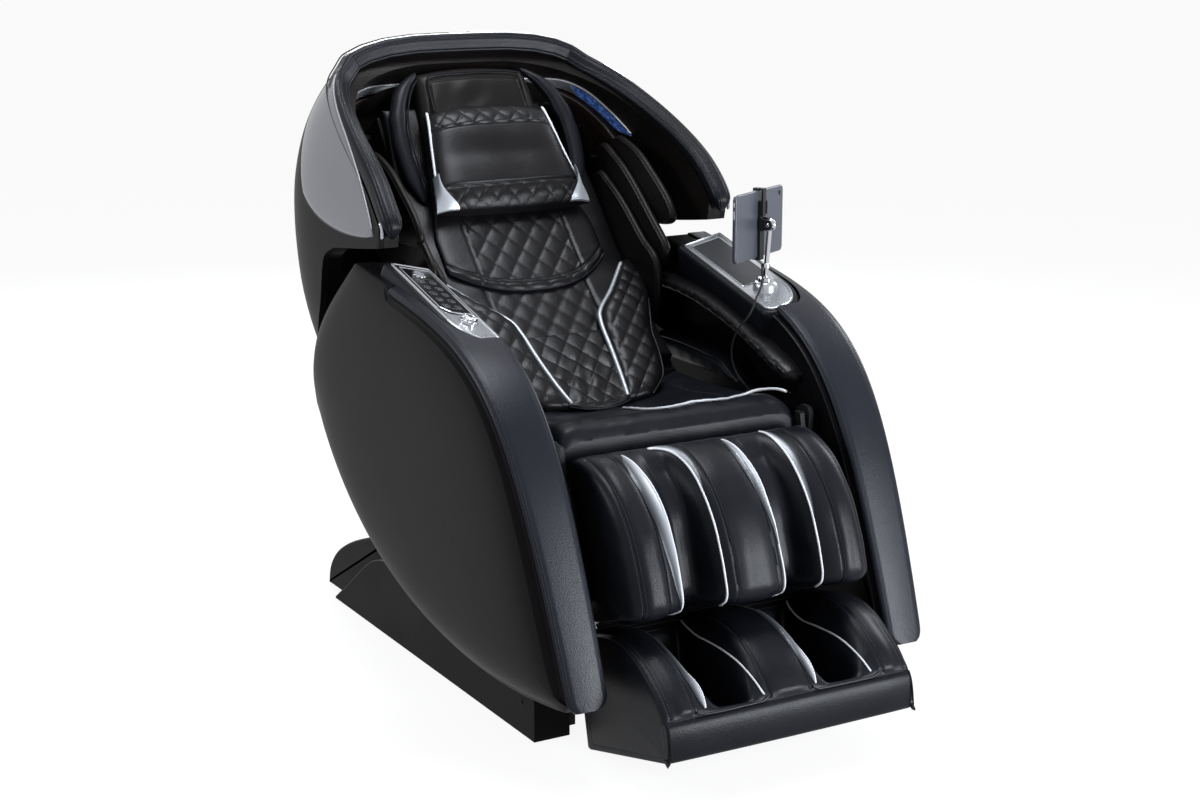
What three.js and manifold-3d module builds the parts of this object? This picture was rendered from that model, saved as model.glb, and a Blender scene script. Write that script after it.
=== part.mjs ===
// A reclining massage chair as an assembly of its real pieces.
// Millimetres, +Z up. The sitter faces -Y, and the chair's own right-hand side is -X.
// The origin lies on the floor, under the middle of the chair.
import * as THREE from 'three';
import { mergeVertices } from 'three/addons/utils/BufferGeometryUtils.js';
import Module from 'manifold-3d';

const wasm = await Module();
wasm.setup();

// ---------------------------------------------------------------- driving dimensions
const gap = 0.4; // between faces that touch
const runningGap = 0.5; // round a pin or a shaft
const guideGap = 0.8; // between a sliding piece and its guide

// side pods
const podHalf = 418; // centre plane to the outside of a pod
const podInner = 299; // centre plane to the inside of a pod
const seamSetTop = 9; // outer face to the band's outer seam, at the arm
const seamSetFoot = 39; // the same, at the toe
const panelDepth = 56; // outer panel, from its outside to its inside
const podSeamTop = podHalf - seamSetTop;
const podSeamFoot = podHalf - seamSetFoot;
const podSkin = podHalf - panelDepth;
const bandDepth = 16;
const podToe = new THREE.Vector2(-598, 152);
const podCrown = new THREE.Vector2(218, 812);
const podHeel = new THREE.Vector2(475, 475);
const podCore = new THREE.Vector2(-60, 470); // middle of the pod's side
const podSteps = 18;
const bandStart = 2; // the band begins under the arm rest

// arm rests
const armCentre = new THREE.Vector3(332, 0, 782);
const armSlope = THREE.MathUtils.degToRad(15);
const armTilt = THREE.MathUtils.degToRad(14);
const armFront = -206;
const armRear = 126;
const trimHalf = 43;
const trimThickness = 14;
const armRim = 11; // leather left round the trim
const armCapDepth = 62;
const channelDepth = 40; // forearm channel into the pod
const armPadDepth = 40;
const airbagDepth = 34;

// keypad, knob and button on the right arm, and the pad on the left one
const keypadHalf = 31;
const keypadFront = -92;
const keypadRear = 106;
const glassThickness = 3;
const knobRadius = 16;
const knobPlace = -134;
const knobHeight = 15;
const buttonRadius = 11;
const buttonPlace = 84;

// back rest: a track that curves in the side view
const trackRadius = 1430;
const trackStart = new THREE.Vector2(59.5755, 589.0824);
const trackFoot = THREE.MathUtils.degToRad(56.1); // the track's slope at its start
const trackCentre = new THREE.Vector2(
  trackStart.x - trackRadius * Math.cos(trackFoot), trackStart.y + trackRadius * Math.sin(trackFoot));
const backHalf = 232;
const backPadStart = 8;
const backPadLength = 660;
const backPadFloor = -22;
const backPadThickness = 18;
const backPadCrown = 10;
const headDip = 0.6; // the back pad's crown lies this much lower under the head pad
const quiltHalf = 100;
const backRail = { half: 150, width: 22, low: -96, high: -64, from: -6, to: 664 };
const sheetOuter = 216;
const sheetThickness = 6;
const chordRise = 1.4; // the sheet's straight facets stand this far above its arc

// hood
const hoodWall = 12;
const hoodPadding = 30;
const rimWidth = 32;
const inlayDepth = 3;
const hoodSquareness = 5;
const hoodMiddle = 285;

// joints seen from the side
const reclinePivot = new THREE.Vector2(138, 466);
const calfPivot = new THREE.Vector2(-345, 545);
const tiltPivot = new THREE.Vector2(190, 190);
const pinRadius = 11;
const legPinRadius = 8;
const plateInner = 270;
const plateThickness = 10;
const plateOuter = plateInner + plateThickness;

// recline actuator
const lugReach = 125;
const lugLean = THREE.MathUtils.degToRad(20);
const lugPinRadius = 6;
const eyePlay = 5.5; // the rod's eye has play round the lug's pin, where the linkage is opened
const rodRadius = 9;
const actuatorRadius = 15;

// seat
const seatHalf = 258;
const seatFront = -332;
const seatRear = 62;
const seatTop = 566;
const seatBottom = 462;
const seatCrown = 16;
const panThickness = 12;

// leg rest and foot rest
const calfHalf = 252;
const calfWall = 58; // width of an outer wall
const calfCentreHalf = 50;
const armLane = { from: 256, to: 266 };
const legGuide = { half: 150, radius: 9, wall: 4, line: 262, top: 440, foot: 232 };
const footFront = new THREE.Vector2(-712, 78); // front bottom corner of the foot rest
const footHalf = 258;
const footLean = THREE.MathUtils.degToRad(14.7);
const footWall = 62;
const footCentreHalf = 50;
const soleThickness = 14;
const panelTop = 72;
const padsRear = 250;

// base
const baseHalf = 318;
const baseFront = -350;
const baseRear = 585;
const railCentre = 232;
const railWidth = 30;
const railHeight = 44;
const railFloor = 46;
const memberHeight = 34;
const panelThickness = 5;
const rearSkin = 4;
const rearHalf = baseHalf - 26;
const inletHalf = 24;
const inletHeight = 30;
const inletFloor = 24;
const boxWidth = 120;
const boxHeight = 52;
const shoeHeight = 26;
const wheelRadius = 27;
const wheelWidth = 24;
const axleRadius = 6;
const wheelCentre = new THREE.Vector2(606, 31);
const wheelSpan = 196;

// massage unit
const unitFoot = 150; // distance along the track to the unit at rest
const unitHalf = 112;
const rollerRadius = 26;
const rollerWidth = 30;
const rollerCentre = 58;
const rollerHeight = -54;
const rollerSpread = 46;
const rollerSeat = 9;
const shaftRadius = 8;

// tablet
const tabletWidth = 206;
const tabletHeight = 134;
const tabletThickness = 8.5;
const tabletTurn = THREE.MathUtils.degToRad(29.4);
const hub = new THREE.Vector3(332, -131, 878);
const stemRadius = 5;
const stemFoot = new THREE.Vector2(332, -118);
const bossTop = 763;
const bossRadius = 24;
const footRadius = 9;
const collarRadius = 15;
const collarHeight = 9;
const ballRadius = 13;
const barrelHalf = 8;
const earThickness = 4;
const hingeRadius = 4;
const barHalf = 9;
const barNear = 17;
const barDepth = 5;
const hook = 4;
const clipRadius = 9; // the ring that the tablet's cable starts at
const clipFloor = 790;
const clipHeight = 10;
const cableDiameter = 4;

// ---------------------------------------------------------------- helpers
const point = (y, z) => new THREE.Vector2(y, z);

// A piece of a cubic curve in the side view, without its last point.
function sweep(start, pull, push, end, steps) {
  return new THREE.CubicBezierCurve(start, pull, push, end).getPoints(steps).slice(0, -1);
}

// The points of a closed shape, each of them once.
function outlineOf(shape, divisions) {
  const points = shape.extractPoints(divisions).shape;
  return points.filter((p, i) => p.distanceTo(points[(i + 1) % points.length]) > 1e-3);
}

// A smooth function through a few named stations.
function profile(stations, values) {
  const curve = new THREE.CubicInterpolant(stations, values, 1, new Float64Array(1));
  return (at) => curve.evaluate(at)[0];
}

// A closed outline with every side moved by a distance; a positive distance goes inwards.
function inset(outline, distance) {
  const turn = Math.sign(THREE.ShapeUtils.area(outline));
  const normalOf = (from, to) => point(from.y - to.y, to.x - from.x).normalize();
  return outline.map((here, i) => {
    const before = normalOf(outline.at(i - 1), here);
    const after = normalOf(here, outline[(i + 1) % outline.length]);
    const reach = turn * distance / Math.max(1 + before.dot(after), 0.35);
    return before.add(after).multiplyScalar(reach).add(here);
  });
}

// An outline of the side view, extruded from one x to another.
function slab(outline, from, to, holes = []) {
  const shape = new THREE.Shape(outline);
  holes.forEach(([centre, radius]) => shape.holes.push(
    new THREE.Path().absarc(centre.x, centre.y, radius, 0, 2 * Math.PI)));
  const low = Math.min(from, to);
  const options = { depth: Math.abs(to - from), bevelEnabled: false, curveSegments: 7 };
  return new THREE.ExtrudeGeometry(shape, options)
    .applyMatrix4(new THREE.Matrix4().set(0, 0, 1, low, 1, 0, 0, 0, 0, 1, 0, 0, 0, 0, 0, 1));
}

// An outline of the plan view, extruded upwards.
function plate(outline, floor, height) {
  const options = { depth: height, bevelEnabled: false, curveSegments: 10 };
  return new THREE.ExtrudeGeometry(new THREE.Shape(outline), options).translate(0, 0, floor);
}

function block(low, high) {
  const size = high.map((value, i) => value - low[i]);
  const middle = high.map((value, i) => (value + low[i]) / 2);
  return new THREE.BoxGeometry(...size).translate(...middle);
}

// A block between any two opposite corners.
const absBlock = (low, high) => block(
  low.map((value, i) => Math.min(value, high[i])), low.map((value, i) => Math.max(value, high[i])));

// A round bar or a tube end along x.
function barX(centre, radius, from, to, sides = 12) {
  return new THREE.CylinderGeometry(radius, radius, Math.abs(to - from), sides)
    .rotateZ(Math.PI / 2)
    .translate((from + to) / 2, centre.x, centre.y);
}

// The same, upright.
function barZ(x, y, radius, from, to, sides = 18) {
  return new THREE.CylinderGeometry(radius, radius, to - from, sides)
    .rotateX(Math.PI / 2)
    .translate(x, y, (from + to) / 2);
}

// A closed body through rings of equal count.
function loft(rings) {
  const count = rings[0].length;
  const positions = rings.flat().flatMap((p) => [p.x, p.y, p.z]);
  const index = [];
  for (let ring = 0; ring + 1 < rings.length; ring += 1) {
    for (let i = 0; i < count; i += 1) {
      const a = ring * count + i;
      const b = ring * count + (i + 1) % count;
      index.push(a, b, b + count, a, b + count, a + count);
    }
  }
  const last = (rings.length - 1) * count;
  capFaces(rings[0]).forEach(([a, b, c]) => index.push(c, b, a));
  capFaces(rings.at(-1)).forEach(([a, b, c]) => index.push(last + a, last + b, last + c));
  const geometry = new THREE.BufferGeometry();
  geometry.setAttribute('position', new THREE.Float32BufferAttribute(positions, 3));
  geometry.setIndex(index);
  return facingOut(geometry);
}

// Triangles that close a ring, in the ring's own direction.
function capFaces(ring) {
  const normal = new THREE.Vector3();
  ring.forEach((here, i) => normal.add(here.clone().cross(ring[(i + 1) % ring.length])));
  const size = normal.toArray().map(Math.abs);
  const drop = size.indexOf(Math.max(...size));
  const [first, second] = [0, 1, 2].filter((axis) => axis !== drop);
  let flat = ring.map((p) => point(p.getComponent(first), p.getComponent(second)));
  if (THREE.ShapeUtils.area(flat) < 0) flat = flat.map((p) => point(p.y, p.x));
  return THREE.ShapeUtils.triangulateShape(flat, []);
}

// Turns a closed body's faces outwards.
function facingOut(geometry) {
  const at = geometry.attributes.position;
  const index = geometry.index.array;
  const [a, b, c] = [new THREE.Vector3(), new THREE.Vector3(), new THREE.Vector3()];
  let volume = 0;
  for (let i = 0; i < index.length; i += 3) {
    a.fromBufferAttribute(at, index[i]);
    b.fromBufferAttribute(at, index[i + 1]);
    c.fromBufferAttribute(at, index[i + 2]);
    volume += a.dot(b.cross(c));
  }
  if (volume < 0) {
    for (let i = 0; i < index.length; i += 3) [index[i], index[i + 2]] = [index[i + 2], index[i]];
  }
  geometry.computeVertexNormals();
  return geometry;
}

function asSolid(geometry) {
  const bare = geometry.clone();
  bare.deleteAttribute('normal');
  bare.deleteAttribute('uv');
  const merged = mergeVertices(bare, 1e-3);
  return new wasm.Manifold(new wasm.Mesh({
    numProp: 3,
    vertProperties: new Float32Array(merged.attributes.position.array),
    triVerts: new Uint32Array(merged.index.array),
  }));
}

function asGeometry(solid) {
  const mesh = solid.getMesh();
  const geometry = new THREE.BufferGeometry();
  geometry.setAttribute('position', new THREE.BufferAttribute(mesh.vertProperties, 3));
  geometry.setIndex(new THREE.BufferAttribute(mesh.triVerts, 1));
  geometry.computeVertexNormals();
  return geometry;
}

function join(...shapes) {
  return asGeometry(shapes.map(asSolid).reduce((all, next) => all.add(next)));
}

function cut(shape, ...tools) {
  return asGeometry(tools.map(asSolid).reduce((rest, tool) => rest.subtract(tool), asSolid(shape)));
}

function common(shape, tool) {
  return asGeometry(asSolid(shape).intersect(asSolid(tool)));
}

// The same piece for the chair's other side.
function mirrored(geometry) {
  const copy = geometry.clone();
  copy.deleteAttribute('normal');
  copy.deleteAttribute('uv');
  const whole = copy.index ? copy : mergeVertices(copy, 1e-3);
  whole.applyMatrix4(new THREE.Matrix4().makeScale(-1, 1, 1));
  return facingOut(whole);
}

// A sewn pad: a grid over an outline, raised in the middle, with sides drawn in below.
// place(across, along, height) gives a point; across runs -1..1 and along 0..1.
function pad({ columns, rows, crown, thickness, drawIn = 0.94, seam = () => 0, place }) {
  const grid = [];
  const rise = (across, along) => {
    const edge = (1 - across ** 4) * (1 - (2 * along - 1) ** 4);
    return thickness + crown * Math.sqrt(Math.max(edge, 0)) - seam(across, along);
  };
  for (let row = 0; row <= rows; row += 1) {
    for (let column = 0; column <= columns; column += 1) {
      const across = 2 * column / columns - 1;
      const along = row / rows;
      grid.push(place(across, along, rise(across, along)));
    }
  }
  const at = (column, row) => row * (columns + 1) + column;
  const index = [];
  for (let row = 0; row < rows; row += 1) {
    for (let column = 0; column < columns; column += 1) {
      const [a, b] = [at(column, row), at(column + 1, row)];
      const [c, d] = [at(column + 1, row + 1), at(column, row + 1)];
      if ((row + column) % 2 === 0) index.push(a, b, c, a, c, d);
      else index.push(a, b, d, b, c, d);
    }
  }
  const rimOf = [];
  for (let column = 0; column < columns; column += 1) rimOf.push([column, 0]);
  for (let row = 0; row < rows; row += 1) rimOf.push([columns, row]);
  for (let column = columns; column > 0; column -= 1) rimOf.push([column, rows]);
  for (let row = rows; row > 0; row -= 1) rimOf.push([0, row]);
  const sole = rimOf.map(([column, row]) => {
    const across = (2 * column / columns - 1) * drawIn;
    const along = 0.5 + (row / rows - 0.5) * drawIn;
    return place(across, along, 0);
  });
  const base = grid.length;
  rimOf.forEach(([column, row], i) => {
    const next = (i + 1) % rimOf.length;
    const [nextColumn, nextRow] = rimOf[next];
    index.push(at(column, row), base + i, base + next);
    index.push(at(column, row), base + next, at(nextColumn, nextRow));
  });
  // the underside runs in strips from side to side, so that it follows a curved bed
  const right = (row) => base + columns + row;
  const left = (row) => base + (row === 0 ? 0 : 2 * (columns + rows) - row);
  const under = (a, b, c) => index.push(c, b, a);
  for (let row = 1; row < rows - 1; row += 1) {
    under(left(row), right(row), right(row + 1));
    under(left(row), right(row + 1), left(row + 1));
  }
  for (let column = 0; column < columns; column += 1) {
    const first = base + column;
    const last = base + 2 * columns + rows - column;
    const near = column < columns / 2 ? left : right;
    under(first, first + 1, near(1));
    under(last - 1, last, near(rows - 1));
  }
  const half = Math.ceil(columns / 2);
  under(base + half, right(1), left(1));
  under(base + 2 * columns + rows - half, left(rows - 1), right(rows - 1));
  const geometry = new THREE.BufferGeometry();
  const positions = [...grid, ...sole].flatMap((p) => [p.x, p.y, p.z]);
  geometry.setAttribute('position', new THREE.Float32BufferAttribute(positions, 3));
  geometry.setIndex(index);
  return facingOut(geometry);
}

// How an edge turns: its share of depth and of inset at each ring.
const rolled = [[0, 1], [0.3, 0.3], [1, 0]];
const bevelled = [[0, 1], [1, 0]];

// A padded wall: a side-view outline with turned edges, from one x to another.
function cheek(outline, from, to, edge, turn = bevelled) {
  const way = Math.sign(to - from);
  const ring = (x, share) => inset(outline, edge * share).map((p) => new THREE.Vector3(x, p.x, p.y));
  return loft([
    ...turn.map(([depth, share]) => ring(from + way * edge * depth, share)),
    ...turn.map(([depth, share]) => ring(to - way * edge * depth, share)).reverse(),
  ]);
}

// A tube along a list of points.
function tubeAlong(points, radius, steps, sides = 8) {
  const section = new THREE.Shape(Array.from({ length: sides }, (_, i) => point(
    radius * Math.cos(2 * Math.PI * i / sides), radius * Math.sin(2 * Math.PI * i / sides))));
  const path = new THREE.CatmullRomCurve3(points, false, 'centripetal');
  return new THREE.ExtrudeGeometry(section, { steps, extrudePath: path, bevelEnabled: false });
}

// ---------------------------------------------------------------- finishes
const finish = (color, roughness, metalness) => ({ color, roughness, metalness });
const leather = finish(0x17181b, 0.42, 0);
const quilt = finish(0x121315, 0.5, 0);
const satinPanel = finish(0x0e0f11, 0.45, 0);
const greyGloss = finish(0x54565c, 0.18, 0.3);
const silver = finish(0xb9bbbf, 0.3, 0.8);
const chrome = finish(0xd8dadd, 0.08, 1);
const blackGloss = finish(0x08080a, 0.1, 0);
const blueGlass = finish(0x16305c, 0.1, 0);
const steel = finish(0x2c2e32, 0.5, 0.7);
const plastic = finish(0x1b1c1e, 0.6, 0);
const rubber = finish(0x1f1f20, 0.85, 0);
const tabletShell = finish(0x3a3d44, 0.4, 0.5);

const chair = new THREE.Group();

function piece(name, geometry, look, parent = chair) {
  const mesh = new THREE.Mesh(geometry, new THREE.MeshStandardMaterial(look));
  mesh.name = name;
  parent.add(mesh);
  return mesh;
}

// A left-hand geometry (+X) and its mirror image.
function bothSides(name, geometry, look) {
  piece(`${name}_left`, geometry, look);
  piece(`${name}_right`, mirrored(geometry), look);
}

// ---------------------------------------------------------------- side pods
const podFront = sweep(podCrown, point(-316, 739), point(-386, 748), podToe, podSteps);
const podUnder = sweep(podToe, point(-188, 71), point(261, 141), podHeel, 11);
const podBack = sweep(podHeel, point(519, 616), point(371, 703), podCrown, 7);
const podOutline = [...podFront, ...podUnder, ...podBack];

// Outer band seam at a height.
function podSeam(z) {
  const rise = THREE.MathUtils.clamp((z - podToe.y) / (podCrown.y - podToe.y), 0, 1);
  return THREE.MathUtils.lerp(podSeamFoot, podSeamTop, rise);
}

// Pod outline with its front edge moved in behind the band.
function behindBand(distance) {
  const moved = inset(podOutline, distance);
  return podOutline.map((here, i) => (i >= bandStart && i <= podSteps ? moved[i] : here));
}

// The leather band down the front of a pod, flat in the middle with rolled edges.
function sideBand() {
  const path = podOutline.slice(bandStart, podSteps + 1);
  const steps = [
    [0, 5, -bandDepth], [0, 0, -6], [0, 5, 0], [1, -5, 0], [1, 0, -6], [1, -5, -bandDepth],
  ];
  const rings = path.map((here, i) => {
    const before = path[Math.max(i - 1, 0)];
    const after = path[Math.min(i + 1, path.length - 1)];
    const along = after.clone().sub(before).normalize();
    const seam = podSeam(here.y);
    return steps.map(([side, shift, depth]) => {
      const x = (side ? seam : podInner) + shift;
      return new THREE.Vector3(x, here.x - along.y * -depth, here.y + along.x * -depth);
    });
  });
  return loft(rings);
}

// The outer panel: the pod's outline, swelling outwards to its middle.
function sidePanel() {
  const outline = behindBand(bandDepth + gap);
  const rings = [
    [1, () => podSkin],
    [1, (p) => podSeam(p.y) - 7],
    [0.985, (p) => podSeam(p.y) - 1],
    [0.93, (p) => THREE.MathUtils.lerp(podSeam(p.y), podHalf, 0.45)],
    [0.76, (p) => THREE.MathUtils.lerp(podSeam(p.y), podHalf, 0.82)],
    [0.45, () => podHalf],
  ];
  return loft(rings.map(([share, reach]) => outline.map((p) => {
    const spot = podCore.clone().lerp(p, share);
    return new THREE.Vector3(reach(spot), spot.x, spot.y);
  })));
}

// Arm rest outlines in the tilted plane of the trim, from the inner rear corner.
function trimOutline(grow) {
  const noseHalf = trimHalf + grow;
  const shape = new THREE.Shape();
  shape.moveTo(-noseHalf, armRear + grow);
  shape.lineTo(noseHalf, armRear + grow);
  shape.lineTo(noseHalf, armFront + 88);
  shape.bezierCurveTo(noseHalf, armFront + 40, noseHalf - 18, armFront + 12 - grow,
    noseHalf - 38, armFront + 3 - grow);
  shape.bezierCurveTo(noseHalf - 50, armFront - grow, -noseHalf + 4, armFront - grow,
    -noseHalf, armFront + 22 - grow);
  shape.closePath();
  return outlineOf(shape, 5);
}

const armFrame = new THREE.Matrix4().compose(
  armCentre, new THREE.Quaternion().setFromEuler(new THREE.Euler(armSlope, -armTilt, 0)),
  new THREE.Vector3(1, 1, 1));
const onArm = (geometry) => geometry.applyMatrix4(armFrame);
const capCutter = (height) => onArm(plate(trimOutline(armRim + gap), -armCapDepth - gap, height));

// The padded arm box under the trim, with the trim's recess.
function armCap() {
  const body = plate(trimOutline(armRim), -armCapDepth, armCapDepth - 3);
  const recess = plate(trimOutline(gap), -trimThickness - gap, 40);
  return onArm(cut(body, recess));
}

const channelOutline = [
  point(236, 706), point(60, 700), point(-104, 663), point(-292, 588), point(-250, 548),
  point(-132, 548), point(-38, 602), point(86, 611), point(236, 613),
];

function armBody() {
  const outline = inset(behindBand(bandDepth + gap), 3);
  const clearAbove = onArm(plate(trimOutline(armRim + gap), -armCapDepth + 14, 120));
  const core = cut(slab(outline, podInner, podSkin - gap), clearAbove);
  const channel = slab(channelOutline, podInner - 40, podInner + channelDepth);
  return cut(join(core, armCap()), channel);
}

bothSides('side_band', cut(sideBand(), capCutter(200)), leather);
bothSides('side_shell', cut(sidePanel(), capCutter(200)), satinPanel);
bothSides('arm_body', armBody(), leather);

// ---------------------------------------------------------------- arm trims and controls

function keypadOutline(grow) {
  return [
    point(-keypadHalf - grow, keypadRear + grow), point(keypadHalf + grow, keypadRear + grow),
    point(keypadHalf + grow, keypadFront + 16), point(keypadHalf - 14, keypadFront - grow),
    point(-keypadHalf - grow, keypadFront - grow),
  ];
}

function padPocket() {
  return plate(keypadOutline(gap), -glassThickness - gap, 20);
}

function disc(radius, floor, height, place, sides = 20) {
  return new THREE.CylinderGeometry(radius, radius, height, sides)
    .rotateX(Math.PI / 2)
    .translate(0, place, floor + height / 2);
}

const trimBody = () => plate(trimOutline(0), -trimThickness, trimThickness);

const armLeft = new THREE.Group();
armLeft.position.copy(armCentre);
armLeft.rotation.set(armSlope, -armTilt, 0);
const armRight = new THREE.Group();
armRight.position.set(-armCentre.x, armCentre.y, armCentre.z);
armRight.rotation.set(armSlope, armTilt, 0);
chair.add(armLeft, armRight);

// Left arm: charging pad and the upright boss that carries the tablet stem.
const offArm = (geometry) => geometry.applyMatrix4(armFrame.clone().invert());
const bossBlank = offArm(barZ(stemFoot.x, stemFoot.y, bossRadius, bossTop - 26, bossTop, 24));
const bossClear = plate(trimOutline(0), -trimThickness, 80);
const stemBore = offArm(barZ(stemFoot.x, stemFoot.y, footRadius + runningGap, bossTop - 13, bossTop + 20));
const trimLeft = join(trimBody(), common(bossBlank, bossClear));
piece('arm_trim_left', cut(trimLeft, padPocket(), stemBore), silver, armLeft);
piece('charging_pad', plate(keypadOutline(0), -glassThickness, glassThickness + 0.8), rubber, armLeft);

// Right arm: touch keypad, power button and control knob.
const buttonBore = disc(buttonRadius + runningGap, -glassThickness - 8, 30, buttonPlace);
const knobBore = disc(shaftRadius + runningGap, -10, 30, knobPlace);
const trimRight = cut(mirrored(trimBody()), mirrored(padPocket()), buttonBore, knobBore);
piece('arm_trim_right', trimRight, silver, armRight);
const glass = plate(keypadOutline(0), -glassThickness, glassThickness + 0.6);
piece('keypad_glass', cut(mirrored(glass), buttonBore), blackGloss, armRight);
const buttonStem = disc(buttonRadius - 3, -glassThickness - 5.5, 5, buttonPlace, 20);
const button = join(disc(buttonRadius, -glassThickness - 1.5, glassThickness + 3.5, buttonPlace), buttonStem);
piece('power_button', button, silver, armRight);

// The knob is a lobed grip on a round skirt.
function knobShape() {
  const lobes = 7;
  const grip = Array.from({ length: lobes * 4 }, (_, i) => {
    const angle = 2 * Math.PI * i / (lobes * 4);
    const radius = knobRadius - 2 + 1.6 * Math.cos(lobes * angle);
    return point(radius * Math.cos(angle), radius * Math.sin(angle) + knobPlace);
  });
  const skirt = disc(knobRadius + 2, gap, 4, knobPlace, 24);
  const stem = disc(shaftRadius, -9, 12, knobPlace, 14);
  return join(plate(grip, 3.5, knobHeight - 3.5), skirt, stem);
}
piece('control_knob', knobShape(), chrome, armRight);

// ---------------------------------------------------------------- arm pads inside the pods
const stripOutline = [
  point(212, 738), point(90, 733), point(-20, 716), point(-152, 676), point(-292, 622),
  point(-302, 604), point(-288, 592), point(-104, 666), point(66, 703), point(212, 710),
];
const airbagOutline = [
  point(212, 609), point(86, 608), point(-38, 599), point(-88, 578), point(-120, 563),
  point(-60, 559), point(212, 561),
];
const armPad = cheek(stripOutline, podInner - gap, podInner - armPadDepth, 7);
bothSides('arm_pad', cut(armPad, capCutter(200)), quilt);
bothSides('arm_airbag', cheek(airbagOutline, podInner - gap, podInner - airbagDepth, 6), leather);

// ---------------------------------------------------------------- base
const coverTop = [
  point(baseFront, 95), point(-200, 108), point(0, 132), point(150, 160), point(255, 171),
  point(345, 157), point(408, 128), point(512, 54), point(baseRear, 4),
];

function baseCover() {
  const side = [point(baseRear, 0), ...[...coverTop].reverse(), point(baseFront, 0)];
  const outer = slab(side, baseHalf - panelThickness, baseHalf);
  const front = block([baseHalf - 74, baseFront, 0], [baseHalf - 1, baseFront + panelThickness, 95]);
  return join(outer, front);
}
bothSides('base_cover', baseCover(), satinPanel);

// The rear cover is a thin arched shell, open below.
function rearCover() {
  const arch = [
    ...sweep(point(688, 0), point(690, 62), point(640, 112), point(453, 171), 10),
    ...sweep(point(453, 171), point(420, 180), point(360, 200), point(330, 204), 4),
    point(330, 204),
  ];
  const thickness = arch.map((p, i) => {
    const before = arch[Math.max(i - 1, 0)];
    const after = arch[Math.min(i + 1, arch.length - 1)];
    const along = after.clone().sub(before).normalize();
    return point(p.x - along.y * rearSkin, p.y + along.x * rearSkin);
  });
  thickness[0].y = 0;
  const half = rearHalf;
  const skin = [...arch, ...thickness.reverse()];
  const cheekOutline = [...arch, point(330, 120), point(560, 0)];
  const shell = join(
    slab(skin, -half, half),
    slab(cheekOutline, half - rearSkin, half),
    slab(cheekOutline, -half, -half + rearSkin),
  );
  return cut(shell, block([-inletHalf - gap, 640, inletFloor - gap],
    [inletHalf + gap, 720, inletFloor + inletHeight + gap]));
}
piece('rear_cover', rearCover(), satinPanel);

function powerInlet() {
  const body = block([-inletHalf, 655, inletFloor], [inletHalf, 694, inletFloor + inletHeight]);
  const socket = block([-inletHalf + 5, 672, inletFloor + 6], [inletHalf - 5, 720, inletFloor + inletHeight - 6]);
  const pins = [-8, 0, 8].map((x) => block([x - 1, 665, inletFloor + 11], [x + 1, 686, inletFloor + 19]));
  return join(cut(body, socket), ...pins);
}
piece('power_inlet', powerInlet(), plastic);

function baseFrame() {
  const railTop = railFloor + railHeight;
  const parts = [];
  [-1, 1].forEach((side) => {
    const middle = side * railCentre;
    parts.push(block([middle - railWidth / 2, baseFront + 12, railFloor],
      [middle + railWidth / 2, 560, railTop]));
    [baseFront + 40, 120, 470].forEach((y) => parts.push(
      block([middle - 22, y, 0], [middle + 22, y + 44, railFloor + 2])));
    [baseFront + 30, 370].forEach((y) => parts.push(
      absBlock([side * (railCentre + 8), y, 50], [side * (baseHalf - panelThickness - gap), y + 30, 80])));
    parts.push(slab([point(540, 84), point(640, 60), point(640, 12), point(590, 10), point(540, 50)],
      side * (railCentre - 8), side * (railCentre - 2)));
  });
  // the cross members in the carriage's way stay below its shoes
  const shellInner = rearHalf - rearSkin - gap;
  [[baseFront + 30, 9, railCentre], [-40, 9, railCentre], [300, memberHeight, railCentre],
    [520, memberHeight, shellInner]].forEach(([y, height, half]) => parts.push(
    block([-half, y, railFloor + 4], [half, y + 32, railFloor + 4 + height])));
  const axleBore = barX(wheelCentre, axleRadius + runningGap, -railCentre, railCentre);
  return cut(join(...parts), axleBore);
}
piece('base_frame', baseFrame(), steel);

// Two wheels on one axle, a little clear of the floor until the chair is tipped back.
function transportWheels() {
  const axle = barX(wheelCentre, axleRadius, -railCentre + 1, railCentre - 1);
  const tyres = [-1, 1].map((side) => barX(wheelCentre, wheelRadius,
    side * (wheelSpan - wheelWidth / 2), side * (wheelSpan + wheelWidth / 2), 18));
  return join(axle, ...tyres);
}
piece('transport_wheels', transportWheels(), rubber);

const boxFloor = railFloor + 4 + memberHeight + gap;
piece('control_box', cut(
  block([-boxWidth, 312, boxFloor], [boxWidth, 534, boxFloor + boxHeight]),
  ...[-2, -1, 0, 1, 2].map((i) => block(
    [i * 36 - 12, 340, boxFloor + boxHeight - 5], [i * 36 + 12, 506, boxFloor + boxHeight + 8])),
), plastic);

// ---------------------------------------------------------------- slide carriage
function slideCarriage() {
  const railTop = railFloor + railHeight;
  const parts = [];
  [-1, 1].forEach((side) => {
    const middle = side * railCentre;
    parts.push(block([middle - 24, -170, railTop + guideGap], [middle + 24, 250, railTop + shoeHeight]));
    [-1, 1].forEach((edge) => parts.push(absBlock(
      [middle + edge * (railWidth / 2 + guideGap), -170, railFloor + 16],
      [middle + edge * 24, 250, railTop + 4])));
    parts.push(slab([
      point(120, railTop + 10), point(248, railTop + 10), point(tiltPivot.x + 20, tiltPivot.y + 4),
      point(tiltPivot.x + 12, tiltPivot.y + 19), point(tiltPivot.x - 12, tiltPivot.y + 19),
      point(tiltPivot.x - 22, tiltPivot.y + 2),
    ], side * 246, side * 256));
    parts.push(absBlock([side * 200, -150, railTop + 8], [side * 256, -110, 146]));
  });
  [-150, 200].forEach((y) => parts.push(
    block([-250, y, railTop + 6], [250, y + 34, railTop + shoeHeight - 2])));
  parts.push(barX(tiltPivot, pinRadius + 5, -250, 250, 16));
  parts.push(barX(tiltPivot, pinRadius, -279, 279, 16));
  return join(...parts);
}
piece('slide_carriage', slideCarriage(), steel);

// ---------------------------------------------------------------- seat frame
const panFloor = seatBottom - gap - panThickness;

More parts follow.
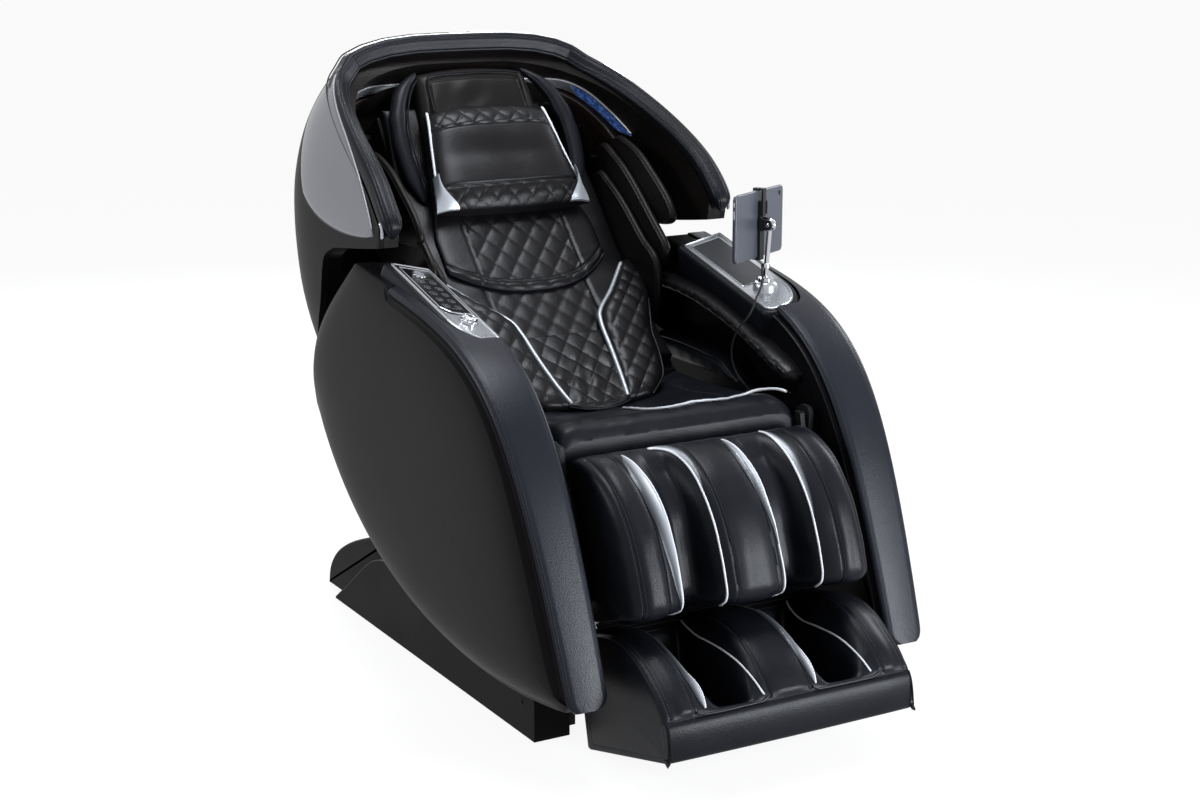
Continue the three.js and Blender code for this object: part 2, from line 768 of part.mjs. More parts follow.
function seatPlateOutline() {
  return [
    point(-365, 552), point(-358, 563), point(-338, 565), point(-322, 556),
    point(-300, 486), point(-200, 452), point(60, 448), point(110, 482),
    point(124, 492), point(152, 492), point(168, 474), point(164, 446),
    point(216, 300), point(214, 186), point(204, 170), point(176, 168), point(160, 184),
    point(150, 270), point(40, 360), point(-200, 392), point(-330, 420), point(-362, 470),
  ];
}

function seatFrame() {
  const bores = [[reclinePivot, pinRadius + runningGap], [calfPivot, legPinRadius + runningGap],
    [tiltPivot, pinRadius + runningGap]];
  const holes = [...bores, [point(100, 380), 18]];
  const parts = [];
  [-1, 1].forEach((side) => {
    parts.push(slab(seatPlateOutline(), side * plateInner, side * plateOuter, holes));
    [[-250, 430], [60, 400], [180, 250]].forEach(([y, z]) => parts.push(
      barX(point(y, z), 14, side * (plateOuter - 2), side * (podInner - gap), 10)));
  });
  [[-300, 445], [-60, 425], [72, 402]].forEach(([y, z]) => parts.push(
    barX(point(y, z), 15, -plateInner - 2, plateInner + 2, 10)));
  // seat pan under the cushion
  parts.push(block([-seatHalf + 6, seatFront + 20, panFloor], [seatHalf - 6, 60, seatBottom - gap]));
  // cradle of the recline actuator
  parts.push(block([-22, -95, 345], [-16, -30, 430]));
  parts.push(block([16, -95, 345], [22, -30, 430]));
  return join(...parts);
}

const pump = { low: [-150, -250, 358], high: [-50, -130, panFloor - gap] };
piece('seat_frame', seatFrame(), steel);

piece('air_pump', cut(
  join(block(pump.low, pump.high), barX(point(-190, 403), 22, pump.high[0] - 2, pump.high[0] + 9)),
  ...[0, 1, 2, 3].map((i) => block([-151, -236 + i * 28, 350], [-49, -228 + i * 28, 368])),
), plastic);

// ---------------------------------------------------------------- seat cushion
function seatCushion() {
  const length = seatRear - seatFront;
  return pad({
    columns: 14, rows: 14, crown: seatCrown, thickness: seatTop - seatBottom - seatCrown - 6, drawIn: 0.97,
    seam: (across, along) => {
      const roll = along < 0.16 ? 16 * (1 - along / 0.16) ** 2 : 0;
      const welt = 5 * Math.exp(-(((along - 0.22) / 0.035) ** 2));
      return roll + welt;
    },
    place: (across, along, height) => {
      const nose = 9 * Math.sqrt(Math.max(0, 1 - across ** 4));
      const y = along < 0.5 ? seatFront + 9 - nose * (1 - 2 * along) + along * length
        : seatFront + 9 + along * (length - 9);
      return new THREE.Vector3(across * seatHalf, y, seatBottom + height);
    },
  });
}
piece('seat_cushion', seatCushion(), leather);

// ---------------------------------------------------------------- back rest
// A point of the back: along the track from its foot, and out towards the sitter.
function onBack(x, along, height) {
  const angle = trackFoot - along / trackRadius;
  const radius = trackRadius - height;
  return new THREE.Vector3(
    x, trackCentre.x + radius * Math.cos(angle), trackCentre.y - radius * Math.sin(angle));
}

const trackPoint = (along, height) => {
  const p = onBack(0, along, height);
  return point(p.y, p.z);
};

// A strip of the track in the side view.
function trackStrip(from, to, low, high, steps) {
  const at = (height) => (i) => trackPoint(THREE.MathUtils.lerp(from, to, i / steps), height);
  const count = Array.from({ length: steps + 1 }, (_, i) => i);
  return [...count.map(at(low)), ...count.map(at(high)).reverse()];
}

const backPadTop = backPadFloor + backPadThickness + backPadCrown;

function backPad() {
  const columns = 16;
  const rows = 20;
  return pad({
    columns, rows, crown: backPadCrown, thickness: backPadThickness, drawIn: 0.98,
    seam: (across, along) => {
      const side = Math.abs(across) * backHalf;
      const column = Math.round((across + 1) * columns / 2);
      const row = Math.round(along * rows);
      const sewn = side < quiltHalf && (row + column) % 2 === 0 ? 4.5 : 0;
      const welt = 5 * Math.exp(-(((side - quiltHalf - 18) / 12) ** 2));
      return sewn + welt;
    },
    place: (across, along, height) => {
      const narrow = 1 - 0.1 * THREE.MathUtils.smoothstep(along, 0.62, 1);
      return onBack(across * backHalf * narrow, backPadStart + along * backPadLength, backPadFloor + height);
    },
  });
}
piece('back_pad', backPad(), quilt);

// The flap hangs over the middle of the back from under the pillow, with a U-shaped end.
const flap = { foot: 205, head: 470, half: 186, floor: backPadTop + 2 * gap, thickness: 7 };

function upperFlap() {
  return pad({
    columns: 12, rows: 9, crown: 5, thickness: flap.thickness, drawIn: 0.98,
    seam: (across) => 3 * Math.exp(-(((Math.abs(across) - 0.62) / 0.06) ** 2)),
    place: (across, along, height) => {
      const bow = 70 * (1 - Math.sqrt(Math.max(0, 1 - across ** 2 * 0.93)));
      const foot = flap.foot + bow;
      return onBack(across * flap.half, THREE.MathUtils.lerp(foot, flap.head, along), flap.floor + height);
    },
  });
}
piece('upper_flap', upperFlap(), quilt);

const headPad = {
  foot: 478, head: 668, half: 150, floor: backPadTop - headDip + gap, thickness: 16, crown: 10,
};
piece('head_pad', pad({
  columns: 10, rows: 8, crown: headPad.crown, thickness: headPad.thickness, drawIn: 0.95,
  place: (across, along, height) => {
    const half = headPad.half * (1 - 0.08 * along);
    return onBack(across * half, THREE.MathUtils.lerp(headPad.foot, headPad.head, along),
      headPad.floor + height);
  },
}), leather);

const pillow = {
  foot: 392, head: 612, topHalf: 140, footHalf: 182, thickness: 26,
  floor: headPad.floor + headPad.thickness + headPad.crown + gap,
};
piece('head_pillow', pad({
  columns: 10, rows: 13, crown: 22, thickness: pillow.thickness, drawIn: 0.9,
  seam: (across, along) => 4 * Math.exp(-(((along - 0.24) / 0.025) ** 2))
    + 4 * Math.exp(-(((along - 0.84) / 0.025) ** 2)),
  place: (across, along, height) => {
    const half = THREE.MathUtils.lerp(pillow.footHalf, pillow.topHalf, along);
    return onBack(across * half, THREE.MathUtils.lerp(pillow.foot, pillow.head, along),
      pillow.floor + height);
  },
}), leather);

// ---------------------------------------------------------------- hood
const hoodLevels = [551, 580, 656, 732, 846, 950, 1055, 1140, 1188, 1216, 1224];
const hoodHalf = profile(hoodLevels, [372, 377, 386, 391, 395, 393, 375, 332, 275, 195, 150]);
const hoodBack = profile(hoodLevels, [577, 607, 666, 702, 717, 703, 664, 628, 607, 593, 586]);

// The hood's closed form, level by level, smaller by a wall.
function hoodForm(wall) {
  const steps = 20;
  const lowest = hoodLevels[0] - 30;
  const top = hoodLevels.at(-1) - wall;
  const count = 9;
  const rings = Array.from({ length: count }, (_, level) => {
    const share = Math.sin((level / (count - 1)) * Math.PI / 2) ** 0.8;
    const z = THREE.MathUtils.lerp(lowest, top, share);
    const reading = Math.max(z + wall * THREE.MathUtils.smoothstep(z, 950, top), hoodLevels[0]);
    const half = hoodHalf(Math.min(reading, hoodLevels.at(-1))) - wall;
    const depth = hoodBack(Math.min(reading, hoodLevels.at(-1))) - wall - hoodMiddle;
    return Array.from({ length: steps }, (__, i) => {
      const angle = 2 * Math.PI * i / steps;
      const [c, s] = [Math.cos(angle), Math.sin(angle)];
      const power = 2 / hoodSquareness;
      return new THREE.Vector3(half * Math.sign(c) * Math.abs(c) ** power,
        hoodMiddle + depth * Math.sign(s) * Math.abs(s) ** power, z);
    });
  });
  return loft(rings);
}

// Side view of the hood: the rim's front line, the roof, the back and the lower edge.
const rimLine = [
  point(93, 872), point(97, 905), point(147, 962), point(209, 1008), point(308, 1063),
  point(416, 1117), point(500, 1158), point(541, 1192), point(552, 1228),
];
const hoodFoot = [
  point(640, 570), point(532, 576), point(514, 592), point(452, 684), point(420, 770),
  point(400, 802), point(350, 822), point(309, 828), point(200, 842), point(120, 852), point(98, 858),
];

function hoodSide(distance) {
  const rim = new THREE.SplineCurve(rimLine).getPoints(10);
  const back = rim.map((p, i) => {
    const before = rim[Math.max(i - 1, 0)];
    const after = rim[Math.min(i + 1, rim.length - 1)];
    const along = after.clone().sub(before).normalize();
    return point(p.x + along.y * distance, p.y - along.x * distance);
  }).filter((p) => p.y > 856);
  const foot = hoodFoot.filter((p) => p.x > back[0].x + 2);
  return [...back, point(700, 1260), point(760, 1100), point(760, 570), ...foot];
}

const hoodOuter = hoodForm(0);
const hoodWallForm = hoodForm(hoodWall);
const hoodPadForm = hoodForm(hoodWall + gap);
const hoodRoom = hoodForm(hoodWall + gap + hoodPadding);
const wide = 500;
const sideCut = (distance) => slab(hoodSide(distance), -wide, wide);

// The glossy inlay let into the shell's side, up to the rim.
function inlayOutline(grow) {
  const shape = [
    ...sweep(point(178, 884), point(196, 944), point(250, 1010), point(322, 1050), 5),
    ...sweep(point(322, 1050), point(404, 1096), point(470, 1128), point(508, 1150), 4),
    ...sweep(point(508, 1150), point(556, 1080), point(560, 990), point(510, 912), 5),
    ...sweep(point(510, 912), point(452, 868), point(300, 858), point(178, 884), 5),
  ];
  return inset(shape, -grow);
}

const inlayBlock = (side, grow, floor) => cut(
  slab(inlayOutline(grow), side * 250, side * wide), hoodForm(floor));

const shellBlank = cut(common(hoodOuter, sideCut(rimWidth + gap)), hoodWallForm);
const inlayRecesses = [-1, 1].map((side) => inlayBlock(side, gap, inlayDepth + gap));
piece('hood_shell', cut(shellBlank, ...inlayRecesses), satinPanel);
const inlayForm = common(hoodOuter, sideCut(rimWidth + 2 * gap));
bothSides('hood_inlay', common(inlayBlock(1, 0, inlayDepth), inlayForm), greyGloss);

const rimBody = common(cut(hoodOuter, hoodRoom), cut(sideCut(0), sideCut(rimWidth)));
piece('hood_rim', rimBody, leather);
const linerCut = common(cut(hoodPadForm, hoodRoom), sideCut(rimWidth + gap));
piece('hood_liner', linerCut, leather);

// ---------------------------------------------------------------- inside the hood
// Speaker pods stand on the liner beside the head, with a light strip above each.
const linerHalf = (z) => hoodHalf(z) - hoodWall - gap - hoodPadding;

function speakerPod() {
  const outline = [
    ...sweep(point(430, 985), point(425, 1010), point(450, 1040), point(500, 1062), 6),
    ...sweep(point(500, 1062), point(540, 1078), point(560, 1060), point(562, 1020), 6),
    ...sweep(point(562, 1020), point(566, 960), point(500, 925), point(462, 930), 6),
    ...sweep(point(462, 930), point(440, 935), point(435, 960), point(430, 985), 4),
  ];
  const moulded = cheek(outline, linerHalf(1000) + 12, linerHalf(1000) - 26, 8);
  return common(moulded, hoodForm(hoodWall + gap + hoodPadding + gap));
}
bothSides('speaker_pod', speakerPod(), blackGloss);

function lightStrip() {
  const line = [
    ...sweep(point(392, 996), point(430, 1050), point(480, 1080), point(528, 1096), 10),
    point(528, 1096), point(522, 1082), point(476, 1064), point(430, 1030), point(404, 990),
  ];
  const bar = slab(line, linerHalf(1050) + 30, linerHalf(1050) - 60);
  return cut(common(bar, hoodForm(hoodWall + gap + hoodPadding + gap)),
    hoodForm(hoodWall + gap + hoodPadding + gap + 4));
}
bothSides('light_strip', lightStrip(), blueGlass);

// Three leaves of air bags beside each shoulder, joined at their root.
function shoulderPad() {
  const leaves = [
    { inner: 262, outer: 284, front: [200, 905], top: [330, 985], foot: [250, 838] },
    { inner: 288, outer: 312, front: [158, 925], top: [310, 1000], foot: [215, 855] },
    { inner: 316, outer: 340, front: [140, 930], top: [300, 1010], foot: [205, 870] },
  ];
  const parts = leaves.map(({ inner, outer, front, top, foot }) => {
    const outline = [
      ...sweep(point(...top), point(top[0] - 60, top[1] - 4), point(front[0] + 4, front[1] + 30),
        point(...front), 3),
      ...sweep(point(...front), point(front[0] - 10, front[1] - 30), point(foot[0] - 30, foot[1]),
        point(...foot), 3),
      point(400, foot[1] + 30), point(440, 930), point(420, 985),
    ];
    return cheek(outline, inner, outer, 7);
  });
  const root = cheek([point(330, 880), point(330, 970), point(410, 975), point(430, 930),
    point(400, 885)], 268, 380, 3);
  return common(join(...parts, root), hoodForm(hoodWall + gap + hoodPadding + gap));
}
bothSides('shoulder_pad', shoulderPad(), leather);

// ---------------------------------------------------------------- back frame
const lugPin = point(reclinePivot.x + lugReach * Math.sin(lugLean),
  reclinePivot.y - lugReach * Math.cos(lugLean));

function backFrame() {
  const parts = [];
  const strip = trackStrip(backRail.from, backRail.to, backRail.low, backRail.high, 5);
  [-1, 1].forEach((side) => {
    parts.push(slab(strip, side * backRail.half, side * (backRail.half + backRail.width)));
    const arm = [
      trackPoint(-6, -64), trackPoint(70, -64), trackPoint(84, -96), point(reclinePivot.x + 16, reclinePivot.y),
      point(reclinePivot.x + 4, reclinePivot.y - 16), point(reclinePivot.x - 12, reclinePivot.y - 10),
    ];
    parts.push(slab(arm, side * (backRail.half + 4), side * (backRail.half + 16)));
  });
  // ties at both ends, past the massage unit's travel
  [20, 650].forEach((along) => parts.push(
    barX(trackPoint(along, -100), 15, -sheetOuter, sheetOuter, 10)));
  // on each side a sheet under the pad's edge, and arms out to the hood
  [-1, 1].forEach((side) => {
    parts.push(slab(trackStrip(14, 660, -96, backPadFloor - gap - chordRise, 5),
      side * (sheetOuter - sheetThickness), side * sheetOuter));
    [430, 640].forEach((along) => parts.push(
      barX(trackPoint(along, -84), 10, side * (backRail.half + 10), side * wide, 8)));
  });
  parts.push(barX(reclinePivot, pinRadius + 5, -250, 250, 14));
  parts.push(barX(reclinePivot, pinRadius, -279, 279, 14));
  // lug of the recline actuator
  const lug = [
    point(reclinePivot.x - 12, reclinePivot.y - 8), point(reclinePivot.x + 14, reclinePivot.y - 8),
    point(lugPin.x + 12, lugPin.y + 4), point(lugPin.x + 9, lugPin.y - 10),
    point(lugPin.x - 9, lugPin.y - 10), point(lugPin.x - 12, lugPin.y + 4),
  ];
  parts.push(slab(lug, -5, 5));
  parts.push(barX(lugPin, lugPinRadius, -20, 20, 12));
  const body = join(...parts);
  const above = block([-wide, -300, reclinePivot.y + 60], [wide, 900, 1300]);
  return join(common(common(body, above), hoodForm(hoodWall + 2 * gap + hoodPadding)), cut(body, above));
}
piece('back_frame', backFrame(), steel);

// ---------------------------------------------------------------- recline actuator
const actuatorAxis = lugPin.y - 4;
function barY(y0, y1, radius, z, sides = 20) {
  return new THREE.CylinderGeometry(radius, radius, Math.abs(y1 - y0), sides)
    .translate(0, (y0 + y1) / 2, z);
}

const actuatorBody = join(
  barY(-268, 20, actuatorRadius, actuatorAxis),
  block([-26, -262, actuatorAxis - 62], [26, -206, actuatorAxis + 10]),
  block([-15.6, -92, actuatorAxis], [15.6, -34, actuatorAxis + 40]),
);
piece('recline_actuator', cut(actuatorBody, barY(-200, 30, rodRadius + runningGap, actuatorAxis)), steel);

function reclineRod() {
  const eye = [point(lugPin.x - 22, actuatorAxis - 15), point(lugPin.x + 14, actuatorAxis - 15),
    point(lugPin.x + 18, actuatorAxis), point(lugPin.x + 14, actuatorAxis + 19), point(lugPin.x - 22, actuatorAxis + 15)];
  const forks = [-1, 1].map((side) => slab(eye, side * 8, side * 14));
  const bore = barX(point(lugPin.x, actuatorAxis), lugPinRadius + eyePlay, -30, 30, 16);
  const bridge = block([-14, lugPin.x - 40, actuatorAxis - 12], [14, lugPin.x - 20, actuatorAxis + 12]);
  const rod = barY(-105, lugPin.x - 22, rodRadius, actuatorAxis);
  return cut(join(...forks, bridge, rod), bore);
}
piece('recline_rod', reclineRod(), chrome);

// ---------------------------------------------------------------- massage unit
function massageCarriage() {
  const parts = [];
  const strip = trackStrip(unitFoot - 62, unitFoot + 62, -100, -92, 4);
  parts.push(slab(strip, -unitHalf, unitHalf));
  [-1, 1].forEach((side) => {
    const cheekStrip = trackStrip(unitFoot - 62, unitFoot + 62, -99, -46, 4);
    parts.push(slab(cheekStrip, side * unitHalf, side * (unitHalf - 8)));
    [-48, 48].forEach((offset) => parts.push(
      barX(trackPoint(unitFoot + offset, -80), 11, side * (unitHalf - 2), side * (backRail.half - guideGap), 10)));
  });
  const motor = trackPoint(unitFoot + 20, -128);
  parts.push(barX(motor, 27, -70, 50, 16));
  parts.push(slab(trackStrip(unitFoot - 30, unitFoot + 50, -132, -98, 3), -30, 20));
  const bores = barX(trackPoint(unitFoot, -66), shaftRadius + runningGap, -unitHalf - 20, unitHalf + 20, 12);
  return cut(join(...parts), bores);
}
piece('massage_carriage', massageCarriage(), steel);

// The kneading shaft carries two Y-shaped arms, each with two rollers.
function kneadShaft() {
  const centre = trackPoint(unitFoot, -66);
  const parts = [barX(centre, shaftRadius, -unitHalf - 6, unitHalf + 6, 12)];
  [-1, 1].forEach((side) => {
    const upper = trackPoint(unitFoot + rollerSpread, rollerHeight);
    const lower = trackPoint(unitFoot - rollerSpread, rollerHeight);
    const arm = [
      [rollerSpread - 4, 10], [rollerSpread + 10, 0], [rollerSpread, -12], [0, -26],
      [-rollerSpread, -12], [-rollerSpread - 10, 0], [-rollerSpread + 4, 10], [0, -2],
    ].map(([along, up]) => trackPoint(unitFoot + along, rollerHeight + up));
    const inner = side * (rollerCentre - rollerWidth / 2 - 10);
    parts.push(slab(arm, inner, inner + side * 7));
    [upper, lower].forEach((p) => parts.push(
      barX(p, rollerSeat, inner, side * (rollerCentre + rollerWidth / 2 + 2), 10)));
  });
  return join(...parts);
}
piece('knead_shaft', kneadShaft(), steel);

function roller(side, offset) {
  const centre = trackPoint(unitFoot + offset, rollerHeight);
  const half = rollerWidth / 2;
  const bore = rollerSeat + runningGap;
  const tyre = [
    [bore, -half], [rollerRadius - 6, -half], [rollerRadius, -half + 7],
    [rollerRadius, half - 7], [rollerRadius - 6, half], [bore, half], [bore, -half],
  ].map(([r, z]) => new THREE.Vector2(r, z));
  return facingOut(mergeBare(new THREE.LatheGeometry(tyre, 12)
    .rotateZ(Math.PI / 2).translate(side * rollerCentre, centre.x, centre.y)));
}

function mergeBare(geometry) {
  geometry.deleteAttribute('normal');
  geometry.deleteAttribute('uv');
  return mergeVertices(geometry, 1e-3);
}

[['right', -1], ['left', 1]].forEach(([name, side]) => {
  piece(`roller_upper_${name}`, roller(side, rollerSpread), rubber);
  piece(`roller_lower_${name}`, roller(side, -rollerSpread), rubber);
});

// ---------------------------------------------------------------- leg rest
// Three padded walls on a back panel, with a channel for each calf.
const calfFace = [
  ...sweep(point(-378, 536), point(-500, 548), point(-600, 470), point(-606, 322), 9),
  point(-606, 322), point(-596, 305),
];
const calfBackTop = point(-372, 470);
const calfBackFoot = point(-440, 256);
const calfOutline = [...calfFace, point(-462, 250), calfBackFoot, calfBackTop, point(-366, 522)];
const calfFloor = [
  point(-430, 508), point(-474, 470), point(-518, 380), point(-532, 292),
];

function calfPads() {
  const walls = [
    cheek(calfOutline, -calfHalf, -calfHalf + calfWall, 12, rolled),
    cheek(calfOutline, -calfCentreHalf, calfCentreHalf, 14, rolled),
    cheek(calfOutline, calfHalf - calfWall, calfHalf, 12, rolled),
  ];
  const back = [
    point(-372, 533), ...calfFloor, point(-462, 252), point(-442, 258), point(-374, 470), point(-368, 522),
  ];
  return join(...walls, slab(inset(back, 2), -calfHalf + 8, calfHalf - 8));
}
piece('calf_pads', calfPads(), leather);

// A point of the foot rest: along its sole from the front, and up from it.
function onFoot(along, up) {
  return point(footFront.x + along * Math.cos(footLean) + up * Math.sin(footLean),
    footFront.y - along * Math.sin(footLean) + up * Math.cos(footLean));
}

// A round bar along the foot rest's slide.
function guideBar(x, radius, from, to) {
  const middle = onFoot(legGuide.line, (from + to) / 2);
  return new THREE.CylinderGeometry(radius, radius, Math.abs(to - from), 12)
    .rotateX(Math.PI / 2 - footLean)
    .translate(x, middle.x, middle.y);
}

function calfFrame() {
  const parts = [];
  const arm = [
    point(calfPivot.x - 10, calfPivot.y + 7), point(calfPivot.x + 8, calfPivot.y + 9),
    point(calfPivot.x + 11, calfPivot.y - 4), point(-352, 470), point(-358, 440),
    point(-384, 430), point(-386, 460), point(-366, 490),
  ];
  [-1, 1].forEach((side) => {
    parts.push(slab(arm, side * armLane.from, side * armLane.to));
    parts.push(barX(calfPivot, legPinRadius, side * (armLane.to - 4), side * (plateOuter + 3), 14));
  });
  // the plate behind the pads, and the brackets from it to the guide tubes
  const down = calfBackFoot.clone().sub(calfBackTop).normalize();
  const onBackPlate = (along, behind) => calfBackTop.clone().addScaledVector(down, along)
    .add(point(-down.y * behind, down.x * behind));
  parts.push(slab([onBackPlate(2, gap), onBackPlate(196, gap), onBackPlate(196, gap + 6),
    onBackPlate(2, gap + 6)], -armLane.to, armLane.to));
  [[10, 60], [150, 185]].forEach(([from, to]) => [-1, 1].forEach((side) => parts.push(slab(
    [onBackPlate(from, gap + 2), onBackPlate(to, gap + 2), onBackPlate(to, 34), onBackPlate(from, 24)],
    side * (legGuide.half - 8), side * (legGuide.half + 8)))));
  // guide tubes down to the foot rest
  const bores = [];
  [-1, 1].forEach((side) => {
    const x = side * legGuide.half;
    parts.push(guideBar(x, legGuide.radius + legGuide.wall, legGuide.foot, legGuide.top));
    bores.push(guideBar(x, legGuide.radius + runningGap, legGuide.foot - 9, legGuide.top + 9));
  });
  return cut(join(...parts), ...bores);
}
piece('calf_frame', calfFrame(), steel);

// ---------------------------------------------------------------- foot rest

function footHousing() {
  const tray = [
    [-6, 5], [-15, 40], [-16, panelTop - 4], [-12, panelTop], [2, panelTop], [2, soleThickness],
    [padsRear + 2, soleThickness], [padsRear + 2, 150], [padsRear + 22, 150], [padsRear + 25, 6],
    [padsRear + 18, 0], [2, 0],
  ].map(([along, up]) => onFoot(along, up));
  const rods = [-1, 1].map((side) => guideBar(side * legGuide.half, legGuide.radius, 60, legGuide.top - 12));
  return join(slab(tray, -footHalf, footHalf), ...rods);
}
piece('foot_housing', footHousing(), leather);

const footWallOutline = [
  ...[[-15, panelTop + gap], [-10, 88], [4, 116], [28, 146], [60, 176], [96, 198], [140, 210], [190, 214],
    [228, 212], [244, 200], [padsRear, 180], [padsRear, soleThickness + gap], [2 + gap, soleThickness + gap],
    [2 + gap, panelTop + gap]].map(([along, up]) => onFoot(along, up)),
];

function footPads() {
  const walls = [
    cheek(footWallOutline, -footHalf, -footHalf + footWall, 8, rolled),
    cheek(footWallOutline, -footCentreHalf, footCentreHalf, 8, rolled),
    cheek(footWallOutline, footHalf - footWall, footHalf, 8, rolled),
  ];
  const sole = [
    [4, 16], [4, 46], [70, 30], [170, 34], [212, 60], [228, 130], [236, 190], [248, 184], [248, 16],
  ].map(([along, up]) => onFoot(along, up));
  return join(...walls, slab(sole, -footHalf + 10, footHalf - 10));
}
piece('foot_pads', footPads(), leather);

// ---------------------------------------------------------------- tablet on its stem

function tabletStem() {
  const start = new THREE.Vector3(stemFoot.x, stemFoot.y, bossTop + gap + collarHeight - 2);
  const shaft = new THREE.CylinderGeometry(stemRadius, stemRadius, start.distanceTo(hub), 12);
  const turn = new THREE.Quaternion().setFromUnitVectors(
    new THREE.Vector3(0, 1, 0), hub.clone().sub(start).normalize());
  shaft.applyQuaternion(turn).translate(...start.clone().lerp(hub, 0.5).toArray());
  const head = barX(point(0, 0), ballRadius, -barrelHalf, barrelHalf, 14);
  const pin = barX(point(0, 0), hingeRadius, -barrelHalf - earThickness - 2, barrelHalf + earThickness + 2, 10);
  const turned = (geometry) => geometry.rotateZ(tabletTurn).translate(hub.x, hub.y, hub.z);
  return join(
    barZ(stemFoot.x, stemFoot.y, footRadius, bossTop - 12, bossTop + gap + 4, 14),
    barZ(stemFoot.x, stemFoot.y, collarRadius, bossTop + gap, bossTop + gap + collarHeight),
    shaft, turned(head), turned(pin),
    barZ(stemFoot.x, stemFoot.y, clipRadius, clipFloor, clipFloor + clipHeight, 12));
}
piece('tablet_stem', tabletStem(), chrome);

const tabletMount = new THREE.Group();
tabletMount.position.copy(hub);
tabletMount.rotation.z = tabletTurn;
chair.add(tabletMount);

const tabletNear = barNear + barDepth + gap;

function tabletClamp() {
  const low = -tabletHeight / 2 - gap;
  const parts = [
    block([-barHalf, barNear, low - hook], [barHalf, barNear + barDepth, 46]),
    block([-barHalf, barNear, low - hook], [barHalf, tabletNear + tabletThickness + 5, low]),
    block([-barHalf, tabletNear + tabletThickness + 1, low - hook],
      [barHalf, tabletNear + tabletThickness + 5, low + 6]),
  ];
  [-1, 1].forEach((side) => {
    const inner = side * (barrelHalf + gap);
    const outer = side * (barrelHalf + gap + earThickness);
    const ear = [point(barNear + 1, -13), point(barNear + 1, 13), point(6, 11), point(-6, 9),
      point(-10, 0), point(-6, -9), point(6, -11)];
    parts.push(slab(ear, inner, outer, [[point(0, 0), hingeRadius + runningGap]]));
    parts.push(absBlock([side * (barHalf - 2), barNear + 1, 20], [side * (barHalf + 1), barNear - 6, 46]));
  });
  return join(...parts);
}
piece('tablet_clamp', tabletClamp(), plastic, tabletMount);

function clampJaw() {
  const top = tabletHeight / 2 + gap;
  const half = barHalf - 2 - gap;
  const back = barNear - gap;
  return join(
    block([-half, back - 4, 16], [half, back, top + hook]),
    block([-half, back - 4, top], [half, tabletNear + tabletThickness + 5, top + hook]),
    block([-half, tabletNear + tabletThickness + 1, top - 6], [half, tabletNear + tabletThickness + 5, top + hook]),
  );
}
piece('clamp_jaw', clampJaw(), plastic, tabletMount);

function tabletBody() {
  const corner = 9;
  const [w, h] = [tabletWidth / 2, tabletHeight / 2];
  const shape = new THREE.Shape();
  shape.absarc(w - corner, h - corner, corner, 0, Math.PI / 2);
  shape.absarc(-w + corner, h - corner, corner, Math.PI / 2, Math.PI);
  shape.absarc(-w + corner, -h + corner, corner, Math.PI, 1.5 * Math.PI);
  shape.absarc(w - corner, -h + corner, corner, 1.5 * Math.PI, 2 * Math.PI);
  shape.closePath();
  const outline = outlineOf(shape, 4);
  const rings = [[1.5, 0], [0, 2], [0, tabletThickness - 1], [1, tabletThickness]];
  return loft(rings.map(([edge, depth]) => inset(outline, edge).map(
    (p) => new THREE.Vector3(p.x, tabletNear + depth, p.y))));
}
piece('tablet', tabletBody(), tabletShell, tabletMount);

// The cable leaves the ring on the stem and goes down beside the seat.
const cableRoute = [
  [321.3, -122.5, 796], [318, -127, 784], [313, -134, 766], [301, -145, 752], [284, -158, 740],
  [268, -171, 724], [255, -172, 706], [247, -156, 684], [244, -142, 660], [243, -136, 636],
  [243, -139, 614], [245, -149, 594], [250, -164, 577], [258, -176, 562], [267, -182, 548],
  [276, -185, 532], [286, -186, 519], [298.3, -186, 514],
];
const cable = tubeAlong(cableRoute.map((p) => new THREE.Vector3(...p)), cableDiameter / 2, 28);
piece('tablet_cable', cable, rubber);

// ---------------------------------------------------------------- export
export default chair;
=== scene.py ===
"""Looks of a reclining massage chair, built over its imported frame.

Lengths inside the classes are millimetres in the chair's own frame: +Z up, the
sitter faces -Y and the chair's own right-hand side is -X.
"""

import logging
import math
from dataclasses import dataclass
from enum import Enum
from typing import Callable, Iterable, Sequence

import bmesh
import bpy
import numpy as np
from mathutils import Matrix


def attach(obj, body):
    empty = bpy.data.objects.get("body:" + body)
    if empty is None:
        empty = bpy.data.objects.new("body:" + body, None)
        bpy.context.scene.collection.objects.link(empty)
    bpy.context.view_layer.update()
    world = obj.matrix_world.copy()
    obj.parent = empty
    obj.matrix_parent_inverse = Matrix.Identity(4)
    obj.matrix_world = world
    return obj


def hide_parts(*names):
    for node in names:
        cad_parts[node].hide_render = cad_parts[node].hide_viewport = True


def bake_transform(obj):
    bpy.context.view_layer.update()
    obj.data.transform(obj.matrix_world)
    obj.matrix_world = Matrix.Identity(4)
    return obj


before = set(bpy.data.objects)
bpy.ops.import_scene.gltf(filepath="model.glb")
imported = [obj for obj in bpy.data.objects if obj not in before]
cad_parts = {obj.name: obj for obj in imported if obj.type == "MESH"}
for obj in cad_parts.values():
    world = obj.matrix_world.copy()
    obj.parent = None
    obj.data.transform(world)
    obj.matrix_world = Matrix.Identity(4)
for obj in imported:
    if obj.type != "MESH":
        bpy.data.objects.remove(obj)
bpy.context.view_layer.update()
LOG = logging.getLogger("chair")
MM = 0.001
SIDES = (("left", 1.0), ("right", -1.0))
Grid = np.ndarray
Faces = list[tuple[int, ...]]


# ---------------------------------------------------------------- curves and numbers
def smooth(value: np.ndarray | float, low: float, high: float) -> np.ndarray | float:
    """Smoothstep of a value between two limits."""
    t = np.clip((np.asarray(value, float) - low) / (high - low), 0.0, 1.0)
    return t * t * (3.0 - 2.0 * t)


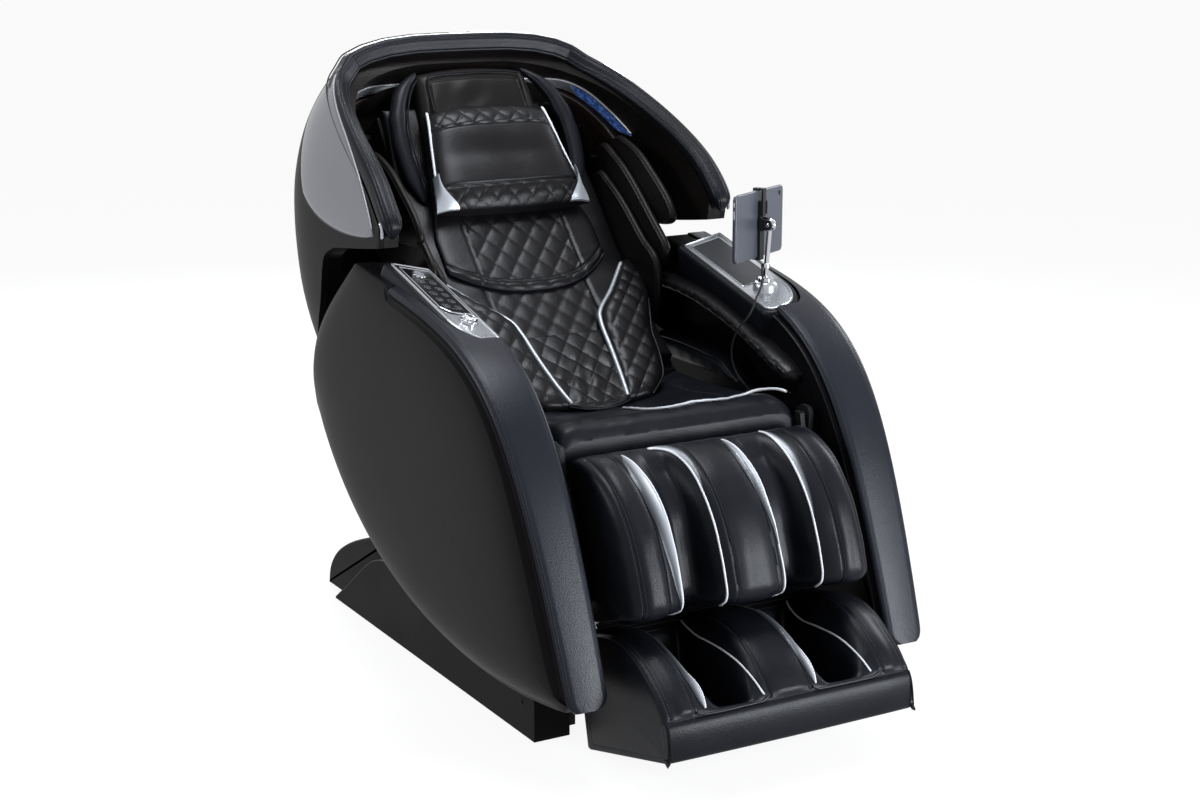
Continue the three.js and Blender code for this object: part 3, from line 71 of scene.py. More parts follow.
def bell(value: np.ndarray | float, centre: float, width: float) -> np.ndarray | float:
    """A narrow hump of height one round a centre."""
    return np.exp(-(((np.asarray(value, float) - centre) / width) ** 2))


def bezier(a: Sequence[float], b: Sequence[float], c: Sequence[float], d: Sequence[float],
           steps: int) -> np.ndarray:
    """Points of a cubic curve, both ends included."""
    t = np.linspace(0.0, 1.0, steps + 1)[:, None]
    a, b, c, d = (np.asarray(p, float) for p in (a, b, c, d))
    return (1 - t) ** 3 * a + 3 * (1 - t) ** 2 * t * b + 3 * (1 - t) * t ** 2 * c + t ** 3 * d


def spline(points: Sequence[Sequence[float]], steps: int = 16, closed: bool = False) -> np.ndarray:
    """A smooth curve through points, with as many steps between each two.

    Args:
        points: the points that the curve passes through, in two or three dimensions.
        steps: steps between neighbours.
        closed: whether the curve runs back to its first point.

    Returns:
        The points of the curve.
    """
    p = np.asarray(points, float)
    p = np.vstack([p[-1:], p, p[:2]]) if closed else np.vstack([2 * p[0] - p[1], p, 2 * p[-1] - p[-2]])
    t = np.linspace(0.0, 1.0, steps, endpoint=False)[:, None]
    spans = [0.5 * (2 * b + (c - a) * t + (2 * a - 5 * b + 4 * c - d) * t ** 2 + (3 * b - a - 3 * c + d) * t ** 3)
             for a, b, c, d in zip(p[:-3], p[1:-2], p[2:-1], p[3:])]
    return np.vstack(spans if closed else [*spans, p[-2:-1]])


def along(points: Sequence[Sequence[float]], count: int, closed: bool = False) -> np.ndarray:
    """Equal steps of length along the smooth curve through points."""
    return resample(spline(points, 16, closed), count, closed)


def resample(line: np.ndarray, count: int, closed: bool = False) -> np.ndarray:
    """Equal steps of length along a polyline."""
    if closed and np.linalg.norm(line[0] - line[-1]) > 1e-6:
        line = np.vstack([line, line[:1]])
    length = np.concatenate([[0.0], np.cumsum(np.linalg.norm(np.diff(line, axis=0), axis=1))])
    at = np.linspace(0.0, length[-1], count + (1 if closed else 0))
    if closed:
        at = at[:-1]
    return np.stack([np.interp(at, length, line[:, k]) for k in range(line.shape[1])], axis=1)


def tangents(line: np.ndarray, closed: bool = False) -> np.ndarray:
    """Unit tangents of a polyline."""
    if closed:
        step = np.roll(line, -1, axis=0) - np.roll(line, 1, axis=0)
    else:
        step = np.gradient(line, axis=0)
    return step / np.maximum(np.linalg.norm(step, axis=1, keepdims=True), 1e-9)


def inset(outline: np.ndarray, distance: np.ndarray | float) -> np.ndarray:
    """Moves every point of a closed outline of the side view inwards."""
    t = tangents(outline, closed=True)
    area = 0.5 * np.sum(outline[:, 0] * np.roll(outline[:, 1], -1)
                        - np.roll(outline[:, 0], -1) * outline[:, 1])
    normal = np.stack([-t[:, 1], t[:, 0]], axis=1) * np.sign(area)
    return outline + normal * np.asarray(distance, float).reshape(-1, 1)


def lift(x: np.ndarray | float, side_view: np.ndarray) -> np.ndarray:
    """Points of the side view set at an x."""
    xs = np.broadcast_to(np.asarray(x, float), side_view.shape[:1])
    return np.column_stack([xs, side_view])


# ---------------------------------------------------------------- meshes
def as_object(name: str, points: np.ndarray, faces: Faces, angle: float = 40.0,
              fade: np.ndarray | None = None) -> bpy.types.Object:
    """Makes a mesh object from millimetres, with its faces turned outwards.

    Args:
        name: the piece's name.
        points: its corners.
        faces: its faces, as indices.
        angle: edges sharper than this stay sharp, in degrees.
        fade: a value for each corner, which some finishes read; the silver insets read it as painted shade and
            highlight.

    Returns:
        The new object, linked to the scene.
    """
    mesh = bpy.data.meshes.new(name)
    mesh.from_pydata((np.asarray(points, float) * MM).tolist(), [], faces)
    if fade is not None:
        mesh.attributes.new("fade", "FLOAT", "POINT").data.foreach_set("value", fade.astype(np.float32))
    mesh.validate()
    kit = bmesh.new()
    kit.from_mesh(mesh)
    bmesh.ops.remove_doubles(kit, verts=kit.verts, dist=1e-6)
    bmesh.ops.recalc_face_normals(kit, faces=kit.faces)
    kit.to_mesh(mesh)
    kit.free()
    mesh.shade_smooth()
    mesh.set_sharp_from_angle(angle=math.radians(angle))
    obj = bpy.data.objects.new(name, mesh)
    bpy.context.scene.collection.objects.link(obj)
    return obj


def grid_faces(rows: int, columns: int, wrap: bool = False, start: int = 0) -> Faces:
    """Quads between the rows and columns of a grid."""
    faces: Faces = []
    last = columns if wrap else columns - 1
    for r in range(rows - 1):
        for c in range(last):
            n = (c + 1) % columns
            a, b = start + r * columns + c, start + r * columns + n
            faces.append((a, b, b + columns, a + columns))
    return faces


def loft(rings: Sequence[np.ndarray], capped: bool = True) -> tuple[np.ndarray, Faces]:
    """A body through closed rings of equal count."""
    count = len(rings[0])
    points = np.vstack(rings)
    faces = grid_faces(len(rings), count, wrap=True)
    if capped:
        faces.append(tuple(range(count)))
        faces.append(tuple(range((len(rings) - 1) * count, len(rings) * count)))
    return points, faces


def shell(top: Grid, bottom: Grid) -> tuple[np.ndarray, Faces]:
    """A closed body between two grids of the same shape."""
    rows, columns = top.shape[:2]
    points = np.vstack([top.reshape(-1, 3), bottom.reshape(-1, 3)])
    faces = grid_faces(rows, columns) + grid_faces(rows, columns, start=rows * columns)
    edge = [(0, c) for c in range(columns)] + [(r, columns - 1) for r in range(1, rows)]
    edge += [(rows - 1, c) for c in range(columns - 2, -1, -1)] + [(r, 0) for r in range(rows - 2, 0, -1)]
    base = rows * columns
    for i, (r, c) in enumerate(edge):
        nr, nc = edge[(i + 1) % len(edge)]
        a, b = r * columns + c, nr * columns + nc
        faces.append((a, b, base + b, base + a))
    return points, faces


def tube(line: np.ndarray, radius: float, sides: int = 8, closed: bool = False) -> tuple[np.ndarray, Faces]:
    """A round tube along a line, with round ends where it is open."""
    t = tangents(line, closed)
    up = np.array([0.0, 0.0, 1.0]) if abs(t[0][2]) < 0.9 else np.array([1.0, 0.0, 0.0])
    normal = np.cross(t[0], up)
    normal /= np.linalg.norm(normal)
    rings = []
    turn = np.linspace(0.0, 2 * math.pi, sides, endpoint=False)
    for i, here in enumerate(line):
        normal = normal - t[i] * normal.dot(t[i])
        normal /= np.linalg.norm(normal)
        other = np.cross(t[i], normal)
        size = radius * (0.55 if not closed and i in (0, len(line) - 1) else 1.0)
        rings.append(here + size * (np.cos(turn)[:, None] * normal + np.sin(turn)[:, None] * other))
    if closed:
        points = np.vstack(rings)
        faces = grid_faces(len(rings), sides, wrap=True)
        last = (len(rings) - 1) * sides
        for c in range(sides):
            n = (c + 1) % sides
            faces.append((last + c, last + n, n, c))
        return points, faces
    return loft(rings)


def stitches(line: np.ndarray, pitch: float = 5.5, length: float = 3.6,
             radius: float = 0.45) -> tuple[np.ndarray, Faces]:
    """A row of short threads along a line."""
    total = float(np.sum(np.linalg.norm(np.diff(line, axis=0), axis=1)))
    count = max(int(total / pitch), 2)
    spots = resample(line, count)
    direction = tangents(spots)
    points: list[np.ndarray] = []
    faces: Faces = []
    base = 0
    for here, way in zip(spots, direction):
        ends = np.stack([here - way * length / 2, here, here + way * length / 2])
        body, body_faces = tube(ends, radius, 4)
        points.append(body)
        faces += [tuple(i + base for i in face) for face in body_faces]
        base += len(body)
    return np.vstack(points), faces


def merged(parts: Iterable[tuple[np.ndarray, Faces]]) -> tuple[np.ndarray, Faces]:
    """Several bodies as one mesh."""
    points: list[np.ndarray] = []
    faces: Faces = []
    base = 0
    for body, body_faces in parts:
        points.append(body)
        faces += [tuple(i + base for i in face) for face in body_faces]
        base += len(body)
    return np.vstack(points), faces


def mirrored(body: tuple[np.ndarray, Faces], side: float) -> tuple[np.ndarray, Faces]:
    """The same body on the chair's other side where side is -1."""
    points, faces = body
    return points * np.array([side, 1.0, 1.0]), faces


def carve(obj: bpy.types.Object, other: bpy.types.Object, operation: str) -> None:
    """Joins, cuts or trims a piece with another, which is then removed.

    Args:
        obj: the piece that changes.
        other: the tool.
        operation: UNION, DIFFERENCE or INTERSECT.
    """
    modifier = obj.modifiers.new("carve", "BOOLEAN")
    modifier.object = other
    modifier.operation = operation
    modifier.solver = "EXACT"
    apply_modifiers(obj)
    bpy.data.objects.remove(other, do_unlink=True)


def apply_modifiers(obj: bpy.types.Object, angle: float = 40.0) -> None:
    """Replaces a piece's mesh with what its modifiers make of it."""
    graph = bpy.context.evaluated_depsgraph_get()
    graph.update()
    mesh = bpy.data.meshes.new_from_object(obj.evaluated_get(graph))
    old = obj.data
    obj.modifiers.clear()
    obj.data = mesh
    mesh.name = obj.name
    if old.users == 0:
        bpy.data.meshes.remove(old)
    mesh.shade_smooth()
    mesh.set_sharp_from_angle(angle=math.radians(angle))


def slab(name: str, outline: np.ndarray, low: float, high: float) -> bpy.types.Object:
    """A plain block of a side-view outline, used as a tool."""
    points, faces = loft([lift(low, outline), lift(high, outline)])
    return as_object(name, points, faces)


def noise_field(points: np.ndarray, scale: float, seed: int) -> np.ndarray:
    """Soft waves over points, the same on each run, roughly from -1 to 1."""
    rng = np.random.default_rng(seed)
    total = np.zeros(points.shape[:-1])
    for _ in range(7):
        way = rng.normal(size=points.shape[-1])
        way /= np.linalg.norm(way)
        rate = 2 * math.pi / scale * rng.uniform(0.6, 1.6)
        total += np.sin(points @ way * rate + rng.uniform(0, 2 * math.pi))
    return total / 4.0


def quilting(across: np.ndarray, up: np.ndarray, width: float = 38.0,
             height: float = 50.0) -> np.ndarray:
    """Height of a diamond quilt from 0 on its seams to 1 between them."""
    first = across / width + up / height
    second = across / width - up / height
    return (np.abs(np.sin(math.pi * first)) * np.abs(np.sin(math.pi * second))) ** 0.3


# ---------------------------------------------------------------- shader groups
class Effect(Enum):
    """Effects that several finishes share, each a node group."""

    GRAIN = "hide_grain"
    WEAR = "handling_wear"
    BRUSH = "brushed_lines"


GroupSocket = tuple[str, str, float]


def new_group(name: str, inputs: Sequence[GroupSocket], outputs: Sequence[tuple[str, str]]) -> bpy.types.NodeTree:
    """Starts a shader group with its sockets."""
    group = bpy.data.node_groups.new(name, "ShaderNodeTree")
    for label, kind, value in inputs:
        socket = group.interface.new_socket(name=label, in_out="INPUT", socket_type=kind)
        socket.default_value = value
    for label, kind in outputs:
        group.interface.new_socket(name=label, in_out="OUTPUT", socket_type=kind)
    group.nodes.new("NodeGroupInput")
    group.nodes.new("NodeGroupOutput")
    return group


def math_node(tree: bpy.types.NodeTree, operation: str, first: bpy.types.NodeSocket | float,
              second: bpy.types.NodeSocket | float) -> bpy.types.NodeSocket:
    """One sum of two values in a node tree."""
    node = tree.nodes.new("ShaderNodeMath")
    node.operation = operation
    for index, value in enumerate((first, second)):
        if isinstance(value, (int, float)):
            node.inputs[index].default_value = value
        else:
            tree.links.new(value, node.inputs[index])
    return node.outputs[0]


def noise_node(tree: bpy.types.NodeTree, vector: bpy.types.NodeSocket,
               scale: bpy.types.NodeSocket | float, detail: float) -> bpy.types.NodeSocket:
    """A noise texture's value."""
    node = tree.nodes.new("ShaderNodeTexNoise")
    node.inputs["Detail"].default_value = detail
    if isinstance(scale, (int, float)):
        node.inputs["Scale"].default_value = scale
    else:
        tree.links.new(scale, node.inputs["Scale"])
    tree.links.new(vector, node.inputs["Vector"])
    return node.outputs["Fac"]


def grain_group() -> bpy.types.NodeTree:
    """Pebbles and fine creases of a hide: a height and a slow variation."""
    group = new_group(Effect.GRAIN.value, [("Scale", "NodeSocketFloat", 420.0)],
                      [("Height", "NodeSocketFloat"), ("Variation", "NodeSocketFloat")])
    nodes, links = group.nodes, group.links
    source = nodes["Group Input"]
    coordinates = nodes.new("ShaderNodeTexCoord").outputs["Object"]
    pebble = nodes.new("ShaderNodeTexVoronoi")
    pebble.feature = "SMOOTH_F1"
    pebble.inputs["Smoothness"].default_value = 0.6
    links.new(coordinates, pebble.inputs["Vector"])
    links.new(source.outputs["Scale"], pebble.inputs["Scale"])
    crease = noise_node(group, coordinates, math_node(group, "MULTIPLY", source.outputs["Scale"], 0.12), 5.0)
    ridge = math_node(group, "ABSOLUTE", math_node(group, "SUBTRACT", crease, 0.5), 0.0)
    height = math_node(group, "ADD", math_node(group, "MULTIPLY", pebble.outputs["Distance"], 0.6), ridge)
    slow = noise_node(group, coordinates, 5.0, 3.0)
    links.new(height, nodes["Group Output"].inputs["Height"])
    links.new(slow, nodes["Group Output"].inputs["Variation"])
    return group


def wear_group() -> bpy.types.NodeTree:
    """Handling wear: soft smudges with finer streaks in them."""
    group = new_group(Effect.WEAR.value, [("Scale", "NodeSocketFloat", 9.0)],
                      [("Mask", "NodeSocketFloat"), ("Fine", "NodeSocketFloat")])
    nodes, links = group.nodes, group.links
    source = nodes["Group Input"]
    coordinates = nodes.new("ShaderNodeTexCoord").outputs["Object"]
    broad = noise_node(group, coordinates, source.outputs["Scale"], 4.0)
    fine = noise_node(group, coordinates, math_node(group, "MULTIPLY", source.outputs["Scale"], 30.0), 3.0)
    mask = math_node(group, "MULTIPLY", broad, math_node(group, "ADD", 0.7, math_node(group, "MULTIPLY", fine, 0.6)))
    links.new(mask, nodes["Group Output"].inputs["Mask"])
    links.new(fine, nodes["Group Output"].inputs["Fine"])
    return group


def brush_group() -> bpy.types.NodeTree:
    """Fine parallel lines of a brushed or drawn metal."""
    group = new_group(Effect.BRUSH.value, [("Scale", "NodeSocketFloat", 60.0)],
                      [("Height", "NodeSocketFloat")])
    nodes, links = group.nodes, group.links
    coordinates = nodes.new("ShaderNodeTexCoord").outputs["Object"]
    stretch = nodes.new("ShaderNodeMapping")
    stretch.inputs["Scale"].default_value = (24.0, 1.0, 24.0)
    links.new(coordinates, stretch.inputs["Vector"])
    lines = noise_node(group, stretch.outputs["Vector"], nodes["Group Input"].outputs["Scale"], 4.0)
    links.new(lines, nodes["Group Output"].inputs["Height"])
    return group


class Groups:
    """The shared node groups, each built once."""

    def __init__(self) -> None:
        """Builds all of them."""
        self._made = {Effect.GRAIN: grain_group(), Effect.WEAR: wear_group(), Effect.BRUSH: brush_group()}

    def place(self, tree: bpy.types.NodeTree, effect: Effect, scale: float) -> bpy.types.Node:
        """Puts a group into a material.

        Args:
            tree: the material's node tree.
            effect: which group.
            scale: the value of its Scale input.

        Returns:
            The group node.
        """
        node = tree.nodes.new("ShaderNodeGroup")
        node.node_tree = self._made[effect]
        node.inputs["Scale"].default_value = scale
        return node


# ---------------------------------------------------------------- finishes
Colour = tuple[float, float, float]


@dataclass(frozen=True)
class Finish:
    """One of the chair's finishes and the slot that it dresses."""

    name: str
    slot: str
    colour: Colour
    shade: Colour
    roughness: float
    spread: float = 0.08
    metallic: float = 0.0
    specular: float = 0.5
    coat: float = 0.0
    effect: Effect = Effect.GRAIN
    scale: float = 420.0
    depth: float = 0.0004
    glow: Colour | None = None
    # fade: the colour mix follows the mesh's fade values instead of the wear mask; on the silver insets this is painted
    # shade and highlight
    fade: bool = False

    def material(self, groups: Groups) -> bpy.types.Material:
        """Builds the material's nodes.

        Args:
            groups: the shared node groups.

        Returns:
            The material.
        """
        made = bpy.data.materials.new(self.name)
        made.use_nodes = True
        tree = made.node_tree
        shader = tree.nodes["Principled BSDF"]
        shader.inputs["Metallic"].default_value = self.metallic
        shader.inputs["Specular IOR Level"].default_value = self.specular
        shader.inputs["Coat Weight"].default_value = self.coat
        shader.inputs["Coat Roughness"].default_value = 0.12
        effect = groups.place(tree, self.effect, self.scale)
        wear = groups.place(tree, Effect.WEAR, 7.0)
        mix = tree.nodes.new("ShaderNodeMix")
        mix.data_type = "RGBA"
        mix.inputs["A"].default_value = (*self.colour, 1.0)
        mix.inputs["B"].default_value = (*self.shade, 1.0)
        tree.links.new(wear.outputs["Mask"], mix.inputs["Factor"])
        # painted light: the fade values replace the wear mask, so the colour goes from near-black to silver across the
        # piece
        if self.fade:
            across = tree.nodes.new("ShaderNodeAttribute")
            across.attribute_name = "fade"
            tree.links.new(across.outputs["Fac"], mix.inputs["Factor"])
        tree.links.new(mix.outputs["Result"], shader.inputs["Base Color"])
        rough = tree.nodes.new("ShaderNodeMapRange")
        rough.inputs["To Min"].default_value = max(self.roughness - self.spread, 0.02)
        rough.inputs["To Max"].default_value = self.roughness + self.spread
        tree.links.new(wear.outputs["Mask"], rough.inputs["Value"])
        tree.links.new(rough.outputs["Result"], shader.inputs["Roughness"])
        bump = tree.nodes.new("ShaderNodeBump")
        bump.inputs["Distance"].default_value = self.depth
        bump.inputs["Strength"].default_value = 0.6
        height = effect.outputs["Mask" if self.effect is Effect.WEAR else "Height"]
        tree.links.new(height, bump.inputs["Height"])
        tree.links.new(bump.outputs["Normal"], shader.inputs["Normal"])
        if self.glow is not None:
            self._light(tree, shader)
        return made

    def _light(self, tree: bpy.types.NodeTree, shader: bpy.types.Node) -> None:
        """Lights the finish from inside through a mosaic of small cells."""
        cells = tree.nodes.new("ShaderNodeTexVoronoi")
        cells.inputs["Scale"].default_value = 160.0
        place = tree.nodes.new("ShaderNodeTexCoord")
        tree.links.new(place.outputs["Object"], cells.inputs["Vector"])
        ramp = tree.nodes.new("ShaderNodeMix")
        ramp.data_type = "RGBA"
        ramp.inputs["A"].default_value = (*self.glow, 1.0)
        ramp.inputs["B"].default_value = (0.10, 0.22, 0.62, 1.0)
        tree.links.new(math_node(tree, "POWER", cells.outputs["Distance"], 2.0), ramp.inputs["Factor"])
        tree.links.new(ramp.outputs["Result"], shader.inputs["Emission Color"])
        shader.inputs["Emission Strength"].default_value = 0.55


LEATHER = Finish("soft_leather", "black_leather", (0.0024, 0.0026, 0.0036), (0.0056, 0.0063, 0.0090), 0.35,
                 specular=0.095, scale=520.0, depth=0.0006)
# a lighter, bluer copy of the black leather for the pods' front bands: painted sheen
BAND_LEATHER_PAINTED_SHEEN = Finish("band_leather_painted_sheen", "black_leather", (0.0056, 0.0063, 0.0092), (0.0088, 0.0100, 0.0146), 0.34,
                      specular=0.11, scale=520.0, depth=0.0006)
# a darker, duller copy of the black leather for pieces in recesses (the pods' inner bodies, the waist gusset, the leg
# bellows): painted shade
LEATHER_PAINTED_SHADE = Finish("leather_painted_shade", "black_leather", (0.0012, 0.0012, 0.0015), (0.0028, 0.0028, 0.0034), 0.42,
                      specular=0.036, scale=520.0, depth=0.0006)
BROWN_LEATHER = Finish("umber_leather", "black_leather", (0.0026, 0.0021, 0.0019), (0.0060, 0.0050, 0.0045), 0.36,
                       specular=0.09, scale=520.0, depth=0.0006)
QUILT = Finish("quilted_hide", "quilted_leather", (0.0022, 0.0021, 0.0026), (0.0052, 0.0049, 0.0058), 0.31,
               specular=0.13, scale=420.0, depth=0.0007)
THREAD = Finish("seam_thread", "black_leather", (0.035, 0.036, 0.042), (0.060, 0.062, 0.070), 0.6,
                specular=0.2, scale=900.0, depth=0.0003)
SHELL = Finish("satin_shell", "satin_black_shell", (0.0036, 0.0035, 0.0039), (0.0054, 0.0053, 0.0060), 0.42,
               spread=0.04, specular=0.045, effect=Effect.GRAIN, scale=1400.0, depth=0.0002)
COVER = Finish("matt_cover", "satin_black_shell", (0.0030, 0.0029, 0.0029), (0.0048, 0.0047, 0.0047), 0.55,
               specular=0.05, scale=1400.0, depth=0.0002)
GREY_GLOSS = Finish("metallic_grey_gloss", "gloss_grey", (0.075, 0.080, 0.094), (0.100, 0.106, 0.122), 0.26,
                    spread=0.04, metallic=0.35, specular=0.4, coat=0.3, effect=Effect.WEAR, scale=40.0,
                    depth=0.00005)
SILVER = Finish("silver_paint", "silver_trim", (0.30, 0.31, 0.33), (0.42, 0.43, 0.45), 0.28, spread=0.06,
                metallic=0.80, coat=0.2, effect=Effect.BRUSH, scale=70.0, depth=0.00006)
# real silver leather, painted with shade and highlight: its colour runs from near-black at the inset's outer line to
# silver at the piping
SILVER_LEATHER_PAINTED_LIGHT = Finish("silver_leather", "silver_trim", (0.012, 0.014, 0.018), (0.40, 0.42, 0.45), 0.34,
                        metallic=0.25, specular=0.4, scale=520.0, depth=0.0004, fade=True)
SATIN_SILVER = Finish("satin_silver_leather", "silver_trim", (0.24, 0.26, 0.28), (0.36, 0.38, 0.41), 0.34,
                      metallic=0.35, specular=0.4, scale=520.0, depth=0.0004)
PIPING = Finish("pale_piping", "silver_trim", (0.42, 0.43, 0.45), (0.56, 0.57, 0.59), 0.40, specular=0.4,
                scale=700.0, depth=0.0002)
CHROME = Finish("polished_chrome", "chrome", (0.42, 0.43, 0.45), (0.50, 0.51, 0.53), 0.09, spread=0.03,
                metallic=1.0, effect=Effect.WEAR, scale=30.0, depth=0.00002)
GLASS_BLACK = Finish("piano_black", "gloss_black", (0.0030, 0.0030, 0.0036), (0.0055, 0.0055, 0.0065), 0.10,
                     spread=0.04, specular=0.25, coat=0.2, effect=Effect.WEAR, scale=25.0, depth=0.00002)
UMBER_GLOSS = Finish("umber_gloss", "gloss_black", (0.014, 0.0095, 0.0072), (0.024, 0.017, 0.013), 0.22,
                     spread=0.05, specular=0.25, coat=0.2, effect=Effect.WEAR, scale=25.0, depth=0.00003)
KEY_MARK = Finish("key_print", "gloss_black", (0.10, 0.10, 0.11), (0.16, 0.16, 0.17), 0.35,
                  effect=Effect.WEAR, scale=60.0, depth=0.00002)
PAD_RUBBER = Finish("charging_mat", "rubber", (0.0085, 0.0090, 0.0110), (0.0150, 0.0155, 0.0180), 0.60,
                    specular=0.2, scale=2200.0, depth=0.0003)
RUBBER = Finish("rubber_matt", "rubber", (0.006, 0.006, 0.0065), (0.012, 0.012, 0.0125), 0.72, specular=0.15,
                scale=1600.0, depth=0.0003)
PLASTIC = Finish("moulded_black", "black_plastic", (0.0050, 0.0050, 0.0055), (0.0100, 0.0100, 0.0110), 0.52,
                 specular=0.18, scale=1800.0, depth=0.0002)
STEEL = Finish("powder_coat", "powder_coated_steel", (0.0042, 0.0044, 0.0050), (0.0080, 0.0084, 0.0095), 0.48,
               metallic=0.15, specular=0.10, scale=1500.0, depth=0.0003)
TABLET = Finish("tablet_case", "tablet_shell", (0.040, 0.044, 0.056), (0.058, 0.063, 0.078), 0.34,
                metallic=0.3, specular=0.3, effect=Effect.WEAR, scale=50.0, depth=0.00003)
BLUE = Finish("blue_lens", "blue_light", (0.004, 0.008, 0.030), (0.010, 0.020, 0.060), 0.25, specular=0.3,
              effect=Effect.WEAR, scale=90.0, depth=0.0002, glow=(0.004, 0.012, 0.060))


class Workshop:
    """Makes pieces: meshes with a finish that ride on a body."""

    def __init__(self) -> None:
        """Builds the shared groups and starts with no material made."""
        self.groups = Groups()
        self._materials: dict[str, bpy.types.Material] = {}

    def material(self, finish: Finish) -> bpy.types.Material:
        """The material of a finish, built on first use."""
        if finish.name not in self._materials:
            self._materials[finish.name] = finish.material(self.groups)
        return self._materials[finish.name]

    def dress(self, obj: bpy.types.Object, finish: Finish, body: str | None,
              replaces: Sequence[str] = ()) -> bpy.types.Object:
        """Gives a piece its finish, its body and the nodes it stands for.

        Args:
            obj: the piece.
            finish: its finish.
            body: the body that it rides on, or none, which leaves it fixed where it is built.
            replaces: nodes of the frame that it stands for.

        Returns:
            The same piece.
        """
        obj.data.materials.clear()
        obj.data.materials.append(self.material(finish))
        if body is not None:
            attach(obj, body)
        if replaces:
            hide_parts(*replaces)
        LOG.info("%s on %s in %s", obj.name, body, finish.name)
        return obj

    def make(self, name: str, body_mesh: tuple[np.ndarray, Faces], finish: Finish, body: str | None,
             replaces: Sequence[str] = (), angle: float = 40.0,
             fade: np.ndarray | None = None) -> bpy.types.Object:
        """A new piece from points and faces, dressed."""
        return self.dress(as_object(name, *body_mesh, angle, fade), finish, body, replaces)

    def repaint(self, finish: Finish, *nodes: str) -> None:
        """Gives nodes of the frame a finish, their shape kept."""
        for node in nodes:
            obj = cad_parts[node]
            if not obj.material_slots:
                obj.data.materials.append(self.material(finish))
            for slot in obj.material_slots:
                slot.material = self.material(finish)
            LOG.info("%s repainted in %s", node, finish.name)


# ---------------------------------------------------------------- studio
@dataclass
class Studio:
    """Camera, lamps, floor and the pale surroundings."""

    eye: tuple[float, float, float] = (-1.9806, -3.5010, 1.5049)
    heading: float = 29.752
    pitch: float = 13.563
    lens: float = 62.46

    def camera(self) -> None:
        """Sets the camera where the photograph was taken from."""
        data = bpy.data.cameras.new("camera")
        data.lens = self.lens
        data.sensor_width = 36.0
        data.clip_end = 60.0
        camera = bpy.data.objects.new("camera", data)
        camera.location = self.eye
        camera.rotation_euler = (math.radians(90.0 - self.pitch), 0.0, -math.radians(self.heading))
        bpy.context.scene.collection.objects.link(camera)
        bpy.context.scene.camera = camera
        bpy.context.scene.view_settings.view_transform = "Standard"

    def lamps(self) -> None:
        """Hangs the soft boxes."""
        for name, place, aim, size, power in (
            ("front_box", (1.75, -3.35, 0.95), (0.0, -0.4, 0.5), (0.9, 1.8), 230.0),
            ("left_box", (-3.2, 0.9, 2.3), (0.0, 0.1, 0.7), (1.6, 1.0), 70.0),
            ("rear_box", (1.2, 3.4, 2.4), (0.0, 0.3, 0.6), (1.8, 1.2), 170.0),
            ("roof_box", (0.2, -0.1, 3.2), (0.0, 0.0, 0.5), (1.3, 1.0), 80.0),
            ("right_box", (3.0, 0.6, 2.0), (0.0, 0.1, 0.6), (1.0, 1.5), 45.0),
        ):
            data = bpy.data.lights.new(name, "AREA")
            data.shape = "RECTANGLE"
            data.size, data.size_y = size
            data.energy = power
            data.color = (0.90, 0.94, 1.0)
            lamp = bpy.data.objects.new(name, data)
            lamp.location = place
            way = np.subtract(aim, place)
            flat = math.hypot(way[0], way[1])
            lamp.rotation_euler = (math.atan2(flat, -way[2]), 0.0, math.atan2(way[1], way[0]) - math.pi / 2)
            bpy.context.scene.collection.objects.link(lamp)

    @staticmethod
    def _seen(tree: bpy.types.NodeTree) -> bpy.types.NodeSocket:
        """One for camera, glossy and transmission rays, else nought."""
        path = tree.nodes.new("ShaderNodeLightPath")
        return math_node(tree, "MAXIMUM", path.outputs["Is Camera Ray"],
                         math_node(tree, "MAXIMUM", path.outputs["Is Glossy Ray"],
                                   path.outputs["Is Transmission Ray"]))

    def surroundings(self) -> None:
        """White to look at, softer as light."""
        world = bpy.data.worlds.new("studio")
        bpy.context.scene.world = world
        world.use_nodes = True
        tree = world.node_tree
        background = tree.nodes["Background"]
        background.inputs["Color"].default_value = (1.0, 1.0, 1.0, 1.0)
        strength = math_node(tree, "ADD", 0.42, math_node(tree, "MULTIPLY", self._seen(tree), 0.58))
        tree.links.new(strength, background.inputs["Strength"])

    def floor(self) -> None:
        """A pale floor that keeps the chair's shadow."""
        points = np.array([[-1, -1, 0], [1, -1, 0], [1, 1, 0], [-1, 1, 0]]) * 70000.0
        floor = as_object("floor", points, [(0, 1, 2, 3)])
        made = bpy.data.materials.new("pale_floor")
        made.use_nodes = True
        tree = made.node_tree
        shader = tree.nodes["Principled BSDF"]
        shader.inputs["Roughness"].default_value = 0.9
        shader.inputs["Specular IOR Level"].default_value = 0.1
        tone = tree.nodes.new("ShaderNodeMix")
        tone.data_type = "RGBA"
        tone.inputs["A"].default_value = (0.80, 0.80, 0.80, 1.0)
        tone.inputs["B"].default_value = (0.84, 0.84, 0.84, 1.0)
        place = tree.nodes.new("ShaderNodeTexCoord").outputs["Object"]
        tree.links.new(noise_node(tree, place, 3.0, 4.0), tone.inputs["Factor"])
        tree.links.new(tone.outputs["Result"], shader.inputs["Base Color"])
        glow = tree.nodes.new("ShaderNodeEmission")
        mix = tree.nodes.new("ShaderNodeMixShader")
        glow.inputs["Strength"].default_value = 1.03
        tree.links.new(math_node(tree, "MULTIPLY", self._seen(tree), 0.88), mix.inputs["Fac"])
        tree.links.new(shader.outputs["BSDF"], mix.inputs[1])
        tree.links.new(glow.outputs["Emission"], mix.inputs[2])
        tree.links.new(mix.outputs["Shader"], tree.nodes["Material Output"].inputs["Surface"])
        floor.data.materials.append(made)


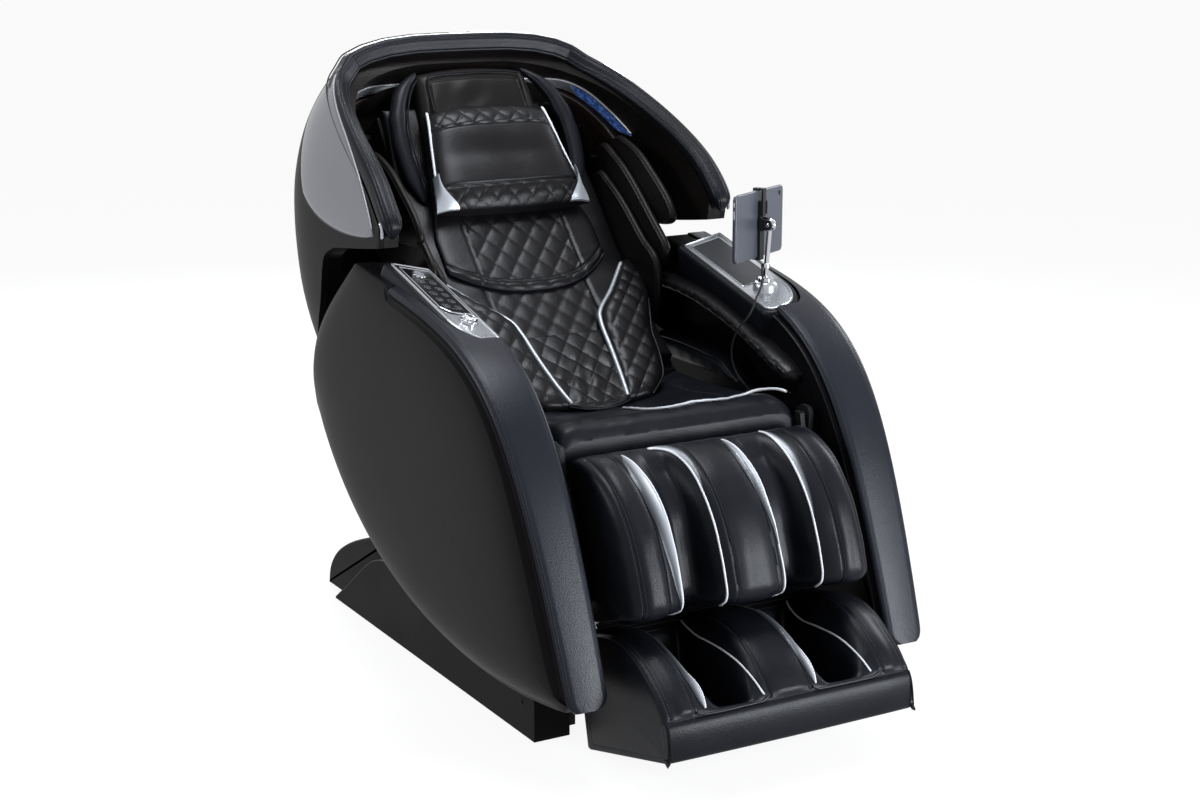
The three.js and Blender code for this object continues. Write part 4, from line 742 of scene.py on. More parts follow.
# ---------------------------------------------------------------- side pods
@dataclass
class Pods:
    """The two side pods: outer panel, front band and leather body."""

    shop: Workshop
    half: float = 418.0
    inner: float = 299.0
    skin: float = 362.0
    seam_top: float = 409.0
    seam_foot: float = 379.0
    band: float = 16.0
    crown: tuple[float, float] = (218.0, 812.0)
    toe: tuple[float, float] = (-598.0, 152.0)
    heel: tuple[float, float] = (475.0, 475.0)
    core: tuple[float, float] = (-60.0, 470.0)
    front_steps: int = 90
    band_from: int = 10

    def __post_init__(self) -> None:
        """Works out the outline of the side view."""
        front = bezier(self.crown, (-316, 739), (-386, 748), self.toe, self.front_steps)
        under = bezier(self.toe, (-188, 71), (261, 141), self.heel, 46)
        back = bezier(self.heel, (519, 616), (371, 703), self.crown, 30)
        self.sides = [resample(line, 200) for line in (front, under, back)]
        self.outline = np.vstack([front[:-1], under[:-1], back[:-1]])
        index = np.arange(len(self.outline))
        behind = (index >= self.band_from) & (index <= self.front_steps)
        self.inner_outline = inset(self.outline, np.where(behind, self.band + 0.4, 0.0))

    def seam(self, z: np.ndarray) -> np.ndarray:
        """Where the band's outer seam lies at a height."""
        rise = np.clip((np.asarray(z) - self.toe[1]) / (self.crown[1] - self.toe[1]), 0, 1)
        return self.seam_foot + (self.seam_top - self.seam_foot) * rise

    def _panel(self) -> tuple[np.ndarray, Faces]:
        """The outer panel, swelling towards its middle, with a turned edge."""
        rings = []
        edge = self.inner_outline
        for depth, back in ((0.0, None), (0.0, 9.0), (0.5, 5.5), (1.8, 2.8), (4.2, 1.2), (8.0, 0.2)):
            ring = inset(edge, depth)
            x = np.full(len(ring), self.skin) if back is None else self.seam(ring[:, 1]) - back
            rings.append(lift(x, ring))
        last = inset(edge, 8.0)
        core = np.array(self.core)
        for share in np.linspace(0.985, 0.03, 40):
            ring = core + (last - core) * share
            # distances to the three smooth sides, joined so that no ray to a corner shows
            gaps = [np.min(np.linalg.norm(ring[:, None] - side[None], axis=2), axis=1) for side in self.sides]
            reach = 1.0 / sum(1.0 / np.maximum(gap, 0.01) for gap in gaps)
            seam = self.seam(ring[:, 1])
            rings.append(lift(seam + (self.half - seam) * (1.0 - np.exp(-np.maximum(reach - 6.0, 0) / 30.0)), ring))
        return loft(rings)

    def _band(self) -> tuple[np.ndarray, Faces]:
        """The padded leather band with rolled edges and a rounded foot."""
        path = resample(self.outline[self.band_from:self.front_steps + 1], 150)
        way = tangents(path)
        out = np.stack([-way[:, 1], way[:, 0]], axis=1)
        out *= np.sign(out[10].dot(path[10] - np.array(self.core)))
        left = np.cumsum(np.concatenate([[0], np.linalg.norm(np.diff(path, axis=0), axis=1)]))
        left = left[-1] - left
        across = np.sin(np.linspace(-math.pi / 2, math.pi / 2, 33))
        rings = []
        for here, normal, rest in zip(path, out, left):
            low, high = self.inner, float(self.seam(here[1]))
            narrow = math.sqrt(max(1.0 - max(0.0, 1.0 - rest / 26.0) ** 2, 0.02))
            middle = (low + high) / 2 + (1 - narrow) * 4
            reach = (high - low) / 2 * (0.5 + 0.5 * narrow)
            rise = 2.2 * (1 - across ** 2) - 7.5 * np.abs(across) ** 14
            rise -= 1.1 * (bell(np.abs(across), 0.80, 0.045) + 0.6 * bell(np.abs(across), 0.9, 0.03))
            top = np.concatenate([rise, [-self.band, -self.band]])
            xs = np.concatenate([middle + across * reach, [middle + reach - 4, middle - reach + 4]])
            spot = here + normal * top[:, None]
            rings.append(np.column_stack([xs, spot]))
        return loft(rings)

    def _seam_lines(self) -> list[np.ndarray]:
        """Lines of stitching on the band, in the side's own x."""
        path = resample(self.outline[self.band_from:self.front_steps + 1], 170)[2:-6]
        way = tangents(path)
        out = np.stack([-way[:, 1], way[:, 0]], axis=1)
        out *= np.sign(out[10].dot(path[10] - np.array(self.core)))
        lines = []
        for reach in (0.84, 0.93, -0.86):
            low = self.inner
            high = self.seam(path[:, 1])
            x = (low + high) / 2 + reach * (high - low) / 2
            lines.append(lift(x, path + out * (2.2 * (1 - reach ** 2) - 7.5 * abs(reach) ** 14 - 0.1)))
        return lines

    def _body(self) -> bpy.types.Object:
        """The leather body behind the band, with the forearm channel."""
        outline = inset(self.inner_outline, 3.0)
        rings = [lift(self.inner + back, inset(outline, depth))
                 for depth, back in ((11, 0.0), (5.5, 0.5), (1.8, 2.2), (0.3, 5.0), (0.0, 9.0))]
        rings.append(lift(self.skin - 0.4, outline))
        obj = as_object("pod_body", *loft(rings))
        channel = along([(236, 704), (60, 698), (-104, 662), (-262, 600), (-286, 578), (-262, 553), (-200, 546),
                         (-132, 549), (-84, 576), (-38, 602), (86, 611), (236, 613), (262, 660)], 90, closed=True)
        carve(obj, slab("channel_tool", channel, self.inner - 30, self.inner + 40), "DIFFERENCE")
        return obj

    def build(self, arms: "Arms") -> None:
        """Builds both pods.

        Args:
            arms: the arm rests, whose leather caps are cut out of the pods.
        """
        for name, side in SIDES:
            # the front bands take the lighter, bluer leather, which paints their sheen
            for part, mesh, finish in (("side_shell", self._panel(), SHELL), ("side_band", self._band(), BAND_LEATHER_PAINTED_SHEEN)):
                obj = as_object(f"{part}_skin_{name}", *mirrored(mesh, side), 50.0)
                carve(obj, arms.tool(side), "DIFFERENCE")
                self.shop.dress(obj, finish, "seat", (f"{part}_{name}",))
            body = self._body()
            body.data.transform(Matrix.Diagonal((side, 1.0, 1.0, 1.0)))
            if side < 0:
                body.data.flip_normals()
            body.name = f"pod_body_{name}"
            # the pod's inner body takes the darker leather, which paints shade
            self.shop.dress(body, LEATHER_PAINTED_SHADE, "seat", (f"arm_body_{name}",))
            threads = merged(stitches(line) for line in self._seam_lines())
            self.shop.make(f"band_stitching_{name}", mirrored(threads, side), THREAD, "seat")
            welt = inset(self.inner_outline, 9.0)[self.band_from + 4:self.front_steps + 4]
            cord = tube(lift(self.inner - 0.4, resample(welt, 120)), 2.0)
            self.shop.make(f"inner_welt_{name}", mirrored(cord, side), LEATHER, "seat")


@dataclass
class Arms:
    """Arm rests: leather caps, silver trims, controls and the pads in the pods."""

    shop: Workshop
    centre: tuple[float, float, float] = (332.0, 0.0, 782.0)
    slope: float = math.radians(15)
    tilt: float = math.radians(14)
    front: float = -206.0
    rear: float = 126.0
    half: float = 43.0
    rim: float = 11.0
    depth: float = 62.0

    def __post_init__(self) -> None:
        """Sets up the tilted plane of the left arm."""
        cs, ss = math.cos(self.slope), math.sin(self.slope)
        ct, st = math.cos(-self.tilt), math.sin(-self.tilt)
        about_x = np.array([[1, 0, 0], [0, cs, -ss], [0, ss, cs]])
        about_y = np.array([[ct, 0, st], [0, 1, 0], [-st, 0, ct]])
        self.turn = about_x @ about_y

    def on_arm(self, points: np.ndarray) -> np.ndarray:
        """Points of the arm's own plane, as points of the chair's left side."""
        return np.asarray(points, float) @ self.turn.T + np.array(self.centre)

    def outline(self, grow: float) -> np.ndarray:
        """The trim's outline in the arm's plane, grown by a distance."""
        w, f, r = self.half + grow, self.front, self.rear + grow
        corner = 7.0
        pieces = [
            bezier((-w, r - corner), (-w, r), (-w, r), (-w + corner, r), 5)[:-1],
            bezier((w - corner, r), (w, r), (w, r), (w, r - corner), 5)[:-1],
            bezier((w, r - corner), (w, 40), (w, -40), (w, f + 88), 10)[:-1],
            bezier((w, f + 88), (w, f + 40), (w - 18, f + 12 - grow), (w - 38, f + 3 - grow), 12)[:-1],
            bezier((w - 38, f + 3 - grow), (w - 50, f - grow), (-w + 4, f - grow), (-w, f + 22 - grow), 12)[:-1],
            bezier((-w, f + 22 - grow), (-w, -40), (-w, 40), (-w, r - corner), 14)[:-1],
        ]
        return resample(np.vstack(pieces), 96, closed=True)

    def _stack(self, steps: Sequence[tuple[float, float]], grow: float) -> tuple[np.ndarray, Faces]:
        """A body of the trim's outline through pairs of height and inset."""
        outline = self.outline(grow)
        rings = [self.on_arm(np.column_stack([inset(outline, d), np.full(len(outline), h)])) for h, d in steps]
        return loft(rings)

    def tool(self, side: float) -> bpy.types.Object:
        """The room of the leather cap, as a tool."""
        body = self._stack(((-self.depth - 0.4, 0.0), (140.0, 0.0)), self.rim + 0.4)
        return as_object("cap_tool", *mirrored(body, side))

    def _cap(self) -> tuple[np.ndarray, Faces]:
        """The padded leather under a trim."""
        return self._stack(((-self.depth, 2.0), (-self.depth + 3, 0.0), (-18, 0.0), (-11, 0.5), (-7, 1.8),
                            (-4.4, 4.2), (-3.2, 7.4), (-3.0, 12.0)), self.rim)

    def _trim(self) -> tuple[np.ndarray, Faces]:
        """The silver trim with a raised lip round its edge."""
        return self._stack(((-14, 0.0), (-2.4, 0.0), (-0.6, 0.3), (0.5, 1.1), (0.9, 2.2), (0.7, 3.3),
                            (0.0, 4.6), (0.0, 9.0)), 0.0)

    def _ring(self, radius: float, wire: float, place: float, height: float) -> tuple[np.ndarray, Faces]:
        """A thin ring in the arm's plane."""
        turn = np.linspace(0, 2 * math.pi, 40, endpoint=False)
        line = np.column_stack([radius * np.cos(turn), place + radius * np.sin(turn), np.full(40, height)])
        return tube(self.on_arm(line), wire, 8, closed=True)

    def _knob(self) -> tuple[np.ndarray, Faces]:
        """The lobed knob on its round skirt."""
        turn = np.linspace(0, 2 * math.pi, 84, endpoint=False)
        rings = []
        for height, radius, lobe in ((0.4, 18, 0), (2.6, 18, 0), (4.0, 17, 0), (4.4, 15.2, 0.4), (5.0, 14.4, 1.2),
                                     (6.0, 14.3, 1.6), (10.5, 14.0, 1.6), (12.8, 13.4, 1.5), (14.2, 12.2, 1.2),
                                     (14.9, 10.5, 0.8), (15.0, 8.0, 0.3), (14.4, 6.5, 0.0), (14.2, 3.0, 0.0)):
            r = radius + lobe * np.cos(7 * turn)
            rings.append(self.on_arm(np.column_stack([r * np.cos(turn), -134 + r * np.sin(turn),
                                                      np.full(84, height)])))
        return loft(rings)

    def _key_marks(self) -> tuple[np.ndarray, Faces]:
        """Plain printed marks of the touch keys: rings, bars and ticks."""
        parts = []
        for row in range(5):
            for column, x in enumerate((-13.0, 13.0)):
                y = 48.0 - row * 28.0
                turn = np.linspace(0, 2 * math.pi, 24, endpoint=False)
                wide = 7.4 if (row + column) % 2 else 6.2
                box = np.column_stack([x + wide * np.sign(np.cos(turn)) * np.abs(np.cos(turn)) ** 0.5,
                                       y + 5.4 * np.sign(np.sin(turn)) * np.abs(np.sin(turn)) ** 0.5,
                                       np.full(24, 0.72)])
                parts.append(tube(self.on_arm(box), 0.32, 4, closed=True))
                tilt = math.radians(35 * (row + 2 * column))
                arm = np.array([[math.cos(tilt), math.sin(tilt)]]) * 2.6
                bar = np.vstack([[x, y] - arm, [x, y], [x, y] + arm])
                parts.append(tube(self.on_arm(np.column_stack([bar, np.full(3, 0.72)])), 0.4, 4))
        for y in (62.0, -74.0):
            bar = np.array([[-22.0, y, 0.7], [0.0, y, 0.7], [22.0, y, 0.7]])
            parts.append(tube(self.on_arm(bar), 0.22, 4))
        return merged(parts)

    def _boss(self) -> tuple[np.ndarray, Faces]:
        """The flared boss that carries the tablet's stem."""
        turn = np.linspace(0, 2 * math.pi, 56, endpoint=False)
        rings = []
        for z, radius in ((738, 25.0), (752, 25.0), (755, 24.6), (758, 23.4), (761, 21.6), (762.6, 19.6), (763, 17.0)):
            rings.append(np.column_stack([332 + radius * np.cos(turn), -118 + radius * np.sin(turn),
                                          np.full(56, float(z))]))
        return loft(rings)

    @staticmethod
    def strip(top: Sequence[Sequence[float]], bottom: Sequence[Sequence[float]], back: float, thickness: float,
              quilt: float, seed: int) -> tuple[np.ndarray, Faces]:
        """A stuffed pad on a pod's inner wall.

        Args:
            top: its upper edge in the side view, from the rear.
            bottom: its lower edge, the same way.
            back: the x of the wall that it lies on.
            thickness: how far it stands out.
            quilt: the depth of its quilting.
            seed: which creases it gets.

        Returns:
            Its points and faces.
        """
        rows, columns = 150, 44
        upper, lower = along(top, rows), along(bottom, rows)
        v = (1 - np.cos(np.linspace(0, math.pi, columns))) / 2
        u = np.linspace(0, 1, rows)
        side = lower[:, None, :] + (upper - lower)[:, None, :] * v[None, :, None]
        round_off = (1 - np.abs(2 * v - 1) ** 3.0)[None, :] ** 0.5 * (1 - np.abs(2 * u - 1) ** 16)[:, None] ** 0.5
        rise = thickness * (0.16 + 0.84 * round_off)
        if quilt:
            rise = rise - quilt * (1 - quilting(side[..., 0], side[..., 1], 34, 34)) * round_off
        rise = rise + 0.8 * noise_field(side, 60.0, seed) * round_off
        front = np.concatenate([(back - rise)[..., None], side], axis=-1)
        flat = np.concatenate([np.full(side.shape[:2] + (1,), back), side], axis=-1)
        return shell(front, flat)

    def _pads(self, name: str, side: float) -> None:
        """The quilted strip above the forearm and the air bag below it."""
        strip = self.strip([(212, 738), (90, 733), (-20, 716), (-152, 676), (-272, 632), (-300, 612)],
                           [(212, 710), (66, 702), (-104, 665), (-200, 628), (-270, 600), (-298, 600)],
                           298.6, 38.0, 2.6, 5)
        self.shop.make(f"arm_quilt_{name}", mirrored(strip, side), QUILT, "seat", (f"arm_pad_{name}",))
        low = [(212, 609), (86, 608), (-38, 599), (-84, 580), (-118, 566)]
        bag = self.strip(low, [(212, 561), (60, 560), (-50, 559), (-90, 560), (-120, 562)], 298.6, 33.0, 0.0, 9)
        self.shop.make(f"arm_cell_{name}", mirrored(bag, side), LEATHER, "seat", (f"arm_airbag_{name}",))
        line = lift(270.0, along([(212, 606), (86, 606), (-38, 597), (-84, 578), (-116, 563)], 60))
        self.shop.make(f"arm_piping_{name}", mirrored(tube(line, 2.2), side), LEATHER, "seat")

    def build(self) -> None:
        """Builds both arm rests and their controls."""
        for name, side in SIDES:
            self.shop.make(f"arm_cap_{name}", mirrored(self._cap(), side), LEATHER, "seat", angle=60)
            trim = self._trim() if side < 0 else merged([self._trim(), self._boss()])
            self.shop.make(f"arm_plate_{name}", mirrored(trim, side), SILVER, "seat", (f"arm_trim_{name}",), 30)
            seam = self.on_arm(np.column_stack([self.outline(6.0), np.full(96, -4.0)]))
            self.shop.make(f"cap_stitching_{name}", mirrored(stitches(np.vstack([seam, seam[:1]])), side), THREAD,
                           "seat")
            self._pads(name, side)
        panel = resample(np.array([(-39, 118), (39, 118), (39, -84), (24, -103), (-39, -103)], float), 90, True)
        layers = [self.on_arm(np.column_stack([inset(panel, d), np.full(len(panel), h)]))
                  for h, d in ((-1.0, 0.0), (0.25, 0.0), (0.45, 0.6), (0.45, 3.0))]
        self.shop.make("control_panel", mirrored(loft(layers), -1), GLASS_BLACK, "seat", angle=30)
        self.shop.repaint(PAD_RUBBER, "charging_pad")
        self.shop.repaint(GLASS_BLACK, "keypad_glass")
        self.shop.repaint(SILVER, "power_button")
        mark = self._ring(8.0, 0.6, 84.0, 2.1)
        tick = tube(self.on_arm(np.array([[0, 85, 2.1], [0, 88, 2.1], [0, 90, 2.1]], float)), 0.5, 6)
        self.shop.make("button_mark", mirrored(merged([mark, tick]), -1), KEY_MARK, "button")
        self.shop.make("button_bezel", mirrored(self._ring(13.4, 1.1, 84.0, 0.8), -1), CHROME, "seat")
        self.shop.make("key_marks", mirrored(self._key_marks(), -1), KEY_MARK, "seat")
        self.shop.make("knob_grip", mirrored(self._knob(), -1), CHROME, "knob", ("control_knob",), 30)
        bezel = np.array([(-33, 108), (33, 108), (33, -76), (18, -94), (-33, -94)], float)
        line = np.vstack([resample(np.vstack([bezel, bezel[:1]]), 120)])
        for name, side in SIDES:
            frame_line = tube(self.on_arm(np.column_stack([line, np.full(len(line), 0.5)])), 1.3, 6)
            self.shop.make(f"bezel_{name}", mirrored(frame_line, side), SILVER, "seat")


# ---------------------------------------------------------------- hood
@dataclass
class Hood:
    """The hood over the head: shell, inlays, rim, liner and what is inside it."""

    shop: Workshop
    wall: float = 12.0
    padding: float = 30.0
    rim_width: float = 32.0
    middle: float = 285.0
    squareness: float = 5.0
    levels: tuple[float, ...] = (521, 551, 580, 656, 732, 846, 950, 1055, 1140, 1188, 1216, 1224)
    halves: tuple[float, ...] = (371, 372, 377, 386, 391, 395, 393, 375, 332, 275, 195, 150)
    backs: tuple[float, ...] = (577, 577, 607, 666, 702, 717, 703, 664, 628, 607, 593, 586)
    rim_line: tuple[tuple[float, float], ...] = ((93, 872), (97, 905), (147, 962), (209, 1008), (308, 1063),
                                                 (416, 1117), (500, 1158), (541, 1192), (552, 1222))

    def __post_init__(self) -> None:
        """Makes smooth readings of the hood's width and depth."""
        knots = along([(z, h, b) for z, h, b in zip(self.levels, self.halves, self.backs)], 400)
        self._z, self._half, self._back = knots[:, 0], knots[:, 1], knots[:, 2]

    def half(self, z: np.ndarray) -> np.ndarray:
        """Half the hood's width at a height."""
        return np.interp(z, self._z, self._half)

    def depth(self, z: np.ndarray) -> np.ndarray:
        """From the hood's middle to its back at a height."""
        return np.interp(z, self._z, self._back) - self.middle

    def form(self, wall: float, name: str, steps: int = 96, count: int = 46) -> bpy.types.Object:
        """The hood's closed form, smaller by a wall.

        Args:
            wall: how far it lies inside the outer face.
            name: the object's name.
            steps: points round each level.
            count: how many levels.

        Returns:
            A closed object.
        """
        top = self.levels[-1] - wall
        turn = np.linspace(0, 2 * math.pi, steps, endpoint=False)
        c, s = np.cos(turn), np.sin(turn)
        rings = []
        for share in np.sin(np.linspace(0, 1, count) * math.pi / 2) ** 0.8:
            z = self.levels[0] + (top - self.levels[0]) * share
            reading = min(z + wall * float(smooth(z, 950, top)), self.levels[-1])
            power = 2 / self.squareness
            half = float(self.half(reading)) - wall
            depth = float(self.depth(reading)) - wall
            rings.append(np.column_stack([half * np.sign(c) * np.abs(c) ** power,
                                          self.middle + depth * np.sign(s) * np.abs(s) ** power,
                                          np.full(steps, z)]))
        return as_object(name, *loft(rings))

    def skin_x(self, side_view: np.ndarray, wall: float = 0.0) -> np.ndarray:
        """The x of the left wall at points of the side view."""
        y, z = side_view[:, 0], side_view[:, 1]
        top = self.levels[-1]
        z = np.minimum(z + wall * smooth(z, 950, top - wall), top)
        share = np.clip(np.abs((y - self.middle) / (self.depth(z) - wall)), 0, 0.999)
        return (self.half(z) - wall) * (1 - share ** self.squareness) ** (1 / self.squareness)

    def side_cut(self, back: float) -> bpy.types.Object:
        """Everything behind the rim line, as a tool."""
        rim = along(self.rim_line, 60)
        way = tangents(rim)
        moved = rim + np.column_stack([way[:, 1], -way[:, 0]]) * back
        foot = along([(640, 566), (560, 570), (520, 586), (452, 684), (420, 770), (400, 802), (350, 822),
                      (309, 828), (200, 842), (130, 852)], 50)
        foot = foot[foot[:, 0] > moved[0, 0] + 4]
        outline = np.vstack([moved, [(700, 1262), (780, 1100), (780, 566)], foot])
        return slab("side_tool", outline, -500.0, 500.0)

    def _shell(self) -> None:
        """The moulded outer shell."""
        shell_piece = self.form(0.0, "hood_shell_skin")
        carve(shell_piece, self.side_cut(self.rim_width + 0.4), "INTERSECT")
        carve(shell_piece, self.form(self.wall, "room"), "DIFFERENCE")
        self.shop.dress(shell_piece, SHELL, "back", ("hood_shell",))

    def _liner(self) -> None:
        """The padded lining."""
        liner = self.form(self.wall + 0.4, "hood_lining")
        carve(liner, self.side_cut(self.rim_width + 0.4), "INTERSECT")
        carve(liner, self.form(self.wall + self.padding, "room"), "DIFFERENCE")
        self.shop.dress(liner, BROWN_LEATHER, "back", ("hood_liner",))

    def _inlay(self) -> Grid:
        """Points of the inlay on the left side, from its front edge to its rear one."""
        steps = 60
        front = resample(np.vstack([bezier((150, 872), (160, 930), (236, 1006), (322, 1056), 30)[:-1],
                                    bezier((322, 1056), (404, 1100), (466, 1130), (512, 1156), 30)]), steps)
        rear = resample(np.vstack([bezier((150, 872), (300, 846), (452, 866), (514, 914), 30)[:-1],
                                   bezier((514, 914), (560, 990), (560, 1084), (512, 1156), 30)]), steps)
        v = np.linspace(0, 1, 44)
        return front[:, None, :] + (rear - front)[:, None, :] * v[None, :, None]

    def _inlays(self) -> None:
        """The glossy inlays with their bright front edges."""
        side_view = self._inlay()
        rows, columns = side_view.shape[:2]
        flat = side_view.reshape(-1, 2)
        x = self.skin_x(flat).reshape(rows, columns)
        u = np.linspace(-1, 1, rows)[:, None]
        v = np.linspace(-1, 1, columns)[None, :]
        rise = 1.6 * (1 - np.abs(u) ** 24) ** 0.5 * (1 - np.abs(v) ** 18) ** 0.5
        top = np.concatenate([(x + rise)[..., None], side_view], axis=-1)
        under = np.concatenate([(x - 2.6)[..., None], side_view], axis=-1)
        edge = resample(np.vstack([top[2:-1, 0]]), 90) + np.array([0.6, 0, 0])
        rear = resample(np.vstack([top[2:-2, -1]]), 90) + np.array([0.2, 0, 0])
        for name, side in SIDES:
            self.shop.make(f"inlay_{name}", mirrored(shell(top, under), side), GREY_GLOSS, "back",
                           (f"hood_inlay_{name}",), 50)
            self.shop.make(f"inlay_edge_{name}", mirrored(tube(edge, 1.8), side), SILVER, "back")
            self.shop.make(f"inlay_foot_{name}", mirrored(tube(rear, 1.1), side), GLASS_BLACK, "back")

    def _rim_path(self) -> tuple[np.ndarray, np.ndarray, np.ndarray]:
        """The rim's outer line over the head, with the skin's normal and the way back along it."""
        line = along(self.rim_line, 60)
        x = self.skin_x(line)
        side = np.column_stack([x, line])[line[:, 1] < 1176]
        crown = np.array([(262, 540, 1192), (226, 545, 1206), (176, 549, 1217), (110, 551, 1223), (50, 552, 1224),
                          (0, 552, 1224)], float)
        left = resample(np.vstack([side, crown]), 150)
        whole = np.vstack([left, left[-2::-1] * np.array([-1, 1, 1])])
        slope = -np.gradient(self.half(self._z), self._z)
        lean = np.clip(np.interp(whole[:, 2], self._z, slope), -0.4, 40)
        normal = np.column_stack([np.sign(whole[:, 0]), np.zeros(len(whole)), lean])
        normal /= np.linalg.norm(normal, axis=1, keepdims=True)
        kernel = np.hanning(15)
        kernel /= kernel.sum()
        padded = np.pad(normal, ((7, 7), (0, 0)), mode="edge")
        normal = np.stack([np.convolve(padded[:, k], kernel, "valid") for k in range(3)], axis=1)
        way = tangents(whole)
        back = np.cross(way, normal)
        back *= np.sign(back[:, 1:2])
        back /= np.linalg.norm(back, axis=1, keepdims=True)
        normal = np.cross(back, way)
        normal *= np.sign(normal[:, 2:3] + np.abs(whole[:, :1]) / 200 * np.sign(whole[:, :1]) * np.sign(normal[:, :1]))
        normal /= np.linalg.norm(normal, axis=1, keepdims=True)
        return whole, normal, back

    def _rim_at(self, path: np.ndarray, normal: np.ndarray, back: np.ndarray, inward: float,
                behind: float) -> np.ndarray:
        """A line on the rim, some way inwards and some way behind its front."""
        return path - normal * inward + back * behind

    def _rim(self) -> None:
        """The leather roll round the opening, with its rows of stitching."""
        path, normal, back = self._rim_path()
        deep = self.wall + self.padding
        turn = np.linspace(0, 2 * math.pi, 72, endpoint=False)
        b = self.rim_width / 2 * (1 - np.sign(np.cos(turn)) * np.abs(np.cos(turn)) ** (2 / 3.4))
        n = deep / 2 * (1 - np.sign(np.sin(turn)) * np.abs(np.sin(turn)) ** (2 / 3.4))
        front = (np.cos(turn) > 0.1).astype(float)
        for seam in (0.24, 0.44, 0.64, 0.82):
            b = b + 1.5 * bell(n / deep, seam, 0.028) * front
        length = len(path)
        rings = []
        for i in range(length):
            ends = min(i, length - 1 - i) / 9.0
            small = math.sqrt(max(1 - max(0.0, 1 - ends) ** 2, 0.05))
            bb = self.rim_width / 2 + (b - self.rim_width / 2) * small
            nn = deep / 2 + (n - deep / 2) * small
            rings.append(path[i] - normal[i] * nn[:, None] + back[i] * bb[:, None])
        self.shop.make("hood_rim_roll", loft(rings), LEATHER, "back", ("hood_rim",), 60)
        rows = []
        for share in (0.24, 0.44, 0.64, 0.82):
            a = 2 * share - 1
            nose = self.rim_width / 2 * (1 - (1 - abs(a) ** 3.4) ** (1 / 3.4))
            line = self._rim_at(path, normal, back, share * deep, nose + 0.6)[8:-8]
            rows.append(stitches(line, 6.0, 4.2, 0.4))
        self.shop.make("rim_stitching", merged(rows), THREAD, "back")
        for name, side in SIDES:
            pick = slice(0, 9) if side > 0 else slice(length - 9, length)
            line = self._rim_at(path[pick], normal[pick], back[pick], 1.0, self.rim_width / 2 + 4)
            self.shop.make(f"rim_ferrule_{name}", tube(resample(line, 16), 3.2), SILVER, "back")
            gutter = self._rim_at(path, normal, back, 0.6, self.rim_width + 0.4)
            half = gutter[:len(gutter) // 2] if side > 0 else gutter[len(gutter) // 2:]
            self.shop.make(f"rim_gutter_{name}", tube(half[3:-3], 1.5), GLASS_BLACK, "back")

    def _speaker(self, side: float, name: str) -> None:
        """A glossy pod beside the head, with a pale rim at its foot."""
        outline = along([(580, 1092), (559, 1078), (529, 1043), (489, 1006), (466, 982), (488, 961), (535, 943),
                         (562, 940), (578, 976), (591, 1032)], 110, closed=True)
        centre = outline.mean(axis=0)
        rings = []
        for depth, out in ((0.0, 0.0), (0.0, 12.0), (1.0, 16.0), (3.0, 18.5), (6.0, 20.0)):
            ring = inset(outline, depth)
            rings.append(lift(self.skin_x(ring, self.wall + self.padding + 0.8) - out, ring))
        for share in np.linspace(0.84, 0.06, 12):
            ring = centre + (inset(outline, 6.0) - centre) * share
            x = self.skin_x(ring, self.wall + self.padding + 0.8) - 20.0 - 6.0 * (1 - share ** 2)
            rings.append(lift(x, ring))
        self.shop.make(f"speaker_{name}", mirrored(loft(rings), side), UMBER_GLOSS, "back",
                       (f"speaker_pod_{name}",), 50)
        ring = along([(468, 985), (488, 963), (535, 945), (561, 942)], 60)
        line = lift(self.skin_x(ring, self.wall + self.padding + 0.8) - 15.0, ring)
        self.shop.make(f"speaker_rim_{name}", mirrored(tube(line, 6.0, 14), side), TABLET, "back")
        grille = []
        for turn in np.linspace(-0.6, 0.6, 7):
            spot = centre + np.array([-22.0 + 8 * turn, -22.0 + 26 * turn])
            near = float(self.skin_x(spot[None], self.wall + self.padding + 0.8)[0]) - 25.0
            grille.append(tube(np.array([[near, *(spot - 3)], [near, *spot], [near, *(spot + 3)]]), 0.8, 6))
        self.shop.make(f"speaker_slots_{name}", mirrored(merged(grille), side), PLASTIC, "back")

    def _light(self, side: float, name: str) -> None:
        """The lit mosaic strip under its silver arc."""
        front = along([(578, 1120), (550, 1114), (523, 1093), (492, 1057), (456, 1028), (422, 1003)], 70)
        rear = along([(578, 1104), (560, 1090), (540, 1060), (512, 1030), (478, 1006), (424, 999)], 70)
        v = np.linspace(0, 1, 12)
        side_view = front[:, None, :] + (rear - front)[:, None, :] * v[None, :, None]
        x = self.skin_x(side_view.reshape(-1, 2), self.wall + self.padding + 0.8).reshape(70, 12)
        u = np.linspace(-1, 1, 70)[:, None]
        rise = 3.4 * (1 - np.abs(2 * v - 1) ** 6)[None, :] ** 0.5 * (1 - np.abs(u) ** 20) ** 0.5
        top = np.concatenate([(x - 0.6 - rise)[..., None], side_view], axis=-1)
        under = np.concatenate([x[..., None], side_view], axis=-1)
        self.shop.make(f"light_{name}", mirrored(shell(top, under), side), BLUE, "back", (f"light_strip_{name}",))
        cap = top[:15] - np.array([3.0, 0, 0])
        self.shop.make(f"light_cap_{name}", mirrored(shell(cap, under[:15]), side), SILVER, "back")
        arc = merged([tube(top[:, 0] - np.array([1.0, 0, 0]), 3.0, 10), tube(top[6:, -1], 1.6)])
        self.shop.make(f"light_frame_{name}", mirrored(arc, side), SILVER, "back")

    def _leaf(self, low: float, high: float,
              knots: Sequence[tuple[float, float]]) -> tuple[np.ndarray, np.ndarray, tuple[np.ndarray, Faces]]:
        """One stuffed leaf of a shoulder pad, with the two lines that its piping follows."""
        outline = along(knots, 130, closed=True)
        rings = []
        span = (high - low) / 2
        for t in np.sin(np.linspace(-math.pi / 2, math.pi / 2, 21)):
            depth = 8.0 * (1 - (1 - abs(t) ** 2.4) ** (1 / 2.4)) - 1.5 * (1 - t * t)
            rings.append(lift((low + high) / 2 + span * t, inset(outline, depth)))
        core = outline.mean(axis=0)
        for share in (0.86, 0.66, 0.42, 0.18):
